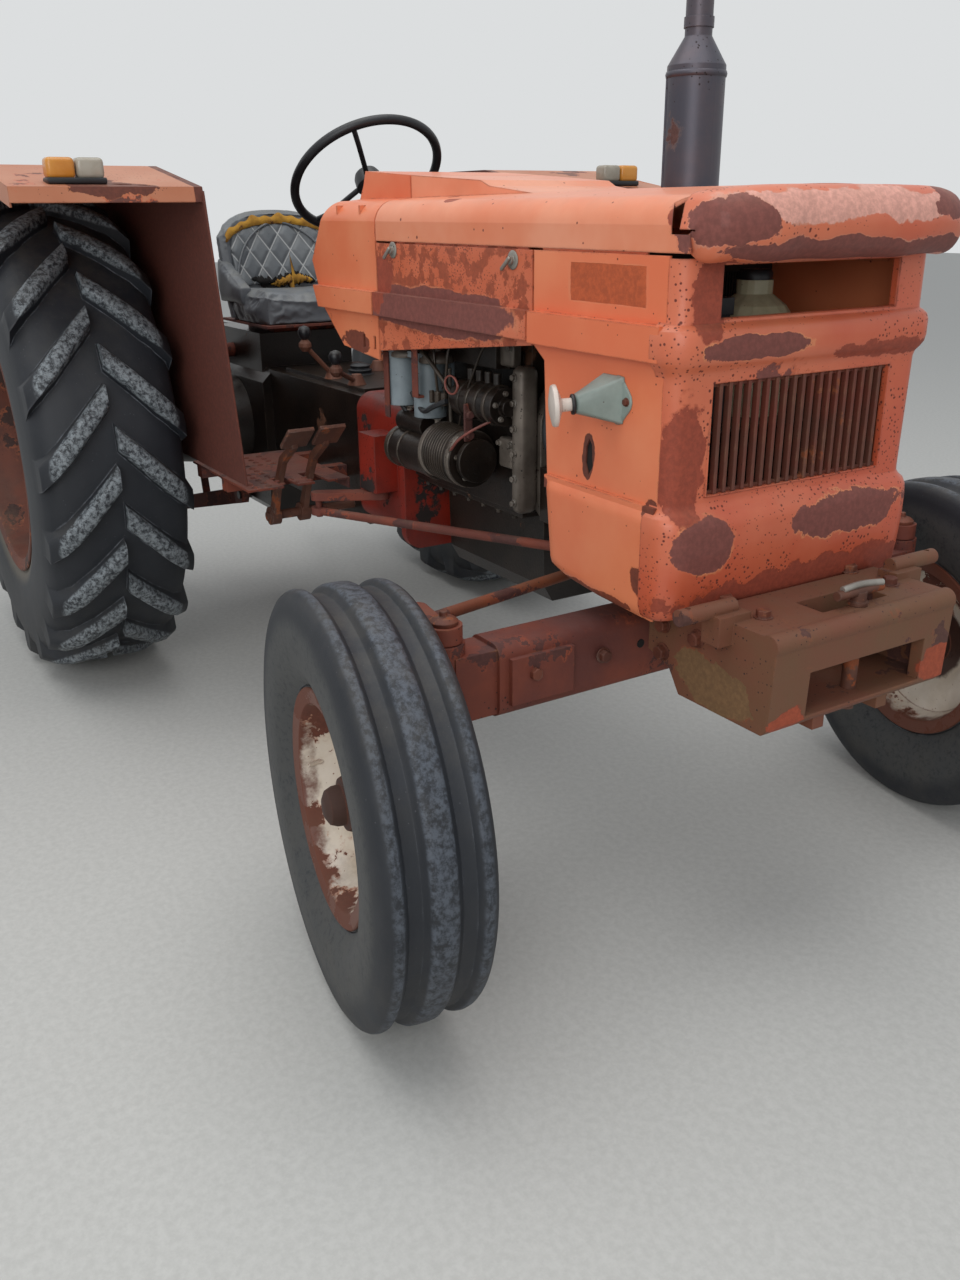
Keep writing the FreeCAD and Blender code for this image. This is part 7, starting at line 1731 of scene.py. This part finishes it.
@dataclass
class NoseSkin:
    """The pressed nose: rounded corners, bulging chin, belt, both openings and the rolled brow over them."""

    face_x: float = 2.385
    rear_x: float = 2.334
    half: float = 0.3015
    corner: float = 0.030
    thickness: float = 0.003
    heights: tuple[tuple[float, float], ...] = ((0.724, -0.010), (0.727, 0.002), (0.735, 0.010),
                                                (0.750, 0.016), (0.785, 0.021), (0.840, 0.024),
                                                (0.885, 0.0245), (0.903, 0.022), (0.914, 0.015),
                                                (0.921, 0.006), (0.928, 0.001), (0.936, 0.0), (0.945, 0.0),
                                                (1.138, 0.0), (1.148, 0.0), (1.158, 0.003), (1.166, 0.010),
                                                (1.175, 0.016), (1.188, 0.019), (1.215, 0.0185),
                                                (1.225, 0.015), (1.231, 0.008), (1.235, 0.001),
                                                (1.240, 0.0), (1.326, 0.0), (1.336, 0.0))
    openings: tuple[Triple, ...] = ((0.220, 0.945, 1.138), (0.215, 1.240, 1.326))

    def build(self) -> None:
        """Make the skin, the brow, the turned-in lips of the openings and the painted shade behind the holes
        in the nose's sides.
        """
        skin = self._skin()
        brow = SHOP.sheet("nose_brow", 60, 26, self._brow_point, self.thickness)
        pieces = [skin, brow, *self._lips()]
        mask = SHOP.joined("nose_skin", pieces)
        SHOP.place(mask, SPECIAL["nose_mask"], "tractor", ("nose_mask",))
        # Near-black sheets of painted shade just inside the holes in the nose's sides.
        dark = [SHOP.box("hole_back", at(2.12, -0.2985, 0.93), at(2.20, -0.2965, 1.03), 0.0),
                SHOP.box("hole_back", at(2.295, -0.2985, 0.765), at(2.332, -0.2965, 0.83), 0.0)]
        SHOP.fit("nose_hole_shade_backs", dark, HOLE_SHADE)

    def _stations(self) -> list[tuple[float, float, float, float]]:
        """Return the stations round the nose in plan: place and outward direction."""
        found = [(self.rear_x, -self.half, 0.0, -1.0)]
        for index in range(9):
            turn = pi / 2 * index / 8
            found.append((self.face_x - self.corner + self.corner * sin(turn),
                          -self.half + self.corner - self.corner * cos(turn), sin(turn), -cos(turn)))
        inner = (-0.245, -0.220, -0.215, -0.16, -0.1, -0.05, 0.0, 0.05, 0.1, 0.16, 0.215, 0.220, 0.245)
        found += [(self.face_x, y, 1.0, 0.0) for y in inner]
        found += [(x, -y, nx, -ny) for x, y, nx, ny in reversed(found[:10])]
        return found

    def _skin(self) -> Piece:
        """Make the pressed sheet with its two openings."""
        plan = self._stations()
        rows = self.heights

        def point(across: float, up: float) -> Vector:
            """Give the place of one crossing of a station and a height."""
            x, y, out_x, out_y = plan[round(across * (len(plan) - 1))]
            z, out = rows[round(up * (len(rows) - 1))]
            dent = 0.0015 * sin(y * 31.0 + z * 17.0) * sin(z * 43.0) if z < 0.93 else 0.0
            lean = 0.10 * (z - 0.722) - 0.035 if z < 1.2 else 0.0128
            reach = out + dent
            return at(x + out_x * (reach + lean * 0.25), y + out_y * min(reach, 0.0174), z)

        skin = SHOP.sheet("nose_skin", len(plan) - 1, len(rows) - 1, point, 0.0, 40.0)
        SHOP.pick(skin)
        bpy.ops.object.mode_set(mode="EDIT")
        bpy.ops.mesh.select_all(action="DESELECT")
        bpy.ops.mesh.select_mode(type="FACE")
        bpy.ops.object.mode_set(mode="OBJECT")
        for face in skin.data.polygons:
            middle = face.center
            face.select = any(abs(middle.y) < wide and low < middle.z < high for wide, low,
                              high in self.openings)
        bpy.ops.object.mode_set(mode="EDIT")
        bpy.ops.mesh.delete(type="FACE")
        bpy.ops.object.mode_set(mode="OBJECT")
        SHOP.modify(skin, "SOLIDIFY", thickness=self.thickness, offset=-1.0, use_even_offset=True)
        return SHOP.settle(skin, 32.0)

    def _lips(self) -> list[Piece]:
        """Make the edges of the openings, turned inward."""
        lips = []
        for wide, low, high in self.openings:
            corners = [(-wide, low), (wide, low), (wide, high), (-wide, high)]
            for index, (y, z) in enumerate(corners):
                end_y, end_z = corners[(index + 1) % 4]
                lows = Vector((min(y, end_y) - 0.0015, 0.0, min(z, end_z) - 0.0015))
                highs = Vector((max(y, end_y) + 0.0015, 0.0, max(z, end_z) + 0.0015))
                lips.append(SHOP.box("lip", at(self.face_x - 0.014, lows.x, lows.z),
                                     at(self.face_x + 0.0015, highs.x, highs.z), 0.0012, 1))
        return lips

    def _brow_point(self, across: float, along: float) -> Vector:
        """Give a point of the brow, from the bonnet's edge over the front and back under."""
        side = 2.0 * across - 1.0
        turn = radians(100.0 - 262.0 * along)
        ends = abs(side) ** 7
        past = max(0.0, (abs(side) - 0.90) / 0.10)
        closed = 0.03 + 0.97 * sqrt(max(0.0, 1.0 - past ** 2.5))
        deep = (0.050 - 0.010 * ends) * closed
        tall = (0.053 - 0.006 * ends) * closed
        centre_x = 2.436 - 0.030 * abs(side) ** 4
        centre_z = 1.388 - 0.010 * ends
        x = centre_x + deep * cos(turn)
        z = centre_z + tall * sin(turn) * (1.0 if turn > 0 else 1.05)
        if along < 0.06:
            x -= 0.03 * (0.06 - along) / 0.06
        crush = 0.004 * sin(side * 9.0 + 1.0) * sin(side * 3.1) * max(0.0, -sin(turn))
        crush += 0.006 * exp(-((side + 0.42) / 0.10) ** 2) * max(0.0, cos(turn))
        y = side * (self.half + 0.0005) * (1.0 - 0.012 * max(0.0, cos(turn)) * ends)
        return at(x - crush, y, z + crush * 0.5 + 0.003 * (1.0 - side * side) * max(0.0, sin(turn)))


@dataclass
class SidePressings:
    """The lower half of the nose's sides, pressed outward below a rounded rib."""

    side_y: float = 0.302
    top_z: float = 0.930
    outline: tuple[tuple[float, float], ...] = ((2.050, 0.759), (2.110, 0.741), (2.203, 0.731),
                                                (2.334, 0.725))
    relief: tuple[tuple[float, float], ...] = ((0.0, 0.002), (0.03, 0.009), (0.09, 0.0125), (0.5, 0.0135),
                                               (0.86, 0.014), (0.92, 0.011), (0.965, 0.004), (1.0, 0.0006))

    def build(self) -> None:
        """Make the pressing on each side."""
        for word, sign in SIDES:
            sheet = SHOP.sheet("nose_side_pressing_" + word, 24, 30, lambda a, u,
                               s=sign: self._point(a, u, s), 0.0024, 40.0)
            SHOP.place(sheet, SPECIAL["nose_sides"])

    def _along(self, table: tuple[tuple[float, float], ...], at_x: float) -> float:
        """Read a value off a short table, in a straight line between its rows."""
        for (x0, v0), (x1, v1) in zip(table, table[1:]):
            if at_x <= x1:
                return v0 + (v1 - v0) * (at_x - x0) / (x1 - x0)
        return table[-1][1]

    def _point(self, along: float, up: float, side: float) -> Vector:
        """Give a point of the pressing."""
        rear = 2.051 - 0.021 * up
        x = rear + (2.3335 - rear) * along
        low = self._along(self.outline, max(x, self.outline[0][0]))
        z = low + (self.top_z - low) * up
        out = self._along(self.relief, up) * min(1.0, 0.15 + along / 0.06)
        return at(x, side * (self.side_y + out), z)


@dataclass
class EngineSide:
    """What hangs on the engine's right side: ribs and ends of the units, brackets and hoses."""

    generator: tuple[float, float, float, float, float] = (1.495, 1.640, -0.232, 0.880, 0.064)
    starter: tuple[float, float, float, float, float] = (1.262, 1.470, -0.215, 0.850, 0.050)
    pump: tuple[float, float, float, float, float] = (1.570, 1.742, -0.210, 1.010, 0.042)

    def build(self) -> None:
        """Make the fittings."""
        self._ribs()
        self._brackets()
        self._hoses()

    def _band(self, unit: tuple[float, float, float, float, float], x: float, wide: float,
              over: float) -> Piece:
        """Make a band round a unit at one place along it."""
        radius = unit[4] + over
        rim = [(0.0, 0.0), (radius - 0.002, 0.0), (radius, 0.0015), (radius, wide - 0.0015),
               (radius - 0.002, wide), (0.0, wide)]
        return SHOP.turned("band", rim, at(x, unit[2], unit[3]), AHEAD, 48)

    def _ribs(self) -> None:
        """Make the ribs, end bells and screws of the three round units."""
        dark = [self._band(self.generator, 1.520 + index * 0.0105, 0.0045, 0.0028) for index in range(9)]
        dark += [self._band(self.pump, 1.600 + index * 0.036, 0.010, 0.003) for index in range(4)]
        dark += [self._band(self.starter, x, wide, 0.0024) for x, wide in ((1.266, 0.018), (1.330, 0.006),
                                                                           (1.440, 0.026))]
        pale = [self._band(self.generator, 1.499, 0.014, 0.0022), self._band(self.generator, 1.620, 0.016,
                                                                             0.0022)]
        for unit, end, reach in ((self.generator, 1.6405, 0.72), (self.starter, 1.4705, 0.70),
                                 (self.pump, 1.7425, 0.70)):
            for index in range(5):
                turn = tau * index / 5 + 0.4
                place = at(end, unit[2] + unit[4] * reach * cos(turn), unit[3] + unit[4] * reach * sin(turn))
                pale.append(SHOP.bolt("screw", place, AHEAD, 0.009, 0.006))
        SHOP.fit("unit_ribs", dark, OILY_STEEL)
        SHOP.fit("unit_ends", pale, ALLOY)

    def _brackets(self) -> None:
        """Make the generator's slotted strap, the hanging strap, the side covers and the dipstick."""
        rust = [SHOP.box("hanging_strap", at(1.446, -0.2795, 1.004), at(1.474, -0.2765, 1.118), 0.001, 1),
                SHOP.box("hanging_foot", at(1.446, -0.2795, 1.000), at(1.474, -0.262, 1.006), 0.001, 1),
                SHOP.box("adjuster", at(1.648, -0.262, 0.925), at(1.654, -0.240, 1.010), 0.002, 1),
                SHOP.bolt("nut", at(1.654, -0.251, 0.985), AHEAD, 0.016, 0.009),
                SHOP.bolt("nut", at(1.654, -0.251, 0.940), AHEAD, 0.016, 0.009)]
        SHOP.fit("engine_straps", rust, RUSTED)
        pale = []
        for x, z, wide, tall in ((1.335, 0.965, 0.040, 0.022), (1.700, 0.900, 0.028, 0.034),
                                 (1.690, 1.115, 0.040, 0.026)):
            pale.append(SHOP.box("cover", at(x - wide, -0.185, z - tall), at(x + wide, -0.160, z + tall),
                                 0.007, 3))
            for across in (-0.8, 0.8):
                place = at(x + wide * across, -0.185, z + tall * 0.6)
                pale.append(SHOP.bolt("screw", place, Vector((0.0, -1.0, 0.0)), 0.010, 0.006))
        pale.append(SHOP.box("front_plate", at(1.7435, -0.203, 0.775), at(1.786, -0.149, 1.098), 0.018, 4))
        for index in range(6):
            pale.append(SHOP.bolt("screw", at(1.765, -0.203, 0.80 + index * 0.055),
                                  Vector((0.0, -1.0, 0.0)), 0.012, 0.007))
        stick = [at(1.475, -0.165, 0.80), at(1.470, -0.190, 0.90), at(1.480, -0.196, 1.03),
                 at(1.487, -0.200, 1.065)]
        pale.append(SHOP.pipe("dipstick", stick, 0.0045, 2))
        SHOP.fit("engine_covers", pale, ALLOY)

    def _hoses(self) -> None:
        """Make the hoses and the coil of loose wire."""
        low = [at(1.93, -0.150, 0.925), at(1.88, -0.168, 0.915), at(1.845, -0.172, 0.960),
               at(1.835, -0.150, 1.020)]
        fuel = [at(1.575, -0.262, 1.006), at(1.52, -0.270, 0.985), at(1.47, -0.262, 0.965),
                at(1.42, -0.250, 0.975), at(1.385, -0.246, 1.0)]
        back = [at(1.31, -0.20, 0.92), at(1.29, -0.232, 0.955), at(1.262, -0.235, 1.04),
                at(1.258, -0.215, 1.12)]
        hoses = [SHOP.pipe("hose", low, 0.018, 4), SHOP.pipe("hose", fuel, 0.006, 3),
                 SHOP.pipe("hose", back, 0.007, 3)]
        SHOP.fit("engine_hoses", hoses, BLACK)
        coil = [at(1.60 + 0.030 * cos(turn * 0.9), -0.262 - 0.002 * (turn % 2),
                   1.045 + 0.022 * sin(turn * 0.9)) for turn in range(15)]
        SHOP.place(SHOP.pipe("engine_coil", coil, 0.0024, 2), WIRE_RED)


@dataclass
class Photograph:
    """The camera at the place and angle that the tractor is seen from."""

    place: Triple = (2.8940, -1.5422, 1.4134)
    yaw: float = 2.5859
    pitch: float = 0.3709
    roll: float = 0.0083
    lens: float = 31.26

    def build(self) -> Piece:
        """Make the camera and return it."""
        data = bpy.data.cameras.new("camera")
        data.sensor_fit = "AUTO"
        data.sensor_width = 36.0
        data.lens = self.lens
        data.clip_end = 200.0
        camera = bpy.data.objects.new("camera", data)
        bpy.context.scene.collection.objects.link(camera)
        forward = Vector((cos(self.yaw) * cos(self.pitch), sin(self.yaw) * cos(self.pitch),
                          -sin(self.pitch)))
        level = Vector((sin(self.yaw), -cos(self.yaw), 0.0))
        low = forward.cross(level)
        right = cos(self.roll) * level + sin(self.roll) * low
        down = cos(self.roll) * low - sin(self.roll) * level
        turn = Matrix((right, -down, -forward)).transposed().to_4x4()
        camera.matrix_world = Matrix.Translation(self.place) @ turn
        bpy.context.scene.camera = camera
        return camera


@dataclass
class Studio:
    """A plain pale floor and soft, even light."""

    floor_size: float = 60.0
    floor_colour: str = "b9b8b3"
    sky_power: float = 230.0
    side_power: float = 190.0
    sky_level: float = 0.6

    def build(self) -> None:
        """Make the floor, the lights and the world."""
        bpy.ops.object.select_all(action="DESELECT")
        bpy.ops.mesh.primitive_plane_add(size=self.floor_size, location=(0.0, 0.0, -0.0005))
        floor = bpy.context.active_object
        floor.name = "floor"
        made = bpy.data.materials.new("pale_floor")
        made.use_nodes = True
        shader = made.node_tree.nodes["Principled BSDF"]
        w = Wiring(made.node_tree)
        place = w.point()
        mottle = w.span(w.noise(place, 60.0, 6.0, 0.7), 0.3, 0.7)
        w.feed(shader.inputs["Base Color"], w.blend(mottle, tone(self.floor_colour), tone("c4c3be")))
        shader.inputs["Roughness"].default_value = 0.95
        floor.data.materials.append(made)
        self._light("sky_light", (0.5, -0.8, 6.5), (0.5, -0.2, 0.0), 6.5, self.sky_power)
        self._light("side_light", (6.0, -5.5, 3.6), (0.6, 0.0, 0.9), 4.5, self.side_power)
        self._world()

    def _light(self, name: str, place: Triple, target: Triple, size: float, power: float) -> None:
        """Make one large soft lamp that looks at a target."""
        data = bpy.data.lights.new(name, "AREA")
        data.shape = "SQUARE"
        data.size = size
        data.energy = power
        lamp = bpy.data.objects.new(name, data)
        bpy.context.scene.collection.objects.link(lamp)
        lamp.location = place
        lamp.rotation_euler = (Vector(target) - Vector(place)).to_track_quat("-Z", "Y").to_euler()

    def _world(self) -> None:
        """Make the even sky and the pale background."""
        world = bpy.data.worlds.new("studio")
        bpy.context.scene.world = world
        world.use_nodes = True
        world.node_tree.nodes.clear()
        w = Wiring(world.node_tree)
        path = w.add("ShaderNodeLightPath").outputs
        shown = w.most(path["Is Camera Ray"], path["Is Glossy Ray"])
        shown = w.most(shown, path["Is Transmission Ray"])
        light = w.add("ShaderNodeBackground", {"Color": tone("eef3fa"),
                                               "Strength": self.sky_level}).outputs[0]
        back = w.add("ShaderNodeBackground", {"Color": tone("dcdedf"), "Strength": 1.0}).outputs[0]
        mix = w.add("ShaderNodeMixShader", {0: shown, 1: light, 2: back}).outputs[0]
        w.feed(w.add("ShaderNodeOutputWorld").inputs["Surface"], mix)


@dataclass
class CarriedOver:
    """The solids that keep their shape and get their real finish."""

    nodes: dict[str, Piece]
    slots: dict[str, str] = field(default_factory=dict)
    special: dict[str, Finish] = field(default_factory=dict)

    def build(self) -> None:
        """Give every solid the finish of its slot or its own."""
        for name, piece in self.nodes.items():
            finish = self.special.get(name) or FINISHES[self.slots[name]]
            for place in piece.material_slots:
                place.material = finish.material()
            if not piece.material_slots:
                piece.data.materials.append(finish.material())
            log.info("finished %s in %s", name, finish.name)


def slot_names(record: dict) -> dict[str, str]:
    """Return the material slot of every node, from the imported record."""
    return {part["node"]: part["material_slot"] for part in record["subparts"]}


def main() -> None:
    """Build the tractor's visible surface and its studio."""
    logging.basicConfig(level=logging.INFO)
    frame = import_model()
    bpy.context.scene.view_settings.view_transform = "Standard"
    Photograph().build()
    Studio().build()
    CarriedOver(frame["nodes"], slot_names(frame["record"]), SPECIAL).build()
    for group in (RearTyres(), FrontTyres(), FrontRims(), RearRims(), HandWheel(), SideLamps(),
                  FenderLamps(), Latches(), TowFrameFittings(), AxleFittings(), Exhaust(), FrontBay(),
                  EngineFittings(), Controls(), Seat(), Footplates(), BodySeams(), RearFittings(),
                  NoseSkin(), SidePressings(), EngineSide()):
        group.build()


if __name__ == "__main__":
    main()
